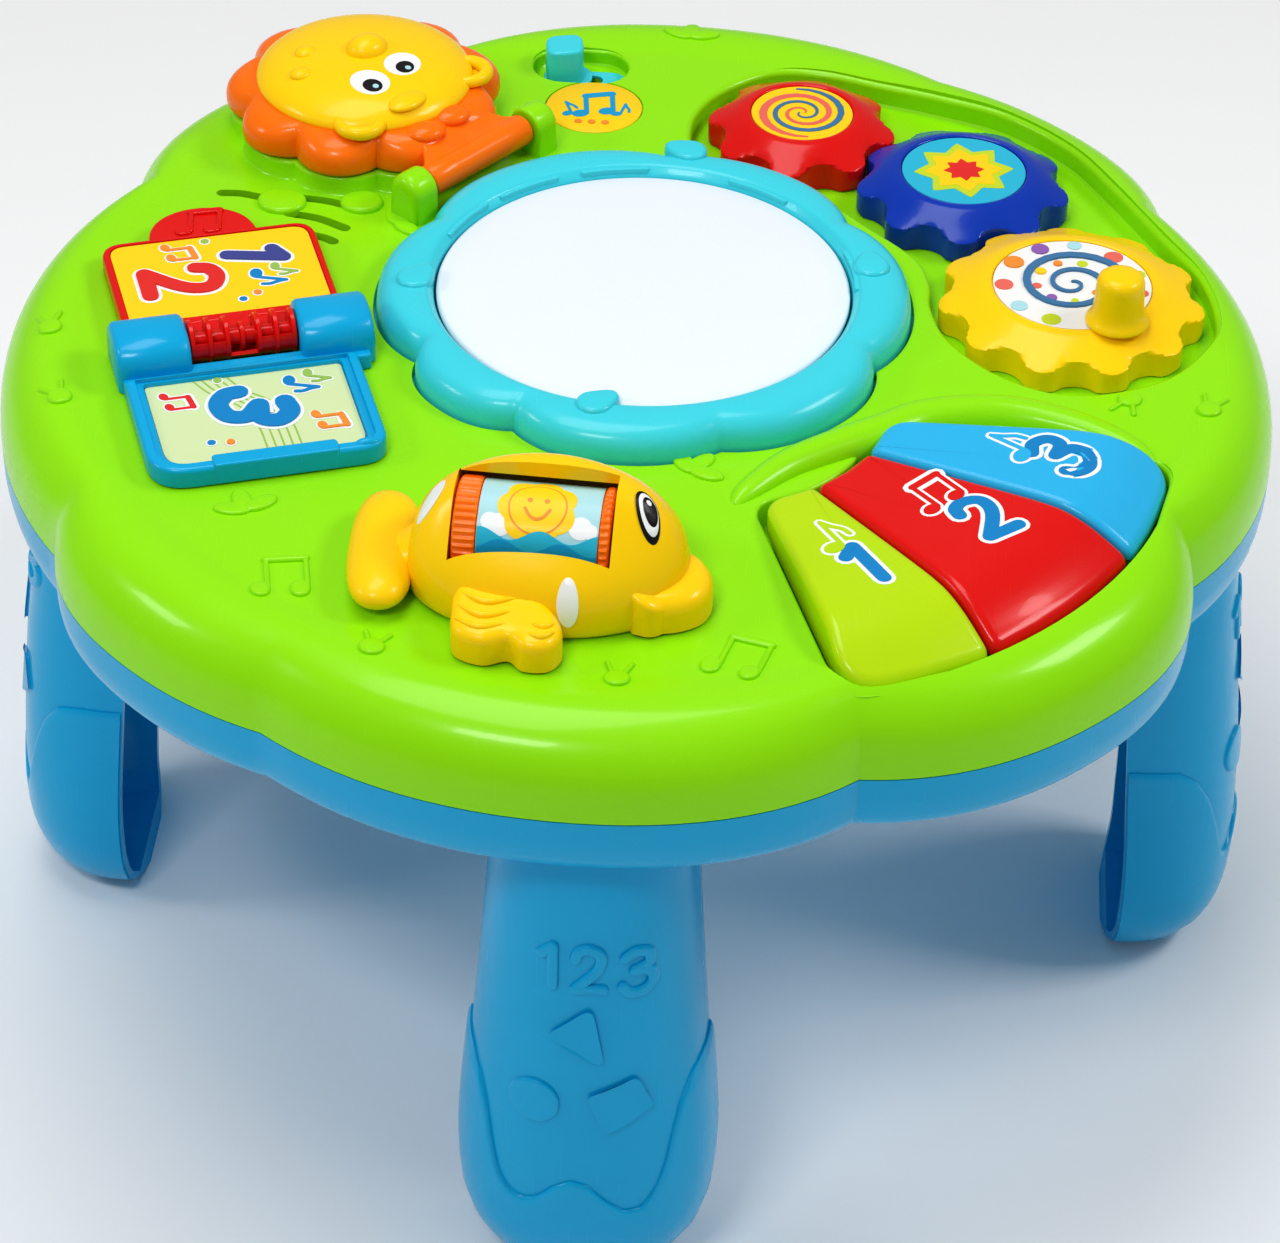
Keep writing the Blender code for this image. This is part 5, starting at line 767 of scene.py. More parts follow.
def rim_rings(rows, each, steps):
    """Rings that follow the lobed outline of the table up a profile."""
    return [[(*along(angle, rim_radius(angle, row)), SEAM + row[1]) for angle in lobe_angles(CREASES, each)]
            for row in smooth_line(rows, steps)]


def flared(outline, floor, edge):
    """Cutter of a well: drawn in foot, upright wall, and a mouth that rounds outward at the deck."""
    rings = [ring(grown(outline, -WELL_FOOT), floor), ring(outline, floor + WELL_FOOT)]
    for step in range(6):
        out, rise = along(80 * step / 5, edge)
        rings.append(ring(grown(outline, edge - out), DECK - edge + rise))
    rings.append([(x, y, MOUTH_TOP) for x, y, z in rings[-1]])
    return skin(rings)


def fan_line(inner, outer, start, end, side):
    """Outline of the key well, rounded as the outer keys are."""
    def at(reach, share):
        lean = math.degrees(side / reach) * (2 * share - 1)
        return along(start + (end - start) * share + lean, reach, FAN)

    corners = [(at(inner, 0), 0.0070), (at(outer, 0), 0.0115)]
    corners += [(at(outer, step / 25), 0) for step in range(5, 21)]
    corners += [(at(outer, 1), 0.0100), (at(inner, 1), 0.0075)]
    corners += [(at(inner, step / 25), 0) for step in range(17, 7, -1)]
    return spread_line(filleted(corners, 11), 0.003)


def slider_travel():
    """Cutter of the slot that the stem of the slider moves in."""
    return slab(slot((SLIDER[0] + 0.0040, SLIDER[1]), 0.0124, 0.0044), 0.1600, 0.1680)


def ear(side):
    """Hinge ear of the lid: upright plate with a rounded top and rounded edges."""
    middle = along(HINGE_LINE, side * EAR_REACH, HINGE)
    swings = [math.pi * step / 20 for step in range(21)]
    line = [(EAR_HALF * math.cos(swing), HINGE_HEIGHT + EAR_HALF * math.sin(swing)) for swing in swings]
    line = [(EAR_HALF, EAR_FOOT), *line, (-EAR_HALF, EAR_FOOT)]
    domed = (0.0026, 0.0008) if side < 0 else (0.0008, 0.0026)
    bm = slab(line, 0, EAR_THICK, *domed)
    bmesh.ops.translate(bm, verts=bm.verts, vec=(0, 0, -EAR_THICK / 2))
    stand = Matrix(((1, 0, 0, 0), (0, 0, -1, 0), (0, 1, 0, 0), (0, 0, 0, 1)))
    lean = Matrix.Rotation(math.radians(HINGE_LINE - 90), 4, "Z")
    bmesh.ops.transform(bm, matrix=Matrix.Translation((*middle, 0)) @ lean @ stand, verts=bm.verts)
    return bm


def rise_of_rim(x, y):
    """Height of the top face at a place, over the deck or on the rim."""
    angle = math.degrees(math.atan2(y, x))
    reach = math.hypot(x, y)
    before = None
    for row in smooth_line(RIM_OUTER, 6):
        radius = rim_radius(angle, row)
        if reach >= radius:
            if before is None:
                return SEAM
            part = (before[0] - reach) / max(before[0] - radius, 0.000001)
            return SEAM + before[1] + (row[1] - before[1]) * part
        before = (radius, row[1])
    return DECK


def relief(outline, height):
    """Low raised shape that follows the top face."""
    edge = height * 0.8
    rings = [[(x, y, rise_of_rim(x, y) - RELIEF_ROOT) for x, y in outline]]
    for out, rise in quarter(edge, 4):
        rings.append([(x, y, rise_of_rim(x, y) + height - edge + rise)
                      for x, y in grown(outline, out - edge)])
    return skin(rings)


def leaf(spot, length, width, heading, height):
    return relief(oval(spot, length / 2, width / 2, heading, 24), height)


def note(spot, size, heading, height):
    """Round note head with two feelers."""
    parts = [relief(oval(spot, size, size, 0, 28), height)]
    for lean in (35, -30):
        start = along(heading + lean, size * 0.8, spot)
        end = along(heading + lean * 0.8, size * 2.1, spot)
        parts.append(relief(ribbon([start, end], size * 0.42), height * 0.9))
    return parts


def beamed(spot, size, heading, height):
    """Two note heads, each with a stem, under one beam."""
    parts = []
    tops = []
    for side in (-1, 1):
        head = along(heading - 90, side * size * 0.8, spot)
        top = along(heading, size * 2.0, along(heading - 90, size * 0.3, head))
        tops.append(top)
        parts.append(relief(oval(head, size * 0.52, size * 0.42, heading, 20), height))
        parts.append(relief(ribbon([along(heading - 90, size * 0.3, head), top], size * 0.24), height * 0.9))
    parts.append(relief(ribbon(tops, size * 0.36), height))
    return parts


class TABLE_OT_top_shell(bpy.types.Operator):
    """Green top shell with its rim, wells, slots and bosses"""
    bl_idname = "activity_table.top_shell"
    bl_label = "Top shell"

    def execute(self, context):
        sizes = context.scene.table_sizes
        each = sizes.rim_points
        edge = sizes.edge_round
        middle = DECK - SKIN / 2
        recess = smooth_loop(RECESS, 5)
        near, far, start, end = WELL
        oval_line = slot(OVAL, 0.0250, 0.0160)
        added = [
            slab(grown(recess, WELL_WALL), RECESS_FLOOR - WELL_WALL, middle),
            slab(fan_line(near - WELL_WALL, far + WELL_WALL, start, end, WELL_WALL + WELL_PLAY),
                 KEY_FLOOR - WELL_WALL, middle),
            slab(disc(LION, LID_WELL + WELL_WALL, 72), LID_FLOOR - WELL_WALL, middle),
            slab(grown(oval_line, WELL_WALL), OVAL_FLOOR - WELL_WALL, middle),
        ]
        added += [rod((*spot, SEAM), (*spot, middle), 0.0054) for spot in BOSSES]
        removed = [
            flared(recess, RECESS_FLOOR, edge),
            flared(fan_line(*WELL, WELL_PLAY), KEY_FLOOR, edge * 0.6),
            slab(disc(LION, LID_WELL, 72), LID_FLOOR, ABOVE),
            flared(oval_line, OVAL_FLOOR, edge * 0.5),
            slab(drum_line(0.0008), DECK - 0.030, ABOVE),
            slab(disc(ROUND_LABEL, 0.0129, 64), DECK - 0.0008, 0.175),
            slider_travel(),
        ]
        removed += [slab(ribbon(line, 0.0030), 0.1665, 0.1745) for line in SLOT_LINES]
        outer = rim_rings(RIM_OUTER, each, 3)
        inner = rim_rings(RIM_INNER, each, 2)
        bm = carved(skin(outer), removed=[skin(inner)])
        bm = carved(bm, added=added, removed=removed)
        finished("top_shell_moulding", bm, "table", "lime_plastic", "top_shell", even=True, angle=32)
        return {"FINISHED"}


class TABLE_OT_lid_seat(bpy.types.Operator):
    """Petalled pedestal under the lid and the two ears of its hinge"""
    bl_idname = "activity_table.lid_seat"
    bl_label = "Lid seat"

    def execute(self, context):
        count = 9 * 14
        outline = petals(LION, 0.0345, 0.0315, LION_TURN, points=14)
        rings = [ring(outline, DECK - 0.001), ring(grown(outline, 0.0006), DECK),
                 ring(outline, DECK + 0.0006)]
        rings += rounded_rings(outline, DECK + 0.001, DECK + 0.005, 0.0012)[1:-1]
        for radius, height in ((0.0275, 0.0050), (0.0270, 0.0045), (0.0270, -0.0010)):
            rings.append(ring(oval(LION, radius, radius, LION_TURN, count), DECK + height))
        finished("lid_pedestal", skin(rings, closed=True), "table", "lime_plastic", angle=50)
        finished("lid_ears", merged(ear(-1), ear(1)), "table", "lime_plastic", angle=50)
        return {"FINISHED"}


class TABLE_OT_relief(bpy.types.Operator):
    """Ridge, leaves and notes raised on the deck and the rim"""
    bl_idname = "activity_table.relief"
    bl_label = "Raised ornaments"

    def execute(self, context):
        height = context.scene.table_sizes.relief
        path = smooth_line(RIDGE, 8)
        count = len(path)
        swell = [max(0.0010, 0.0056 * math.sin(math.pi * (index + 0.5) / count) ** 0.45)
                 for index in range(count)]
        ridge = tube([(x, y, DECK - 0.0010) for x, y in path], swell, 24)
        parts = [ridge]
        for spot, heading in (((-0.0497, -0.1283), 80), ((0.0047, -0.1337), 85), ((-0.1415, -0.0117), 100),
                              ((-0.1341, -0.0405), 120), ((0.1184, -0.0153), 250), ((0.1370, -0.0190), 70)):
            parts += note(spot, 0.0030, heading, height)
        for spot, size, heading in (((-0.0726, -0.1087), 0.0056, 100), ((0.0291, -0.1278), 0.0056, 75)):
            parts += beamed(spot, size, heading, height)
        for centre, heading in (((-0.0846, -0.0796), 40), ((0.0158, -0.0540), -20), ((-0.0642, 0.0445), -40),
                                ((-0.0574, 0.1375), 60), ((0.0032, 0.1415), 10)):
            for lean, reach in ((0, 0.0042), (70, 0.0036), (140, 0.0030)):
                spot = along(heading + lean, reach, centre)
                parts.append(leaf(spot, 0.0088, 0.0046, heading + lean, height * (1 - lean / 900)))
        parts.append(leaf((-0.0735, 0.0520), 0.0110, 0.0098, 0, height * 1.6))
        parts.append(leaf((-0.0935, 0.0505), 0.0125, 0.0110, 0, height * 1.6))
        finished("deck_relief", merged(*parts), "table", "lime_plastic", angle=60)
        return {"FINISHED"}


class TABLE_OT_bottom_shell(bpy.types.Operator):
    """Blue band and floor under the top shell"""
    bl_idname = "activity_table.bottom_shell"
    bl_label = "Bottom shell"

    def execute(self, context):
        each = context.scene.table_sizes.rim_points
        outer = rim_rings([(inset, rise, 0) for inset, rise in BAND_OUTER], each, 4)
        inner = rim_rings([(inset, rise, 0) for inset, rise in BAND_INNER], each, 2)
        added = [rod((*DRUM_CENTRE, BASE + 0.001), (*DRUM_CENTRE, SEAM), 0.012, 48)]
        added += [rod((*spot, BASE + 0.001), (*spot, SEAM - 0.0003), 0.0054) for spot in BOSSES]
        added += [rod((*spot, BASE + 0.001), (*spot, 0.1440), 0.003) for spot in BOARD_POSTS]
        removed = [rod((*DRUM_CENTRE, 0.138), (*DRUM_CENTRE, SEAM + 0.001), 0.0048, 32),
                   slab(DOOR_OPENING, BASE - 0.001, BASE + 0.0035)]
        for spot in BOSSES:
            removed.append(rod((*spot, BASE - 0.001), (*spot, 0.1465), 0.0038))
            removed.append(rod((*spot, 0.1455), (*spot, SEAM + 0.001), 0.0019))
        for angle in (-90, 0, 90, 180):
            line = [along(angle + side, 0.0103, along(angle, reach)) for side, reach in
                    ((-90, 0.1337), (-90, 0.1403), (90, 0.1403), (90, 0.1337))]
            removed.append(slab(line, BASE - 0.001, BASE + 0.0035))
        bm = carved(skin(outer), removed=[skin(inner)])
        bm = carved(bm, added=added, removed=removed)
        finished("bottom_shell_moulding", bm, "table", "blue_plastic", "bottom_shell", even=True, angle=32)
        return {"FINISHED"}


# Sections of a leg: height, open side, outer side and half width in metres
LEG_ROWS = (
    (0.0000, 0.1260, 0.1390, 0.0090), (0.0016, 0.1270, 0.1440, 0.0160),
    (0.0045, 0.1280, 0.1490, 0.0215), (0.0090, 0.1288, 0.1523, 0.0252),
    (0.0180, 0.1290, 0.1554, 0.0286), (0.0300, 0.1290, 0.1564, 0.0297),
    (0.0440, 0.1284, 0.1567, 0.0294), (0.0730, 0.1266, 0.1546, 0.0270),
    (0.0920, 0.1256, 0.1524, 0.0256), (0.1170, 0.1250, 0.1502, 0.0240),
    (0.1337, 0.1250, 0.1479, 0.0234),
)
LEG_HEADINGS = {"leg_front": -90, "leg_right": 0, "leg_back": 90, "leg_left": 180}
LEG_POWER = 2.4
LEG_WALL = 0.0028
# Upper edge of the boot: share of the half width, then height in metres
BOOT_EDGE = (
    (-1.00, 0.0655), (-0.94, 0.0650), (-0.86, 0.0610), (-0.78, 0.0545), (-0.71, 0.0450),
    (-0.65, 0.0370), (-0.56, 0.0325), (-0.46, 0.0312), (-0.35, 0.0322), (-0.22, 0.0365),
    (-0.08, 0.0392), (0.06, 0.0380), (0.20, 0.0330), (0.35, 0.0292), (0.48, 0.0298), (0.58, 0.0345),
    (0.66, 0.0415), (0.72, 0.0500), (0.79, 0.0580), (0.88, 0.0635), (0.96, 0.0650), (1.00, 0.0652),
)
BOOT_LIFT = 0.0011
BOOT_FOOT = 0.0004
# Raised shapes on the front of a leg: numeral with its corner, corners of the outlines, then the disc
LEG_NUMERALS = ((1, (-0.0112, 0.0953)), (2, (-0.0026, 0.0951)), (3, (0.0086, 0.0941)))
LEG_SHAPES = (((-0.0078, 0.0818), (0.0016, 0.0897), (0.0046, 0.0745)),
              ((0.0018, 0.0649), (0.0124, 0.0700), (0.0160, 0.0616), (0.0060, 0.0549)))
LEG_DISC = (-0.0111, 0.0622)


def leg_share(swing):
    """How far across its half width a leg is at a swing round its front."""
    return math.copysign(abs(math.sin(swing)) ** (2 / LEG_POWER), swing)


def leg_spot(heading, swing, height, rows, lift=0.0):
    """Spot on the curved front of a leg, lifted off it along the level."""
    near, far, half = blended(rows, height)
    forward = near + (far - near + lift) * abs(math.cos(swing)) ** (2 / LEG_POWER)
    return (*turn((forward, leg_share(swing) * (half + lift)), heading), height)


def leg_front(heading, rows):
    """Places on the front of a leg from how far across and how high."""
    def place(across, height, lift):
        near, far, half = blended(rows, height)
        share = min(abs(across) / half, 0.999) ** LEG_POWER
        forward = near + (far - near) * (1 - share) ** (1 / LEG_POWER) + lift
        return (*turn((forward, across), heading), height)
    return place


class TABLE_OT_legs(bpy.types.Operator):
    """Four hollow legs, each with a raised boot, and numerals and plain shapes on its front"""
    bl_idname = "activity_table.legs"
    bl_label = "Legs"

    def execute(self, context):
        rows = smooth_line(LEG_ROWS, 4)
        swings = [math.pi * (step / 40 - 0.5) for step in range(41)]
        for node, heading in LEG_HEADINGS.items():
            def section(height, shrink, back):
                near, far, half = blended(rows, height)
                line = [leg_spot(heading, swing, height, rows, -shrink) for swing in swings]
                for side in (1, -1):
                    line.append((*turn((near - back, side * (half - shrink)), heading), height))
                return line

            outer = skin([section(row[0], 0.0, 0.0006) for row in rows])
            heights = [LEG_WALL] + [row[0] for row in rows if LEG_WALL < row[0] < 0.122] + [0.122]
            hollow = skin([section(height, LEG_WALL, 0.004) for height in heights])
            tongue = [turn((0.1340 + x, y), heading) for x, y in
                      ((0, -0.010), (0.006, -0.010), (0.006, 0.010), (0, 0.010))]
            bm = carved(outer, added=[slab(tongue, 0.1250, 0.1402)], removed=[hollow])
            finished(node + "_moulding", bm, "table", "blue_plastic", node, angle=40, even=True)

            columns = []
            for step in range(81):
                swing = math.pi * (step / 80 - 0.5)
                columns.append((swing, blended(BOOT_EDGE, leg_share(swing))[0]))
            profile = [(0.0, 0.0), (0.04, 0.8)] + [(0.10 * step, 1.0) for step in range(1, 10)]
            profile += [(0.95, 1.0), (0.98, 0.85), (1.0, 0.4), (1.0, -0.4)]

            def boot_line(ends, rise, lift):
                return [leg_spot(heading, swing, BOOT_FOOT + (top - BOOT_FOOT) * rise, rows, lift)
                        for swing, top in ends]

            rings = [boot_line(columns, rise, BOOT_LIFT * out)
                     + boot_line(columns[::-1], rise, -BOOT_LIFT * 0.7) for rise, out in profile]
            finished(node + "_boot", skin(rings), "table", "blue_plastic", angle=55, even=True)

            place = leg_front(heading, rows)
            shapes = []
            for number, corner in LEG_NUMERALS:
                shapes += numeral(number, corner, 0.0114, 0, 0.0026)
            shapes += [spread_line(filleted([(corner, 0.0014) for corner in outline], 6), 0.0015)
                       for outline in LEG_SHAPES]
            shapes.append(disc(LEG_DISC, 0.0060, 40))
            raised = [draped(shape, place, -0.0008, 0.0009 + order * 0.000004, 0.0006)
                      for order, shape in enumerate(shapes)]
            finished(node + "_shapes", merged(*raised), "table", "blue_plastic", angle=60)
        return {"FINISHED"}


# Least radius of the lobed ring, so that a crease never meets its inner wall
DRUM_NARROW = 0.0560
# Drop shaped bumps on the drum ring: place and heading of the tip
DRUM_BUMPS = (((-0.0553, 0.0077), 60), ((-0.0077, -0.0406), 40), ((0.0554, 0.0238), 100),
              ((0.0078, 0.0727), 160))
# White head of the drum: radius and height
HEAD_PROFILE = (
    (0, 0.1741), (0.0500, 0.1741), (0.0504, 0.1744), (0.0504, 0.1752), (0.0501, 0.1757), (0.0495, 0.1760),
    (0.0440, 0.1766), (0.0350, 0.1770), (0.0240, 0.1773), (0.0120, 0.1774), (0, 0.1774),
)
# Lobed ring of the drum: how far inside the outline, and the height
DRUM_PROFILE = (
    (0.0000, 0.1676), (0.0000, 0.1700), (0.0001, 0.1722), (0.0005, 0.1740), (0.0014, 0.1756),
    (0.0029, 0.1769), (0.0048, 0.1776), (0.0066, 0.1779), (0.0080, 0.1780),
)


class TABLE_OT_drum(bpy.types.Operator):
    """Lobed drum ring with its bumps, and the white head inside it"""
    bl_idname = "activity_table.drum"
    bl_label = "Drum"

    def execute(self, context):
        each = 28
        angles = lobe_angles(DRUM_CREASES, each)
        rings = []
        for inset, height in smooth_line(DRUM_PROFILE, 2):
            line = []
            for angle, spot in zip(angles, drum_line(-inset, each)):
                reach = (Vector(spot) - Vector(DRUM_CENTRE)).length
                line.append(along(angle, max(reach, DRUM_NARROW - inset * 0.25), DRUM_CENTRE))
            rings.append(ring(line, height))
        for radius, height in ((0.0537, 0.1780), (0.0529, 0.1778), (0.0524, 0.1773), (0.0516, 0.1762),
                               (0.0512, 0.1757), (0.0510, 0.1750), (0.0510, 0.1676)):
            rings.append([(*along(angle, radius, DRUM_CENTRE), height) for angle in angles])
        finished("drum_ring_moulding", skin(rings, closed=True), "drum", "aqua_plastic", "drum_ring",
                 angle=50)

        bumps = []
        for spot, heading in DRUM_BUMPS:
            outline = []
            for step in range(32):
                turned = 360 * step / 32
                reach = 0.0044 * (1 + 0.55 * max(0.0, math.cos(math.radians(turned))) ** 6)
                outline.append(along(turned + heading, reach, spot))
            bumps.append(draped(outline, level_at(0.1776), -0.0016, 0.0014, 0.0012))
        for angle in (12, 60, 102, 128, 152):
            tick = [along(angle + swing, 0.0520, DRUM_CENTRE) for swing in (-9, -4.5, 0, 4.5, 9)]
            bumps.append(draped(ribbon(tick, 0.0012, 4, 2), level_at(0.1772), -0.0016, 0.0003, 0.0002))
        finished("drum_ring_bumps", merged(*bumps), "drum", "aqua_plastic", angle=50)

        finished("drum_head_moulding", lathe(HEAD_PROFILE, DRUM_CENTRE, 128), "drum", "white_plastic",
                 "drum_head")
        return {"FINISHED"}


# Rows of a gear: height, then how far the tips are drawn in
GEAR_ROWS = (
    (0.1643, 0.0009), (0.1645, 0.0004), (0.1650, 0.0), (0.1692, 0.0), (0.1700, 0.0), (0.1703, 0.0004),
    (0.1708, 0.0014), (0.1716, 0.0032), (0.1725, 0.0050), (0.1733, 0.0065), (0.1740, 0.0079),
    (0.1745, 0.0090), (0.1748, 0.0098), (0.1750, 0.0109),
)
TOOTH_POINTS = 20
# Printed dots of the yellow gear: heading, distance from its middle, radius and ink
YELLOW_DOTS = (
    (20, 0.0172, 0.0019, "ink_lime"), (52, 0.0166, 0.0024, "ink_rose"),
    (88, 0.0173, 0.0018, "ink_pale"), (118, 0.0168, 0.0022, "ink_purple"),
    (150, 0.0166, 0.0025, "ink_orange"), (186, 0.0168, 0.0023, "ink_rose"),
    (220, 0.0169, 0.0021, "ink_pale"), (252, 0.0167, 0.0024, "ink_lime"),
    (290, 0.0172, 0.0017, "ink_purple"), (325, 0.0170, 0.0021, "ink_orange"),
    (352, 0.0174, 0.0014, "ink_rose"), (75, 0.0097, 0.0014, "ink_lime"),
    (112, 0.0094, 0.0011, "ink_orange"), (148, 0.0091, 0.0013, "ink_yellow"),
    (190, 0.0088, 0.0012, "ink_rose"), (232, 0.0082, 0.0013, "ink_purple"),
    (30, 0.0100, 0.0012, "ink_pale"), (275, 0.0072, 0.0010, "ink_lime"),
    (330, 0.0066, 0.0009, "ink_orange"),
)
GEAR_TOP = 0.1750
KNOB = (0.1153, 0.0104)
KNOB_PROFILE = (
    (0, 0.1753), (0.0077, 0.1753), (0.0078, 0.1755), (0.0077, 0.1760), (0.0072, 0.1767), (0.0066, 0.1776),
    (0.0063, 0.1788), (0.0061, 0.1805), (0.0060, 0.1830), (0.0059, 0.1852), (0.0058, 0.1866),
    (0.0054, 0.1877), (0.0046, 0.1884), (0.0034, 0.1887), (0.0018, 0.1888), (0, 0.1888),
)


def heading_between(first, second):
    return math.degrees(math.atan2(second[1] - first[1], second[0] - first[0]))


def tooth_starts():
    """Heading of one tooth of each gear, so that the teeth of neighbours mesh."""
    red = heading_between(GEARS["blue"][1], GEARS["red"][1])
    yellow = heading_between(GEARS["blue"][1], GEARS["yellow"][1])
    phase = ((yellow - red) * GEARS["blue"][0] / 360) % 1
    return {"blue": red, "red": red + 180 + 180 / GEARS["red"][0],
            "yellow": yellow + 180 + (180 + 360 * phase) / GEARS["yellow"][0]}


def gear_ring(name, start, height, drawn):
    """Wavy outline of a gear, with its tips cut by the cone of its top."""
    count, centre, label = GEARS[name]
    pitch = GEAR_MODULE * count / 2
    line = []
    for step in range(count * TOOTH_POINTS):
        turned = 360 * step / (count * TOOTH_POINTS)
        wave = math.cos(math.radians(turned * count))
        radius = pitch - 0.00035 + 0.0020 * math.copysign(abs(wave) ** 0.65, wave)
        outer = pitch + 0.00165
        share = min(1.0, drawn / 0.0109)
        cone = outer - (outer - label - 0.0008) * share
        line.append((*along(start + turned, min(radius, cone), centre), height))
    return line


class TABLE_OT_gears(bpy.types.Operator):
    """Three meshing gears with sloped tops, raised rims and printed discs, and the crank knob"""
    bl_idname = "activity_table.gears"
    bl_label = "Gears"

    def execute(self, context):
        starts = tooth_starts()
        finishes = {"red": "red_plastic", "blue": "royal_plastic", "yellow": "yellow_plastic"}
        for name, (count, centre, label) in GEARS.items():
            start = starts[name]
            rings = [gear_ring(name, start, height, drawn) for height, drawn in GEAR_ROWS]
            total = count * TOOTH_POINTS
            for radius, height in ((label + 0.0006, GEAR_TOP + 0.0001), (label + 0.0002, GEAR_TOP),
                                   (label, GEAR_TOP - 0.0002), (label, GEAR_TOP - 0.0008)):
                rings.append([(*along(start + 360 * step / total, radius, centre), height)
                              for step in range(total)])
            body = name + "_gear"
            finished(body + "_moulding", skin(rings), body, finishes[name], "gear_" + name, angle=36,
                     even=True)
            disc_bm = lathe(((0, GEAR_TOP - 0.0007), (label - 0.0003, GEAR_TOP - 0.0007),
                             (label - 0.0003, GEAR_TOP - 0.0003), (label - 0.0004, GEAR_TOP - 0.0002),
                             (0, GEAR_TOP - 0.0002)), centre, 96)
            base = {"red": "ink_yellow", "blue": "ink_cyan", "yellow": "label_paper"}[name]
            finished(body + "_disc", disc_bm, body, base, "label_" + name)

        level = level_at(GEAR_TOP - 0.0002)
        centre = GEARS["red"][1]
        arms = []
        for first in (0, 180):
            path = []
            for step in range(41):
                turned = first + 16 * step
                path.append(along(turned, 0.0006 + 0.0112 * step / 40, centre))
            arms.append(path)
        printed("red_gear_print_", "red_gear", level, (
            ("ink_rose", [swirl(arms[0], 0.0004, 0.0021)]), ("ink_steel", [swirl(arms[1], 0.0004, 0.0017)])))

        centre = GEARS["blue"][1]
        printed("blue_gear_print_", "blue_gear", level, (
            ("ink_lime", [star(centre, 0.0128, 0.0092, 8, 10)]),
            ("ink_yellow", [star(centre, 0.0100, 0.0072, 8, 10)]),
            ("ink_red", [star(centre, 0.0052, 0.0036, 8, 10)])))

        centre = GEARS["yellow"][1]
        path = [along(100 - 14 * step, 0.0008 + 0.0142 * (step / 60) ** 1.15, centre) for step in range(61)]
        dots = {}
        for heading, reach, size, colour in YELLOW_DOTS:
            dots.setdefault(colour, []).append(disc(along(heading, reach, centre), size, 28))
        printed("yellow_gear_print_", "yellow_gear", level,
                [*dots.items(), ("ink_steel", [swirl(path, 0.0006, 0.0021)])])

        finished("yellow_gear_crank", lathe(KNOB_PROFILE, KNOB, 48), "yellow_gear", "yellow_plastic",
                 "crank_knob")
        return {"FINISHED"}


def swirl(path, thin, thick):
    """Band along a wound line that swells from thin at its start to thick near its end."""
    right = []
    left = []
    last = len(path) - 1
    for index, spot in enumerate(path):
        before = Vector(path[max(index - 1, 0)])
        way = (Vector(path[min(index + 1, last)]) - before).normalized()
        share = index / last
        width = thin + (thick - thin) * min(1.0, share * 1.15) * min(1.0, (1.0 - share) * 9 + 0.15)
        side = Vector((way.y, -way.x)) * width / 2
        right.append(tuple(Vector(spot) + side))
        left.append(tuple(Vector(spot) - side))
    return right + left[::-1]


def star(centre, outer, inner, count, points):
    """Star with soft tips and hollow sides."""
    line = []
    for step in range(count * points):
        part = abs(2 * ((step / points) % 1) - 1)
        line.append(along(360 * step / (count * points) + 9, inner + (outer - inner) * part ** 1.4, centre))
    return line


# Height of the key tops by distance from the centre of the fan
KEY_TOPS = (
    (0.0400, 0.1738), (0.0500, 0.1746), (0.0650, 0.1758), (0.0780, 0.1768), (0.0860, 0.1773),
    (0.0905, 0.1773), (0.0940, 0.1768), (0.0970, 0.1759), (0.1000, 0.1747), (0.1030, 0.1732),
    (0.1060, 0.1715), (0.1085, 0.1702), (0.1110, 0.1697),
)
KEY_FINISHES = {"green": "leaf_plastic", "red": "red_plastic", "blue": "ink_azure"}
# Numeral on each key: number, its middle and heading; then the note, its middle and kind
KEY_PRINTS = {
    "green": (1, (0.0576, -0.0946), 31, (0.0490, -0.0839), "quaver"),
    "red": (2, (0.0836, -0.0750), 39, (0.0722, -0.0656), "pair"),
    "blue": (3, (0.1012, -0.0494), 52, (0.0893, -0.0457), "quaver"),
}
# Reach of the keys from the centre of the fan, and the gap beside each
KEY_NEAR = 0.0416
KEY_FAR = 0.1090
KEY_PLAY = 0.0004


def key_height(x, y):
    return blended(KEY_TOPS, math.hypot(x - FAN[0], y - FAN[1]))[0]


def key_outline(start, end, corners):
    """Wedge between two headings of the fan, with its outer corners rounded as given."""
    def at(reach, heading, play):
        return along(heading + math.degrees(play / reach), reach, FAN)

    far = KEY_FAR + 0.0004
    points = [(at(KEY_NEAR, start, KEY_PLAY), corners[2]), (at(far, start, KEY_PLAY), corners[0])]
    for share in (0.30, 0.50, 0.70):
        points.append((along(start + (end - start) * share, KEY_FAR, FAN), 0))
    points += [(at(far, end, -KEY_PLAY), corners[1]), (at(KEY_NEAR, end, -KEY_PLAY), corners[3]),
               (along((start + end) / 2, KEY_NEAR - 0.0002, FAN), 0)]
    return spread_line(filleted(points), 0.0022)


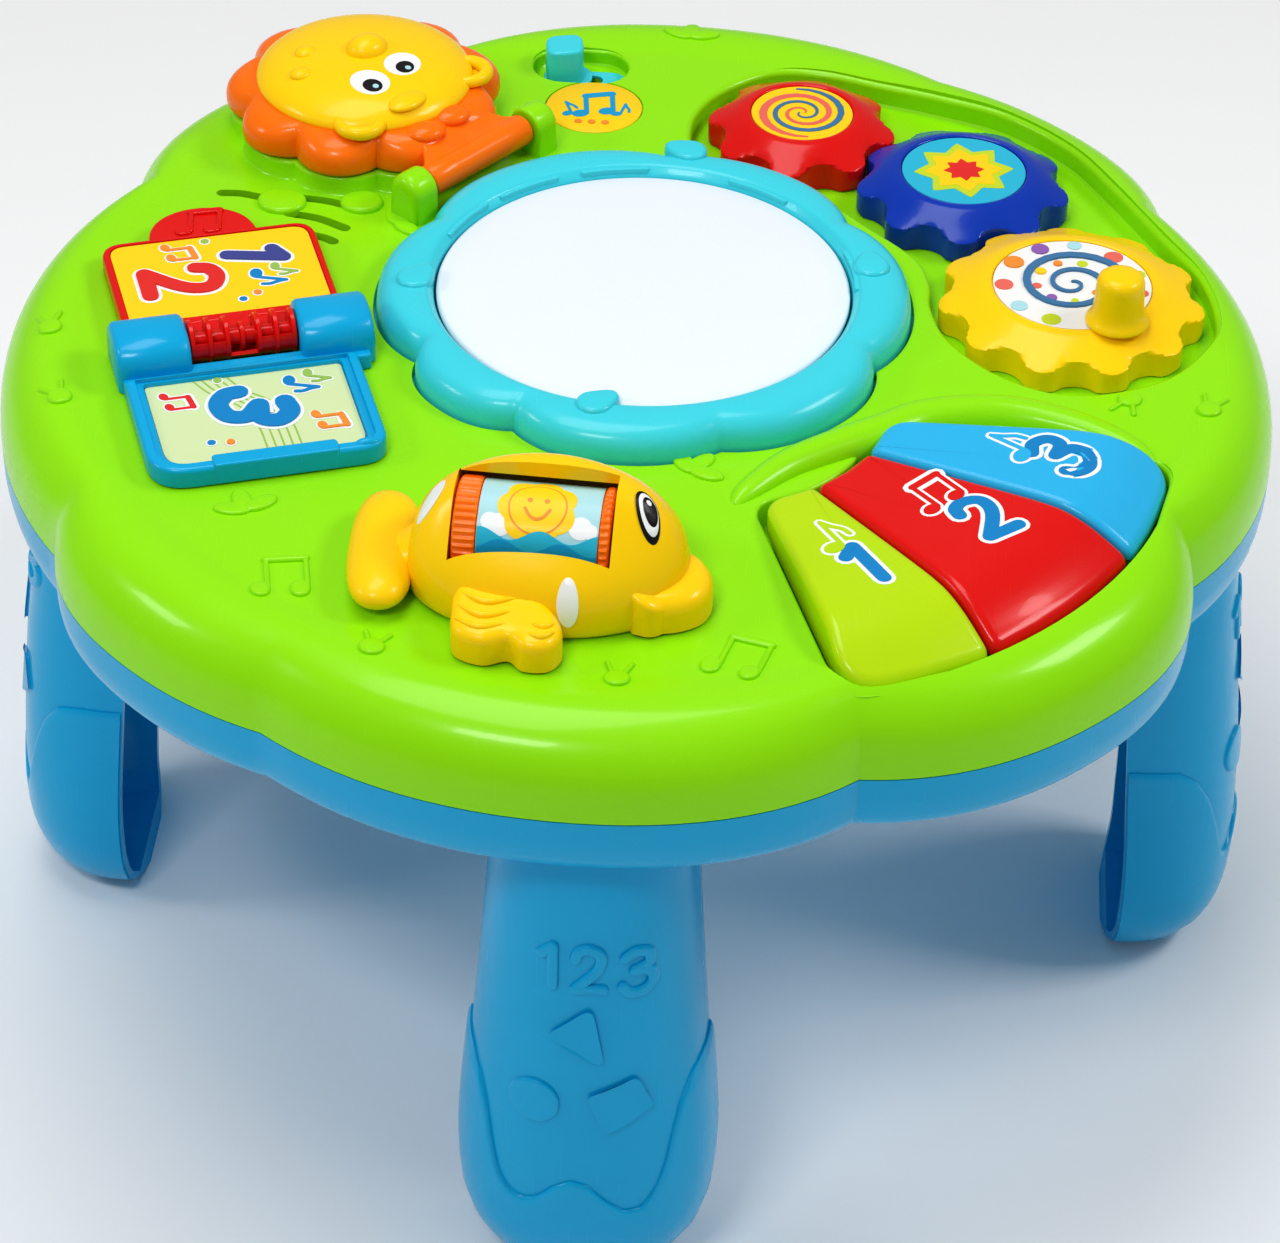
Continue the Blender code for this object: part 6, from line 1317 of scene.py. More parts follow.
class TABLE_OT_keys(bpy.types.Operator):
    """Three sloped keys with rounded noses, each with a printed numeral and note"""
    bl_idname = "activity_table.keys"
    bl_label = "Keys"

    def execute(self, context):
        corners = {"green": (0.0150, 0.0030, 0.0085, 0.0025), "red": (0.0030, 0.0030, 0.0025, 0.0025),
                   "blue": (0.0030, 0.0130, 0.0025, 0.0090)}
        shares = (0.975, 0.95, 0.92, 0.885, 0.85, 0.81, 0.76, 0.70, 0.62, 0.52, 0.40, 0.26, 0.12)

        for name, (start, end) in KEY_ANGLES.items():
            body = name + "_key"
            outline = key_outline(start, end, corners[name])
            bm = crowned(outline, 0.1674, key_height, 0.0022, shares)
            finished(body + "_moulding", bm, body, KEY_FINISHES[name], "key_" + name, angle=50, even=True)
            number, centre, heading, spot, kind = KEY_PRINTS[name]
            size = 0.0150
            corner = along(heading + 90, -size / 2, along(heading, -size * 0.3, centre))
            printed(body + "_print_", body, over(key_height), (
                ("ink_white", numeral(number, corner, size, heading, 0.0034, 0.0010)
                 + tune(kind, spot, 0.0120, heading, 0.0006)),
                ("ink_blue", numeral(number, corner, size, heading, 0.0034)),
                (KEY_FINISHES[name], tune(kind, spot, 0.0120, heading, -0.0002))))
        return {"FINISHED"}


# Lid seen from its middle: outer and notch radius of the petals, then height
MANE_ROWS = (
    (0.0338, 0.0296, 0.1753), (0.0349, 0.0303, 0.1757), (0.0356, 0.0308, 0.1765),
    (0.0358, 0.0309, 0.1780), (0.0357, 0.0308, 0.1796), (0.0352, 0.0305, 0.1811),
    (0.0342, 0.0300, 0.1824), (0.0328, 0.0294, 0.1835), (0.0312, 0.0287, 0.1842),
    (0.0297, 0.0281, 0.1846), (0.0284, 0.0276, 0.1847),
)
# Face of the lid: radius and height
FACE_ROWS = (
    (0.0274, 0.1843), (0.0278, 0.1848), (0.0277, 0.1855), (0.0271, 0.1865), (0.0258, 0.1877),
    (0.0238, 0.1889), (0.0208, 0.1900), (0.0170, 0.1909), (0.0125, 0.1916), (0.0075, 0.1920),
    (0.0, 0.1921),
)
# Eyes of the lid: middle, heading of the long side, half sizes
EYES = (((-0.0739, 0.0760), -20, 0.0052, 0.0046), ((-0.0667, 0.0851), 70, 0.0052, 0.0046))
LID_EARS = (((-0.0752, 0.0644), -84), ((-0.0512, 0.0920), 4))


def face_height(x, y):
    return blended(FACE_ROWS[:0:-1], math.hypot(x - LION[0], y - LION[1]))[0]


class TABLE_OT_lid(bpy.types.Operator):
    """Petalled orange lid with its arm and barrel, and the yellow face with its eyes and ears"""
    bl_idname = "activity_table.lid"
    bl_label = "Lid"

    def execute(self, context):
        each = 20
        count = 9 * each
        rings = []
        for radius, height in ((0.0020, 0.1816), (0.0236, 0.1816), (0.0244, 0.1808), (0.0244, 0.1722),
                               (0.0248, 0.1718), (0.0258, 0.1718), (0.0262, 0.1722), (0.0262, 0.1752)):
            rings.append(ring(oval(LION, radius, radius, LION_TURN, count), height))
        for outer, notch, height in smooth_line(MANE_ROWS, 2):
            rings.append(ring(petals(LION, outer, notch, LION_TURN, points=each, power=2.0), height))
        for radius, height in ((0.0268, 0.1846), (0.0240, 0.1845), (0.0020, 0.1845)):
            rings.append(ring(oval(LION, radius, radius, LION_TURN, count), height))
        mane = skin(rings)

        arm_rings = []
        for reach, half, low, high, edge in (
                (0.0255, 0.0100, 0.1768, 0.1838, 0.0015), (0.0300, 0.0112, 0.1768, 0.1834, 0.0015),
                (0.0330, 0.0128, 0.1762, 0.1822, 0.0012), (0.0355, 0.0150, 0.1752, 0.1810, 0.0010),
                (0.0375, 0.0172, 0.1745, 0.1811, 0.0009), (0.0392, 0.0176, 0.1743, 0.1810, 0.0009)):
            centre = along(LION_TURN, reach, LION)
            section = []
            for side_x, side_z, first in ((1, 1, 0), (-1, 1, 90), (-1, -1, 180), (1, -1, 270)):
                for step in range(5):
                    swing = along(first + 90 * step / 4, edge)
                    across = side_x * (half - edge) + swing[0]
                    height = (high - edge if side_z > 0 else low + edge) + swing[1]
                    section.append((*along(HINGE_LINE, across, centre), height))
            arm_rings.append(section)
        ends = [(*along(HINGE_LINE, side * 0.0178, HINGE), HINGE_HEIGHT) for side in (-1, 1)]
        barrel = tube([Vector(ends[0]).lerp(Vector(ends[1]), share) for share in
                       (0, 0.006, 0.02, 0.25, 0.5, 0.75, 0.98, 0.994, 1)],
                      (0.0030, 0.0038, 0.0041, 0.0041, 0.0041, 0.0041, 0.0041, 0.0038, 0.0030), 28)
        bumps = []
        for spot in ((-0.0589, 0.0657), (-0.0535, 0.0740)):
            bumps.append(ball((*spot, 0.1838), (0.0052, 0.0040, 0.0022), LION_TURN + 60))
        finished("lid_mane", merged(mane, skin(arm_rings), barrel, *bumps), "lid", "orange_plastic",
                 "lion_mane", angle=60)

        parts = [lathe(((0, 0.1843), *FACE_ROWS), LION, 96)]
        for spot, size, tall in (((-0.0765, 0.0909), 0.0056, 0.0040), ((-0.0919, 0.0891), 0.0030, 0.0016),
                                 ((-0.0919, 0.0795), 0.0030, 0.0016)):
            parts.append(ball((*spot, face_height(*spot) - 0.0003), (size, size * 0.86, tall), 40))
        chin = (-0.0640, 0.0715)
        parts.append(ball((*chin, face_height(*chin) - 0.0004), (0.0058, 0.0036, 0.0016), 50))
        for centre, heading in LID_EARS:
            path = []
            for step in range(25):
                spot = along(heading - 125 + 250 * step / 24, 0.0053, centre)
                path.append((*spot, 0.1862))
            swell = [0.0009 + 0.0009 * math.sin(math.pi * step / 24) ** 0.5 for step in range(25)]
            parts.append(tube(path, swell, 16))
            parts.append(draped(disc(centre, 0.0048, 32), level_at(0.1846), -0.0005, 0.0004, 0.0002))
        finished("lid_face", merged(*parts), "lid", "yellow_plastic", "lion_face", angle=55)

        whites, pupils, glints = [], [], []
        for spot, heading, long_half, short_half in EYES:
            whites.append(oval(spot, long_half, short_half, heading, 40))
            look = along(-60, 0.0016, spot)
            pupils.append(oval(look, 0.0026, 0.0023, heading, 32))
            glints.append(disc(along(-20, 0.0009, look), 0.0008, 20))
        printed("lid_eyes_", "lid", over(face_height),
                (("ink_white", whites), ("ink_black", pupils), ("ink_pale", glints)))
        return {"FINISHED"}


# Plates of the book: left, right, near and far edge
TRAY = (-0.1250, -0.0690, -0.0380, 0.0015)
PAGE = (-0.1215, -0.0685, 0.0250, 0.0600)
# White edge round the printed numerals and notes
HALO = 0.0009
NOTE_EDGE = 0.00045
# First line of the printed stave
STAVE = ((-0.1092, 0.0006), (-0.1058, -0.0060), (-0.1000, -0.0125), (-0.0972, -0.0210), (-0.0966, -0.0315))
# Notes and dots of the sheets by ink
TRAY_NOTES = {"ink_red": ("pair", (-0.1139, -0.0075), 0.0068, -90),
              "ink_blue": ("quaver", (-0.0839, -0.0071), 0.0082, -112),
              "ink_green": ("quaver", (-0.0797, -0.0045), 0.0064, -112),
              "ink_orange": ("pair", (-0.0803, -0.0225), 0.0070, -90)}
TRAY_DOTS = {"ink_blue": (-0.1090, -0.0258), "ink_orange": (-0.1046, -0.0266),
             "ink_green": (-0.1032, -0.0012)}
PAGE_NOTES = {"ink_blue": ("quaver", (-0.0833, 0.0370), 0.0086, -112),
              "ink_green": ("quaver", (-0.0790, 0.0397), 0.0064, -112),
              "ink_orange": ("pair", (-0.1030, 0.0525), 0.0072, -90)}
PAGE_DOTS = {"ink_green": (-0.0960, 0.0560), "ink_blue": (-0.0913, 0.0290),
             "ink_orange": (-0.0874, 0.0310)}
# Numerals of the sheets: number, corner, size, heading and width of the stroke
TRAY_THREE = (3, (-0.1018, -0.0056), 0.0170, -118, 0.0048)
PAGE_ONE = (1, (-0.0908, 0.0535), 0.0145, -105, 0.0036)
PAGE_TWO = (2, (-0.1133, 0.0454), 0.0175, -90, 0.0040)
# Spine of the book: how far from the middle of the table and how high; then the faces of the tray
SPINE_ACROSS = 0.0120
SPINE_HEIGHT = 0.1765
TRAY_TOP = 0.1755
TRAY_FLOOR = 0.1730


def note_layers(notes, dots, before=(), after=()):
    """White edge under every shape of a sheet, then its notes and dots ink by ink."""
    halo = list(before)
    for tune_of_ink in notes.values():
        halo += tune(*tune_of_ink, NOTE_EDGE)
    halo += [disc(spot, 0.0014) for spot in dots.values()]
    layers = [("ink_white", halo + list(after))]
    for ink, tune_of_ink in notes.items():
        layers.append((ink, tune(*tune_of_ink) + ([disc(dots[ink], 0.0010)] if ink in dots else [])))
    return layers


def on_book(outline):
    return [book(across, forward) for across, forward in outline]


def book_plate(left, right, near, far, radii):
    """Outline of a plate on the book with its own rounding at each corner."""
    corners = (((left, near), radii[0]), ((right, near), radii[1]), ((right, far), radii[2]),
               ((left, far), radii[3]))
    return filleted(corners, 9)


def book_level(height):
    def place(across, forward, lift):
        return (*book(across, forward), height + lift)
    return place


def hinge_block(left, right):
    """Rounded block that carries one end of the spine."""
    rings = []
    for across, inset in ((left, 0.0012), (left + 0.0004, 0.0005), (left + 0.0012, 0.0),
                          (right - 0.0012, 0.0), (right - 0.0004, 0.0005), (right, 0.0012)):
        section = []
        half = 0.0092 - inset
        for step in range(25):
            swing = math.pi * step / 24
            forward = math.copysign(abs(math.cos(swing)) ** 0.72, math.cos(swing)) * half
            height = 0.1745 + abs(math.sin(swing)) ** 0.8 * (0.0075 - inset)
            section.append((*book(across, SPINE_ACROSS + forward), height))
        section += [(*book(across, SPINE_ACROSS + side), 0.1704) for side in (-half, half)]
        rings.append(section)
    return skin(rings)


class TABLE_OT_book_base(bpy.types.Operator):
    """Blue tray of the book with its raised rim, hinge blocks and printed sheet"""
    bl_idname = "activity_table.book_base"
    bl_label = "Book base"

    def execute(self, context):
        left, right, near, far = TRAY
        rim = 0.0042
        radii = (0.0100, 0.0070, 0.0020, 0.0020)
        outer = on_book(book_plate(left, right, near, far, radii))
        rings = rounded_rings(outer, 0.1703, TRAY_TOP, 0.0011, 0.0004)[:-1]
        for inset, height in ((0.0024, TRAY_TOP), (0.0026, TRAY_TOP - 0.0010), (0.0040, TRAY_TOP - 0.0010),
                              (0.0042, TRAY_TOP - 0.0012), (0.0042, TRAY_FLOOR)):
            line = book_plate(left + inset, right - inset, near + inset, far - inset * 0.4,
                              [max(radius - inset, 0.0006) for radius in radii])
            rings.append(ring(on_book(line), height))
        parts = [skin(rings)]
        front = on_book(book_plate(-0.1105, -0.0810, near - 0.0002, near + rim + 0.0002,
                                   (0.0012, 0.0012, 0.0012, 0.0012)))
        parts.append(slab(front, 0.1708, TRAY_TOP + 0.0005, 0.0005))
        parts.append(ball((*book(-0.0742, near + 0.0022), TRAY_TOP - 0.0004), (0.0030, 0.0013, 0.0012),
                          BOOK_TURN))
        neck = on_book(book_plate(-0.1250, -0.0655, 0.0005, 0.0062, (0.0012, 0.0012, 0.0012, 0.0012)))
        parts.append(slab(neck, 0.1703, 0.1742, 0.0006))
        parts += [hinge_block(-0.1260, -0.1082), hinge_block(-0.0818, -0.0640)]
        finished("book_tray", merged(*parts), "table", "blue_plastic", "book_base", angle=45)

        sheet = on_book(book_plate(left + rim + 0.0003, right - rim - 0.0003, near + rim + 0.0003,
                                   far - rim * 0.4, (0.0072, 0.0045, 0.0012, 0.0012)))
        paper = TRAY_FLOOR + 0.0004
        finished("tray_sheet", slab(sheet, TRAY_FLOOR, paper), "table", "ink_mint", "tray_label")
        staves = []
        for index in range(5):
            drop = 0.0020 * index
            staves.append(ribbon([(across + drop, deep) for across, deep in STAVE], 0.0004, 3, 6))
        notes = note_layers(TRAY_NOTES, TRAY_DOTS, after=numeral(*TRAY_THREE, HALO))
        printed("tray_print_", "table", book_level(paper),
                [("ink_green", staves), *notes, ("ink_blue", numeral(*TRAY_THREE))])
        return {"FINISHED"}


class TABLE_OT_book_page(bpy.types.Operator):
    """Red page with its tab, comb spine and printed sheet"""
    bl_idname = "activity_table.book_page"
    bl_label = "Book page"

    def execute(self, context):
        left, right, near, far = PAGE
        top = 0.1755
        centre = -0.0955
        plate = on_book(book_plate(left, right, near - 0.0040, far, (0.0020, 0.0020, 0.0058, 0.0058)))
        tab_line = []
        for step in range(37):
            swing = math.pi * step / 36
            tab_line.append((centre + 0.0136 * math.cos(swing),
                             far - 0.0020 + 0.0155 * math.sin(swing) ** 0.75))
        tab = on_book([(centre + 0.0136, far - 0.0060), *tab_line, (centre - 0.0136, far - 0.0060)])
        recess = on_book(book_plate(left + 0.0016, right - 0.0016, near - 0.0012, far - 0.0016,
                                    (0.0010, 0.0010, 0.0046, 0.0046)))
        page = carved(slab(plate, 0.1707, top, 0.0010, 0.0004),
                      removed=[slab(recess, top - 0.0006, 0.1800)])
        parts = [page, slab(tab, 0.1707, top - 0.0010, 0.0010, 0.0004)]
        tab_place = book_level(top - 0.0010)
        for index, shape in enumerate(tune("pair", (centre, far + 0.0062), 0.0105, -12)):
            parts.append(draped(shape, tab_place, -0.0005, 0.0007 + index * 0.000004, 0.0005))

        def spine_spot(across, swing, reach):
            deep, rise = along(swing, reach)
            return Vector((*book(across, SPINE_ACROSS + deep), SPINE_HEIGHT + rise))

        parts.append(rod(spine_spot(-0.1079, 0, 0), spine_spot(-0.0821, 0, 0), 0.0020, 24))
        for across, reach in ((-0.1072, 0.0052), (-0.1030, 0.0054), (-0.0988, 0.0052), (-0.0950, 0.0034),
                              (-0.0912, 0.0052), (-0.0870, 0.0054), (-0.0828, 0.0052)):
            path = [spine_spot(across + step, 0, 0) for step in (-0.0006, -0.00045, 0.00045, 0.0006)]
            parts.append(tube(path, (reach - 0.0003, reach, reach, reach - 0.0003), 36))
        for first, last, crest in ((-0.1072, -0.0988, 158), (-0.0988, -0.0912, 212), (-0.0912, -0.0828, 158)):
            swings = [crest + (335 - crest) * step / 16 for step in range(17)]
            parts.append(skin([[spine_spot(across, swing, 0.0050) for swing in swings]
                               + [spine_spot(across, swing, 0.0040) for swing in reversed(swings)]
                               for across in (first, last)]))
        for low_across, high_across in ((-0.1079, -0.0976), (-0.0924, -0.0821)):
            web = on_book(book_plate(low_across, high_across, SPINE_ACROSS + 0.0036, near - 0.0030,
                                     (0.0010, 0.0010, 0.0010, 0.0010)))
            parts.append(slab(web, 0.1720, 0.1752, 0.0004))
        bridge = on_book(book_plate(-0.0982, -0.0918, SPINE_ACROSS + 0.0010, near - 0.0028,
                                    (0.0010, 0.0010, 0.0010, 0.0010)))
        parts.append(slab(bridge, 0.1718, 0.1762, 0.0004))
        finished("page_moulding", merged(*parts), "page", "red_plastic", "book_page", angle=45)

        sheet = on_book(book_plate(left + 0.0019, right - 0.0019, near - 0.0010, far - 0.0019,
                                   (0.0008, 0.0008, 0.0043, 0.0043)))
        low = top - 0.0006
        finished("page_sheet", slab(sheet, low, low + 0.0004), "page", "ink_yellow", "page_label")
        halo = numeral(*PAGE_ONE, HALO) + numeral(*PAGE_TWO, HALO)
        notes = note_layers(PAGE_NOTES, PAGE_DOTS, before=halo)
        printed("page_print_", "page", book_level(low + 0.0004),
                [*notes, ("ink_navy", numeral(*PAGE_ONE)), ("ink_red", numeral(*PAGE_TWO))])
        return {"FINISHED"}


# Fish seen from its middle: heading and outline
FISH_TURN = -3.0
FISH_LINE = (
    (-0.0315, 0.0000), (-0.0295, -0.0105), (-0.0200, -0.0182), (-0.0060, -0.0212), (0.0090, -0.0208),
    (0.0220, -0.0158), (0.0295, -0.0086), (0.0315, 0.0000), (0.0290, 0.0095), (0.0210, 0.0165),
    (0.0080, 0.0208), (-0.0070, 0.0210), (-0.0210, 0.0170), (-0.0300, 0.0090),
)
# Rows of the fish: rise, then the scale along it, toward the front and toward the back
FISH_ROWS = (
    (0.0003, 0.950, 0.950, 0.950), (0.0012, 0.985, 0.985, 0.985), (0.0030, 1.000, 1.000, 1.000),
    (0.0060, 1.005, 1.000, 1.000), (0.0090, 1.000, 0.975, 0.980), (0.0120, 0.985, 0.915, 0.940),
    (0.0150, 0.955, 0.820, 0.885), (0.0180, 0.910, 0.700, 0.815), (0.0210, 0.845, 0.575, 0.735),
    (0.0240, 0.755, 0.450, 0.645), (0.0262, 0.660, 0.355, 0.565), (0.0280, 0.545, 0.275, 0.490),
    (0.0291, 0.420, 0.200, 0.425), (0.0297, 0.280, 0.130, 0.370), (0.0300, 0.120, 0.060, 0.320),
)
# Lines on the table of the tail, flipper, beak and cheek fin
TAIL_BAR = (
    (-0.0490, -0.0775), (-0.0505, -0.0825), (-0.0512, -0.0900), (-0.0512, -0.0975), (-0.0508, -0.1050),
    (-0.0498, -0.1125), (-0.0480, -0.1180),
)
FLIPPER_LINE = (
    (-0.0315, -0.1160), (-0.0328, -0.1240), (-0.0312, -0.1300), (-0.0250, -0.1326), (-0.0196, -0.1306),
    (-0.0160, -0.1338), (-0.0105, -0.1335), (-0.0078, -0.1290), (-0.0088, -0.1240), (-0.0130, -0.1190),
    (-0.0200, -0.1130),
)
BEAK_LINE = (
    (0.0060, -0.0950), (0.0140, -0.0942), (0.0200, -0.0966), (0.0236, -0.1025), (0.0238, -0.1090),
    (0.0208, -0.1142), (0.0140, -0.1172), (0.0060, -0.1165),
)
CHEEK_LINE = (
    (0.0035, -0.1130), (0.0066, -0.1172), (0.0104, -0.1188), (0.0136, -0.1172), (0.0148, -0.1130),
    (0.0138, -0.1070), (0.0110, -0.1020), (0.0078, -0.1025),
)
# Half length and radius of the roller, and how far prints stand off the fish
ROLLER_HALF = 0.0175
ROLLER_RADIUS = 0.0116
PRINT_RISE = 0.0003
FISH_EDGE = smooth_loop(FISH_LINE, 8)
FISH_FINE = smooth_line(FISH_ROWS, 2)


def fish_spot(x, y):
    """Place on the table of a spot given from the middle of the fish."""
    return turn((FISH[0] + x, FISH[1] + y), FISH_TURN, FISH)


def fish_reach(across, deep):
    """How far a spot is from the middle of the fish, as a share of its outline that way."""
    line = FISH_EDGE
    swing = math.atan2(deep, across)
    for first, second in zip(line, line[1:] + line[:1]):
        start = math.atan2(first[1], first[0])
        turned = (math.atan2(second[1], second[0]) - start) % math.tau
        part = ((swing - start) % math.tau) / turned
        if part <= 1:
            edge = Vector(first).lerp(Vector(second), part).length
            return math.hypot(across, deep) / edge
    return 0.0


def fish_height(x, y):
    """Height of the back of the fish over a place on the table."""
    near = turn((x, y), -FISH_TURN, FISH)
    across = near[0] - FISH[0]
    deep = near[1] - FISH[1]
    before = None
    for rise, scale, front, back in FISH_FINE[6:]:
        over = fish_reach(across / scale, deep / (front if deep < 0 else back)) - 1
        if over > 0:
            if before is None:
                return DECK + rise
            part = before[1] / (before[1] - over)
            return DECK + before[0] + (rise - before[0]) * part
        before = (rise, over)
    return DECK + FISH_ROWS[-1][0]


def fish_front(across, rise, lift):
    """Spot on the front wall of the fish."""
    scale, front, back = blended(FISH_FINE, rise)
    deep = 0.0
    near = sorted(spot for spot in FISH_EDGE if spot[1] < 0)
    for first, second in zip(near, near[1:]):
        if first[0] * scale <= across <= second[0] * scale:
            part = (across / scale - first[0]) / (second[0] - first[0])
            deep = first[1] + (second[1] - first[1]) * part
    lift += PRINT_RISE if lift > 0 else -PRINT_RISE
    return (*fish_spot(across, deep * front - lift), DECK + rise)


def roller_place(across, arc, lift):
    """Spot on the drum of the roller from its axis and from how far round the front it is."""
    swing = math.radians(62) + arc / ROLLER_RADIUS
    reach = ROLLER_RADIUS + lift
    middle = along(FISH_TURN, across, ROLLER[:2])
    x, y = along(FISH_TURN - 90, reach * math.cos(swing), middle)
    return (x, y, ROLLER[2] + reach * math.sin(swing))


def flipper_foot(y):
    """Height from which the flipper rises, higher toward the body."""
    return 0.1709 + max(0.0, y + 0.1265) * 0.22


def cut_fine(bm, gap):
    """Cut a body across so that it can bend round a drum."""
    spots = [vert.co.y for vert in bm.verts]
    count = int((max(spots) - min(spots)) / gap) + 1
    for index in range(1, count):
        level = min(spots) + index * (max(spots) - min(spots)) / count
        bmesh.ops.bisect_plane(bm, geom=bm.verts[:] + bm.edges[:] + bm.faces[:], dist=0.0000001,
                               plane_co=(0, level, 0), plane_no=(0, 1, 0))
    return bm


def wrapped(outline, low, high):
    """Flat shape cut into strips and laid round the roller."""
    bm = cut_fine(slab(outline, low, high), 0.0009)
    for vert in bm.verts:
        vert.co = roller_place(*vert.co)
    bmesh.ops.recalc_face_normals(bm, faces=bm.faces)
    if bm.calc_volume(signed=True) < 0:
        bmesh.ops.reverse_faces(bm, faces=bm.faces)
    return bm


class TABLE_OT_fish(bpy.types.Operator):
    """Yellow fish with its tail, flipper, beak, cheek fin, eye and white patches"""
    bl_idname = "activity_table.fish"
    bl_label = "Fish"

    def execute(self, context):
        rings = []
        for rise, scale, front, back in FISH_FINE:
            rings.append([(*fish_spot(x * scale, y * (front if y < 0 else back)), DECK + rise)
                          for x, y in FISH_EDGE])
        window_half = ROLLER_HALF + 0.0006
        way = [(*along(FISH_TURN, side * window_half, ROLLER[:2]), ROLLER[2]) for side in (-1, 1)]
        mouth = [turn((ROLLER[0] + side * window_half, ROLLER[1] + y), FISH_TURN, ROLLER[:2])
                 for side, y in ((-1, -0.0132), (1, -0.0132), (1, 0.0050), (-1, 0.0050))]
        body = carved(skin(rings), removed=[rod(way[0], way[1], 0.0132, 64), slab(mouth, ROLLER[2], 0.2100)])

        parts = [body]
        spine = smooth_line([(x, y, 0.1748) for x, y in TAIL_BAR], 10)
        swell = [max(0.0008, 0.0074 * (1 - abs(2 * step / (len(spine) - 1) - 1) ** 4) ** 0.5)
                 for step in range(len(spine))]
        parts.append(tube(spine, swell, 28, 0.60))
        neck = ((-0.0500, -0.0978, 0.1748), (-0.0455, -0.0978, 0.1750), (-0.0415, -0.0980, 0.1762),
                (-0.0370, -0.0984, 0.1780))
        parts.append(tube(neck, (0.0050, 0.0072, 0.0088, 0.0096), 24, 0.58))
        flipper = smooth_loop(FLIPPER_LINE, 5)
        parts.append(draped(flipper, over(lambda x, y: flipper_foot(y)), 0.0, 0.0080, 0.0026))
        for ends in (((-0.0315, -0.1262), (-0.0262, -0.1290), (-0.0205, -0.1272)),
                     ((-0.0312, -0.1225), (-0.0258, -0.1252), (-0.0195, -0.1236)),
                     ((-0.0306, -0.1190), (-0.0252, -0.1214), (-0.0186, -0.1198)),
                     ((-0.0152, -0.1302), (-0.0122, -0.1312), (-0.0095, -0.1292)),
                     ((-0.0146, -0.1268), (-0.0118, -0.1276), (-0.0098, -0.1262))):
            path = [(x, y, flipper_foot(y) + 0.0079) for x, y in smooth_line(ends, 4)]
            swell = [0.0002 + 0.0008 * math.sin(math.pi * step / 8) ** 0.7 for step in range(9)]
            parts.append(tube(path, swell, 10))
        beak = smooth_loop(BEAK_LINE, 5)
        parts.append(draped(beak, level_at(0.1707), 0.0, 0.0086, 0.0040))
        cheek = smooth_loop(CHEEK_LINE, 5)
        def cheek_place(x, y, lift):
            return (x, y, 0.1707 + lift * (1 + max(-0.30, (0.0070 - x) * 45)))

        parts.append(draped(cheek, cheek_place, 0.0, 0.0105, 0.0020))
        finished("fish_moulding", merged(*parts), "table", "yellow_plastic", "fish_body", angle=50)

        def back(x, y, lift):
            return (x, y, fish_height(x, y) + lift + (PRINT_RISE if lift > 0 else -PRINT_RISE))

        eye = (0.0090, -0.1046)
        printed("fish_print_", "table", back, (
            ("ink_white", [oval((-0.0395, -0.1000), 0.0024, 0.0044, -30, 32)]),
            ("ink_black", [oval(eye, 0.0026, 0.0048, 18, 40)]),
            ("ink_white", [oval((eye[0] + 0.0002, eye[1] + 0.0002), 0.0021, 0.0040, 18, 40)]),
            ("ink_black", [oval((eye[0] + 0.0005, eye[1] + 0.0005), 0.0016, 0.0028, 18, 32)]),
            ("ink_white", [disc((eye[0] + 0.0001, eye[1] + 0.0018), 0.0006, 16)])))
        patch = oval((0.0068, 0.0098), 0.0024, 0.0053, 4, 36)
        printed("fish_patch_", "table", fish_front, (("ink_white", [patch]),))
        return {"FINISHED"}


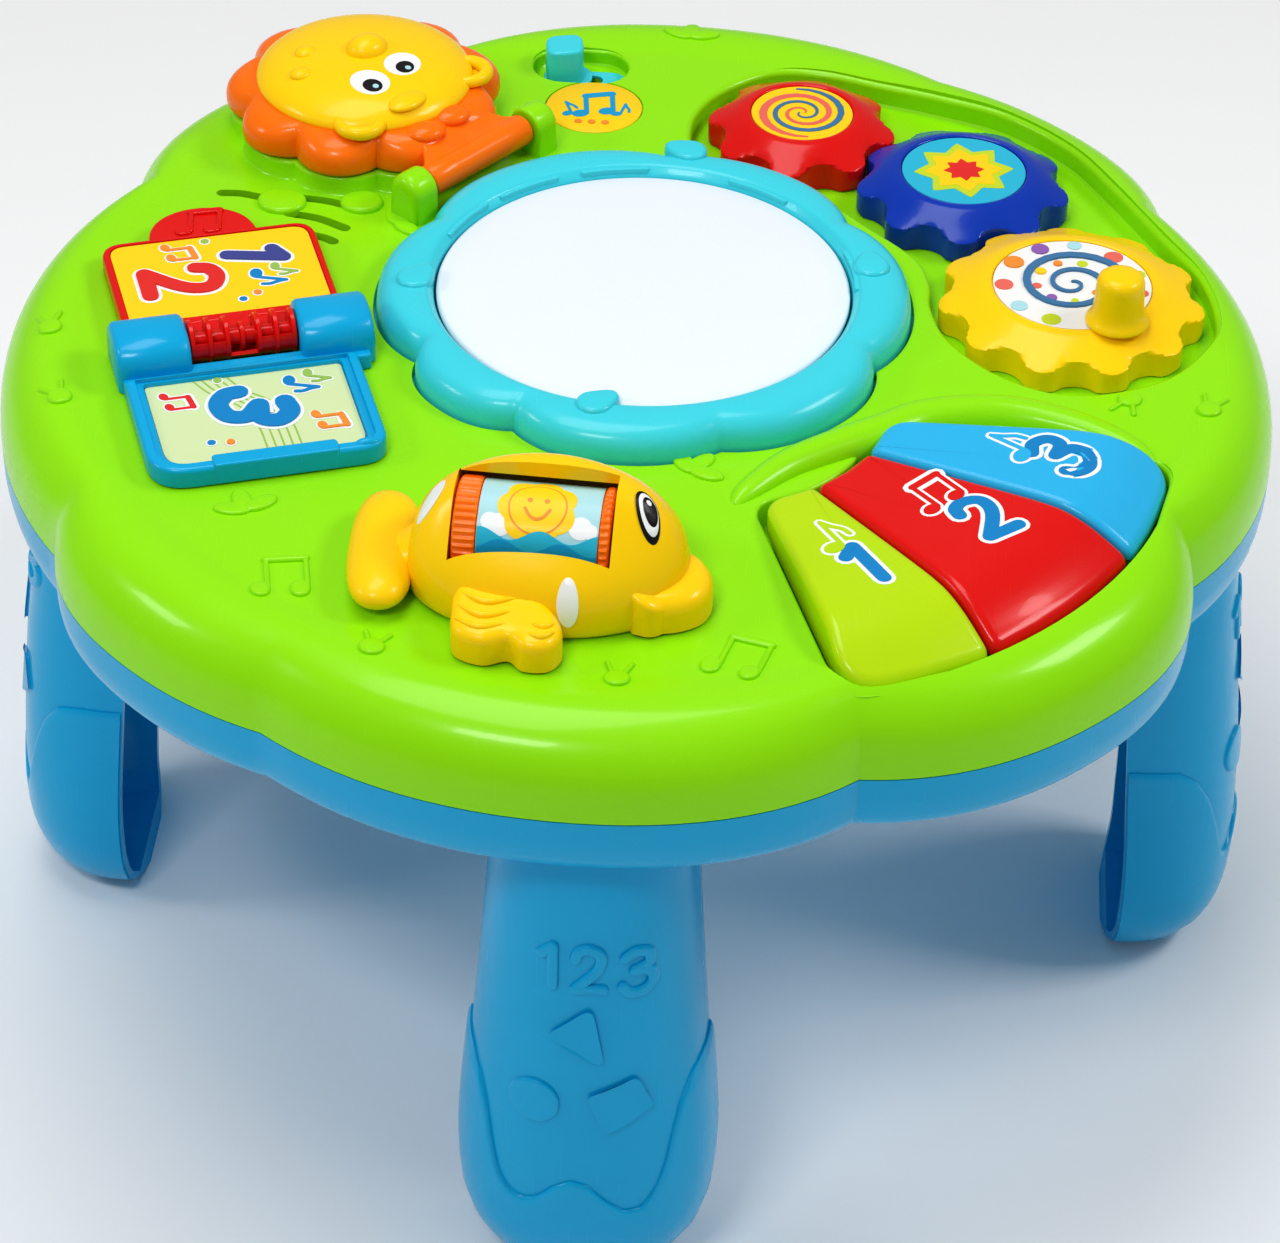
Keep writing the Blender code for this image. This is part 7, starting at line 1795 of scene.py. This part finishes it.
class TABLE_OT_roller(bpy.types.Operator):
    """Orange roller with ribbed ends and a printed band of sun, clouds and waves"""
    bl_idname = "activity_table.roller"
    bl_label = "Roller"

    def execute(self, context):
        ribs = 44
        each = 8

        def wheel(across, radius, wave):
            line = []
            middle = along(FISH_TURN, across, ROLLER[:2])
            for step in range(ribs * each):
                swing = math.tau * step / (ribs * each)
                reach = radius - wave * (0.5 - 0.5 * math.cos(swing * ribs)) ** 0.6
                x, y = along(FISH_TURN - 90, reach * math.cos(swing), middle)
                line.append((x, y, ROLLER[2] + reach * math.sin(swing)))
            return line

        half = ROLLER_HALF
        wide = -half + 0.0052
        narrow = half - 0.0022
        rows = ((-half, 0.0112, 0.0), (-half + 0.0004, 0.0118, 0.0002), (-half + 0.0010, 0.0120, 0.0005),
                (wide - 0.0008, 0.0120, 0.0005), (wide - 0.0003, 0.0119, 0.0003), (wide, 0.0117, 0.0),
                (wide + 0.0001, 0.0110, 0.0), (narrow - 0.0001, 0.0110, 0.0), (narrow, 0.0117, 0.0),
                (narrow + 0.0003, 0.0119, 0.0003), (narrow + 0.0008, 0.0120, 0.0005),
                (half - 0.0010, 0.0120, 0.0005), (half - 0.0004, 0.0118, 0.0002), (half, 0.0112, 0.0))
        finished("roller_moulding", skin([wheel(*row) for row in rows]), "fish_roller", "orange_plastic",
                 "roller", angle=40)
        sleeve = skin([wheel(wide + 0.0003, 0.0115, 0.0), wheel(wide + 0.0003, ROLLER_RADIUS, 0.0),
                       wheel(narrow - 0.0003, ROLLER_RADIUS, 0.0), wheel(narrow - 0.0003, 0.0115, 0.0)])
        finished("roller_sleeve", sleeve, "fish_roller", "ink_pale", "roller_label")

        left = wide + 0.0004
        right = narrow - 0.0004
        around = math.tau * ROLLER_RADIUS
        inks = {"ink_white": [], "ink_yellow": [], "ink_orange": [], "ink_sky": [], "ink_cyan": []}
        for turned in (0.0, around / 2):
            middle = (left + right) / 2
            sun = (middle - 0.0005, turned + 0.0012)
            rays = []
            for step in range(72):
                reach = 0.0078 + 0.0012 * abs(math.sin(math.radians(step * 5 * 3.5)))
                rays.append(along(step * 5, reach, sun))
            inks["ink_yellow"].append(("disc", rays))
            inks["ink_orange"].append(("ring", disc(sun, 0.0066, 48)))
            inks["ink_yellow"].append(("top", disc(sun, 0.0062, 48)))
            for side in (-1, 1):
                eye = (sun[0] + side * 0.0019, sun[1] + 0.0016)
                inks["ink_orange"].append(("face", disc(eye, 0.0006, 16)))
            smile = [(sun[0] + x, sun[1] + y) for x, y in ((-0.0028, -0.0006), (-0.0015, -0.0024),
                                                           (0.0, -0.0030), (0.0015, -0.0024),
                                                           (0.0028, -0.0006))]
            inks["ink_orange"].append(("face", ribbon(smile, 0.0007, 4, 3)))
            for across, below, size in ((left + 0.0026, 0.0030, 0.0020), (left + 0.0050, 0.0036, 0.0026),
                                        (right - 0.0040, 0.0030, 0.0026), (right - 0.0018, 0.0036, 0.0017)):
                inks["ink_white"].append(("cloud", disc((across, turned - below), size)))
            for ink, level in (("ink_cyan", -0.0056), ("ink_sky", -0.0080)):
                crest = []
                for step in range(37):
                    share = step / 36
                    crest.append((left + (right - left) * share,
                                  turned + level + 0.0012 * math.sin(share * math.tau * 2.0 + level * 900)))
                base = turned + level - 0.0040
                inks[ink].append(("wave", [(left, base), (right, base), *reversed(crest)]))
        levels = {"cloud": 0.00008, "disc": 0.00010, "ring": 0.00016, "top": 0.00022, "wave": 0.00028,
                  "face": 0.00030}
        for ink, shapes in inks.items():
            parts = []
            for order, (kind, outline) in enumerate(shapes):
                lift = levels[kind] + (0.00006 if ink == "ink_sky" else 0) + order * 0.000003
                parts.append(wrapped(outline, -INK_ROOT, lift))
            finished("roller_print_" + ink[4:], merged(*parts), "fish_roller", ink, angle=60)
        return {"FINISHED"}


class TABLE_OT_small(bpy.types.Operator):
    """Slider post, its slotted guide, and the round printed disc beside it"""
    bl_idname = "activity_table.small"
    bl_label = "Slider and round disc"

    def execute(self, context):
        square = []
        for step in range(48):
            swing = math.tau * step / 48
            reach = 0.0049 / (abs(math.cos(swing)) ** 3.6 + abs(math.sin(swing)) ** 3.6) ** (1 / 3.6)
            square.append(along(math.degrees(swing) + 8, reach, SLIDER))
        post = crowned(square, 0.1668, lambda x, y: 0.1772 + (x - SLIDER[0]) * 0.06, 0.0010, (0.8, 0.5, 0.2))
        foot = slab(slot((SLIDER[0] + 0.0010, SLIDER[1]), 0.0128, 0.0124, 0, 14), 0.1667, 0.1676, 0.0003)
        stem = rod((*SLIDER, 0.1624), (*SLIDER, 0.1670), 0.0018, 20)
        finished("slider_post", merged(post, foot, stem), "slider", "aqua_plastic", "slider_knob", angle=40)
        guide = slab(slot((SLIDER[0] + 0.0096, SLIDER[1]), 0.0140, 0.0090), 0.1656, 0.1665, 0.0003)
        finished("slider_guide", carved(guide, removed=[slider_travel()]), "table", "aqua_plastic", angle=40)

        low = DECK - 0.0007
        plate = lathe(((0, low), (0.0124, low), (0.0126, low + 0.0002), (0.0125, low + 0.0006),
                       (0.0122, low + 0.0008), (0, low + 0.0008)), ROUND_LABEL, 72)
        finished("round_disc", plate, "table", "ink_yellow", "round_label")

        notes = []
        for kind, across, deep, size, heading in (
                ("pair", 0.0, 0.0012, 0.0105, 6), ("quaver", -0.0068, -0.0012, 0.0062, 20),
                ("quaver", 0.0072, -0.0006, 0.0060, -12)):
            notes += tune(kind, (ROUND_LABEL[0] + across, ROUND_LABEL[1] + deep), size, heading)
        dots = [disc((ROUND_LABEL[0] + x, ROUND_LABEL[1] - 0.0075), 0.0010) for x in (-0.0035, 0.0, 0.0035)]
        printed("round_print_", "table", level_at(low + 0.0008), (("ink_sky", notes), ("ink_orange", dots)))
        return {"FINISHED"}


# Nodes that keep the shape of the frame, by finish
HARDWARE = {
    "steel": ("axle_red", "axle_blue", "axle_yellow", "key_pin_green", "key_pin_red", "key_pin_blue",
              "lion_hinge_pin", "book_pin", "roller_axle", "drum_spring", "case_screw_a", "case_screw_b",
              "case_screw_c", "case_screw_d", "door_screw", "battery_a", "battery_b", "battery_c"),
    "dark_plastic": ("drum_switch", "slide_switch", "speaker", "battery_case"),
    "board": ("circuit_board",),
    "dome_rubber": ("key_dome_green", "key_dome_red", "key_dome_blue"),
    "blue_plastic": ("battery_door",),
    "aqua_plastic": ("drum_plate",),
}


class TABLE_OT_hardware(bpy.types.Operator):
    """Finish of the pins, screws, spring, switches, board and battery parts"""
    bl_idname = "activity_table.hardware"
    bl_label = "Hardware"

    def execute(self, context):
        for slot_name, nodes in HARDWARE.items():
            for node in nodes:
                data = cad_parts[node].data
                data.materials.clear()
                data.materials.append(finish_of(slot_name))
        return {"FINISHED"}


# Soft lamps: name, place, width and power
LAMPS = (
    ("over", (-0.20, 0.10, 1.30), 0.85, 5.2), ("front", (-0.30, -0.75, 1.10), 0.32, 3.0),
    ("right", (0.92, 0.06, 1.03), 0.46, 4.2), ("left", (-1.10, -0.20, 0.80), 0.32, 1.8),
)


# Camera: place, way it looks, roll in degrees, focal length in pixels and width of the photo in pixels
CAMERA_PLACE = (0.0511, -0.8980, 0.7802)
CAMERA_WAY = (-0.0430, 0.7890, -0.6128)
CAMERA_ROLL = 1.473
CAMERA_FOCAL = 4483.3
PHOTO_WIDTH = 1280
SENSOR_WIDTH = 36.0
WORLD_STRENGTH = 0.26
LAMP_AIM = (0, 0, 0.12)


class TABLE_OT_stage(bpy.types.Operator):
    """Pale floor, soft lights and the camera"""
    bl_idname = "activity_table.stage"
    bl_label = "Stage"

    def execute(self, context):
        scene = context.scene
        bm = bmesh.new()
        bmesh.ops.create_grid(bm, x_segments=2, y_segments=2, size=6)
        floor = mesh_object("floor", bm)
        floor.data.materials.append(moulded("floor_finish", (0.96, 0.96, 0.96), 0.8, 0.0, 0.05, 0.01, 0))
        world = bpy.data.worlds.new("studio")
        world.use_nodes = True
        world.node_tree.nodes["Background"].inputs["Color"].default_value = (1.0, 1.0, 1.0, 1.0)
        world.node_tree.nodes["Background"].inputs["Strength"].default_value = WORLD_STRENGTH
        scene.world = world
        for name, spot, size, power in LAMPS:
            light = bpy.data.lights.new(name, "AREA")
            light.shape = "RECTANGLE"
            light.size = size
            light.size_y = size * 0.6
            light.energy = power
            lamp = bpy.data.objects.new(name, light)
            lamp.location = spot
            lamp.rotation_euler = (Vector(LAMP_AIM) - Vector(spot)).to_track_quat("-Z", "Y").to_euler()
            scene.collection.objects.link(lamp)
        scene.view_settings.view_transform = "Standard"
        scene.view_settings.look = "Medium High Contrast"
        camera = bpy.data.cameras.new("camera")
        camera.sensor_fit = "HORIZONTAL"
        camera.sensor_width = SENSOR_WIDTH
        camera.lens = CAMERA_FOCAL / PHOTO_WIDTH * SENSOR_WIDTH
        camera.clip_start = 0.05
        eye = bpy.data.objects.new("camera", camera)
        ahead = Vector(CAMERA_WAY).normalized()
        right = ahead.cross(Vector((0, 0, 1))).normalized()
        above = right.cross(ahead)
        roll = math.radians(CAMERA_ROLL)
        level = right * math.cos(roll) + above * math.sin(roll)
        upward = above * math.cos(roll) - right * math.sin(roll)
        eye.matrix_world = Matrix.Translation(CAMERA_PLACE) @ Matrix(
            (level, upward, -ahead)).transposed().to_4x4()
        scene.collection.objects.link(eye)
        scene.camera = eye
        return {"FINISHED"}


class TABLE_PT_pieces(bpy.types.Panel):
    """Sizes, colours and pieces of the activity table"""
    bl_idname = "TABLE_PT_pieces"
    bl_label = "Activity table"
    bl_space_type = "VIEW_3D"
    bl_region_type = "UI"
    bl_category = "Activity table"

    def draw(self, context):
        for group in (context.scene.table_sizes, context.scene.table_colours):
            for label in group.__annotations__:
                self.layout.prop(group, label)
        for piece in PIECES:
            self.layout.operator(piece.bl_idname)


PIECES = (
    TABLE_OT_stage, TABLE_OT_hardware, TABLE_OT_top_shell, TABLE_OT_relief, TABLE_OT_bottom_shell,
    TABLE_OT_lid_seat, TABLE_OT_legs, TABLE_OT_drum, TABLE_OT_gears, TABLE_OT_keys, TABLE_OT_lid,
    TABLE_OT_book_base, TABLE_OT_book_page, TABLE_OT_fish, TABLE_OT_roller, TABLE_OT_small,
)


def register():
    for group in (TableSizes, TableColours, *PIECES, TABLE_PT_pieces):
        bpy.utils.register_class(group)
    bpy.types.Scene.table_sizes = PointerProperty(type=TableSizes)
    bpy.types.Scene.table_colours = PointerProperty(type=TableColours)


def unregister():
    del bpy.types.Scene.table_colours
    del bpy.types.Scene.table_sizes
    for group in reversed((TableSizes, TableColours, *PIECES, TABLE_PT_pieces)):
        bpy.utils.unregister_class(group)


def main():
    register()
    for piece in PIECES:
        category, name = piece.bl_idname.split(".")
        getattr(getattr(bpy.ops, category), name)()


if __name__ == "__main__":
    main()
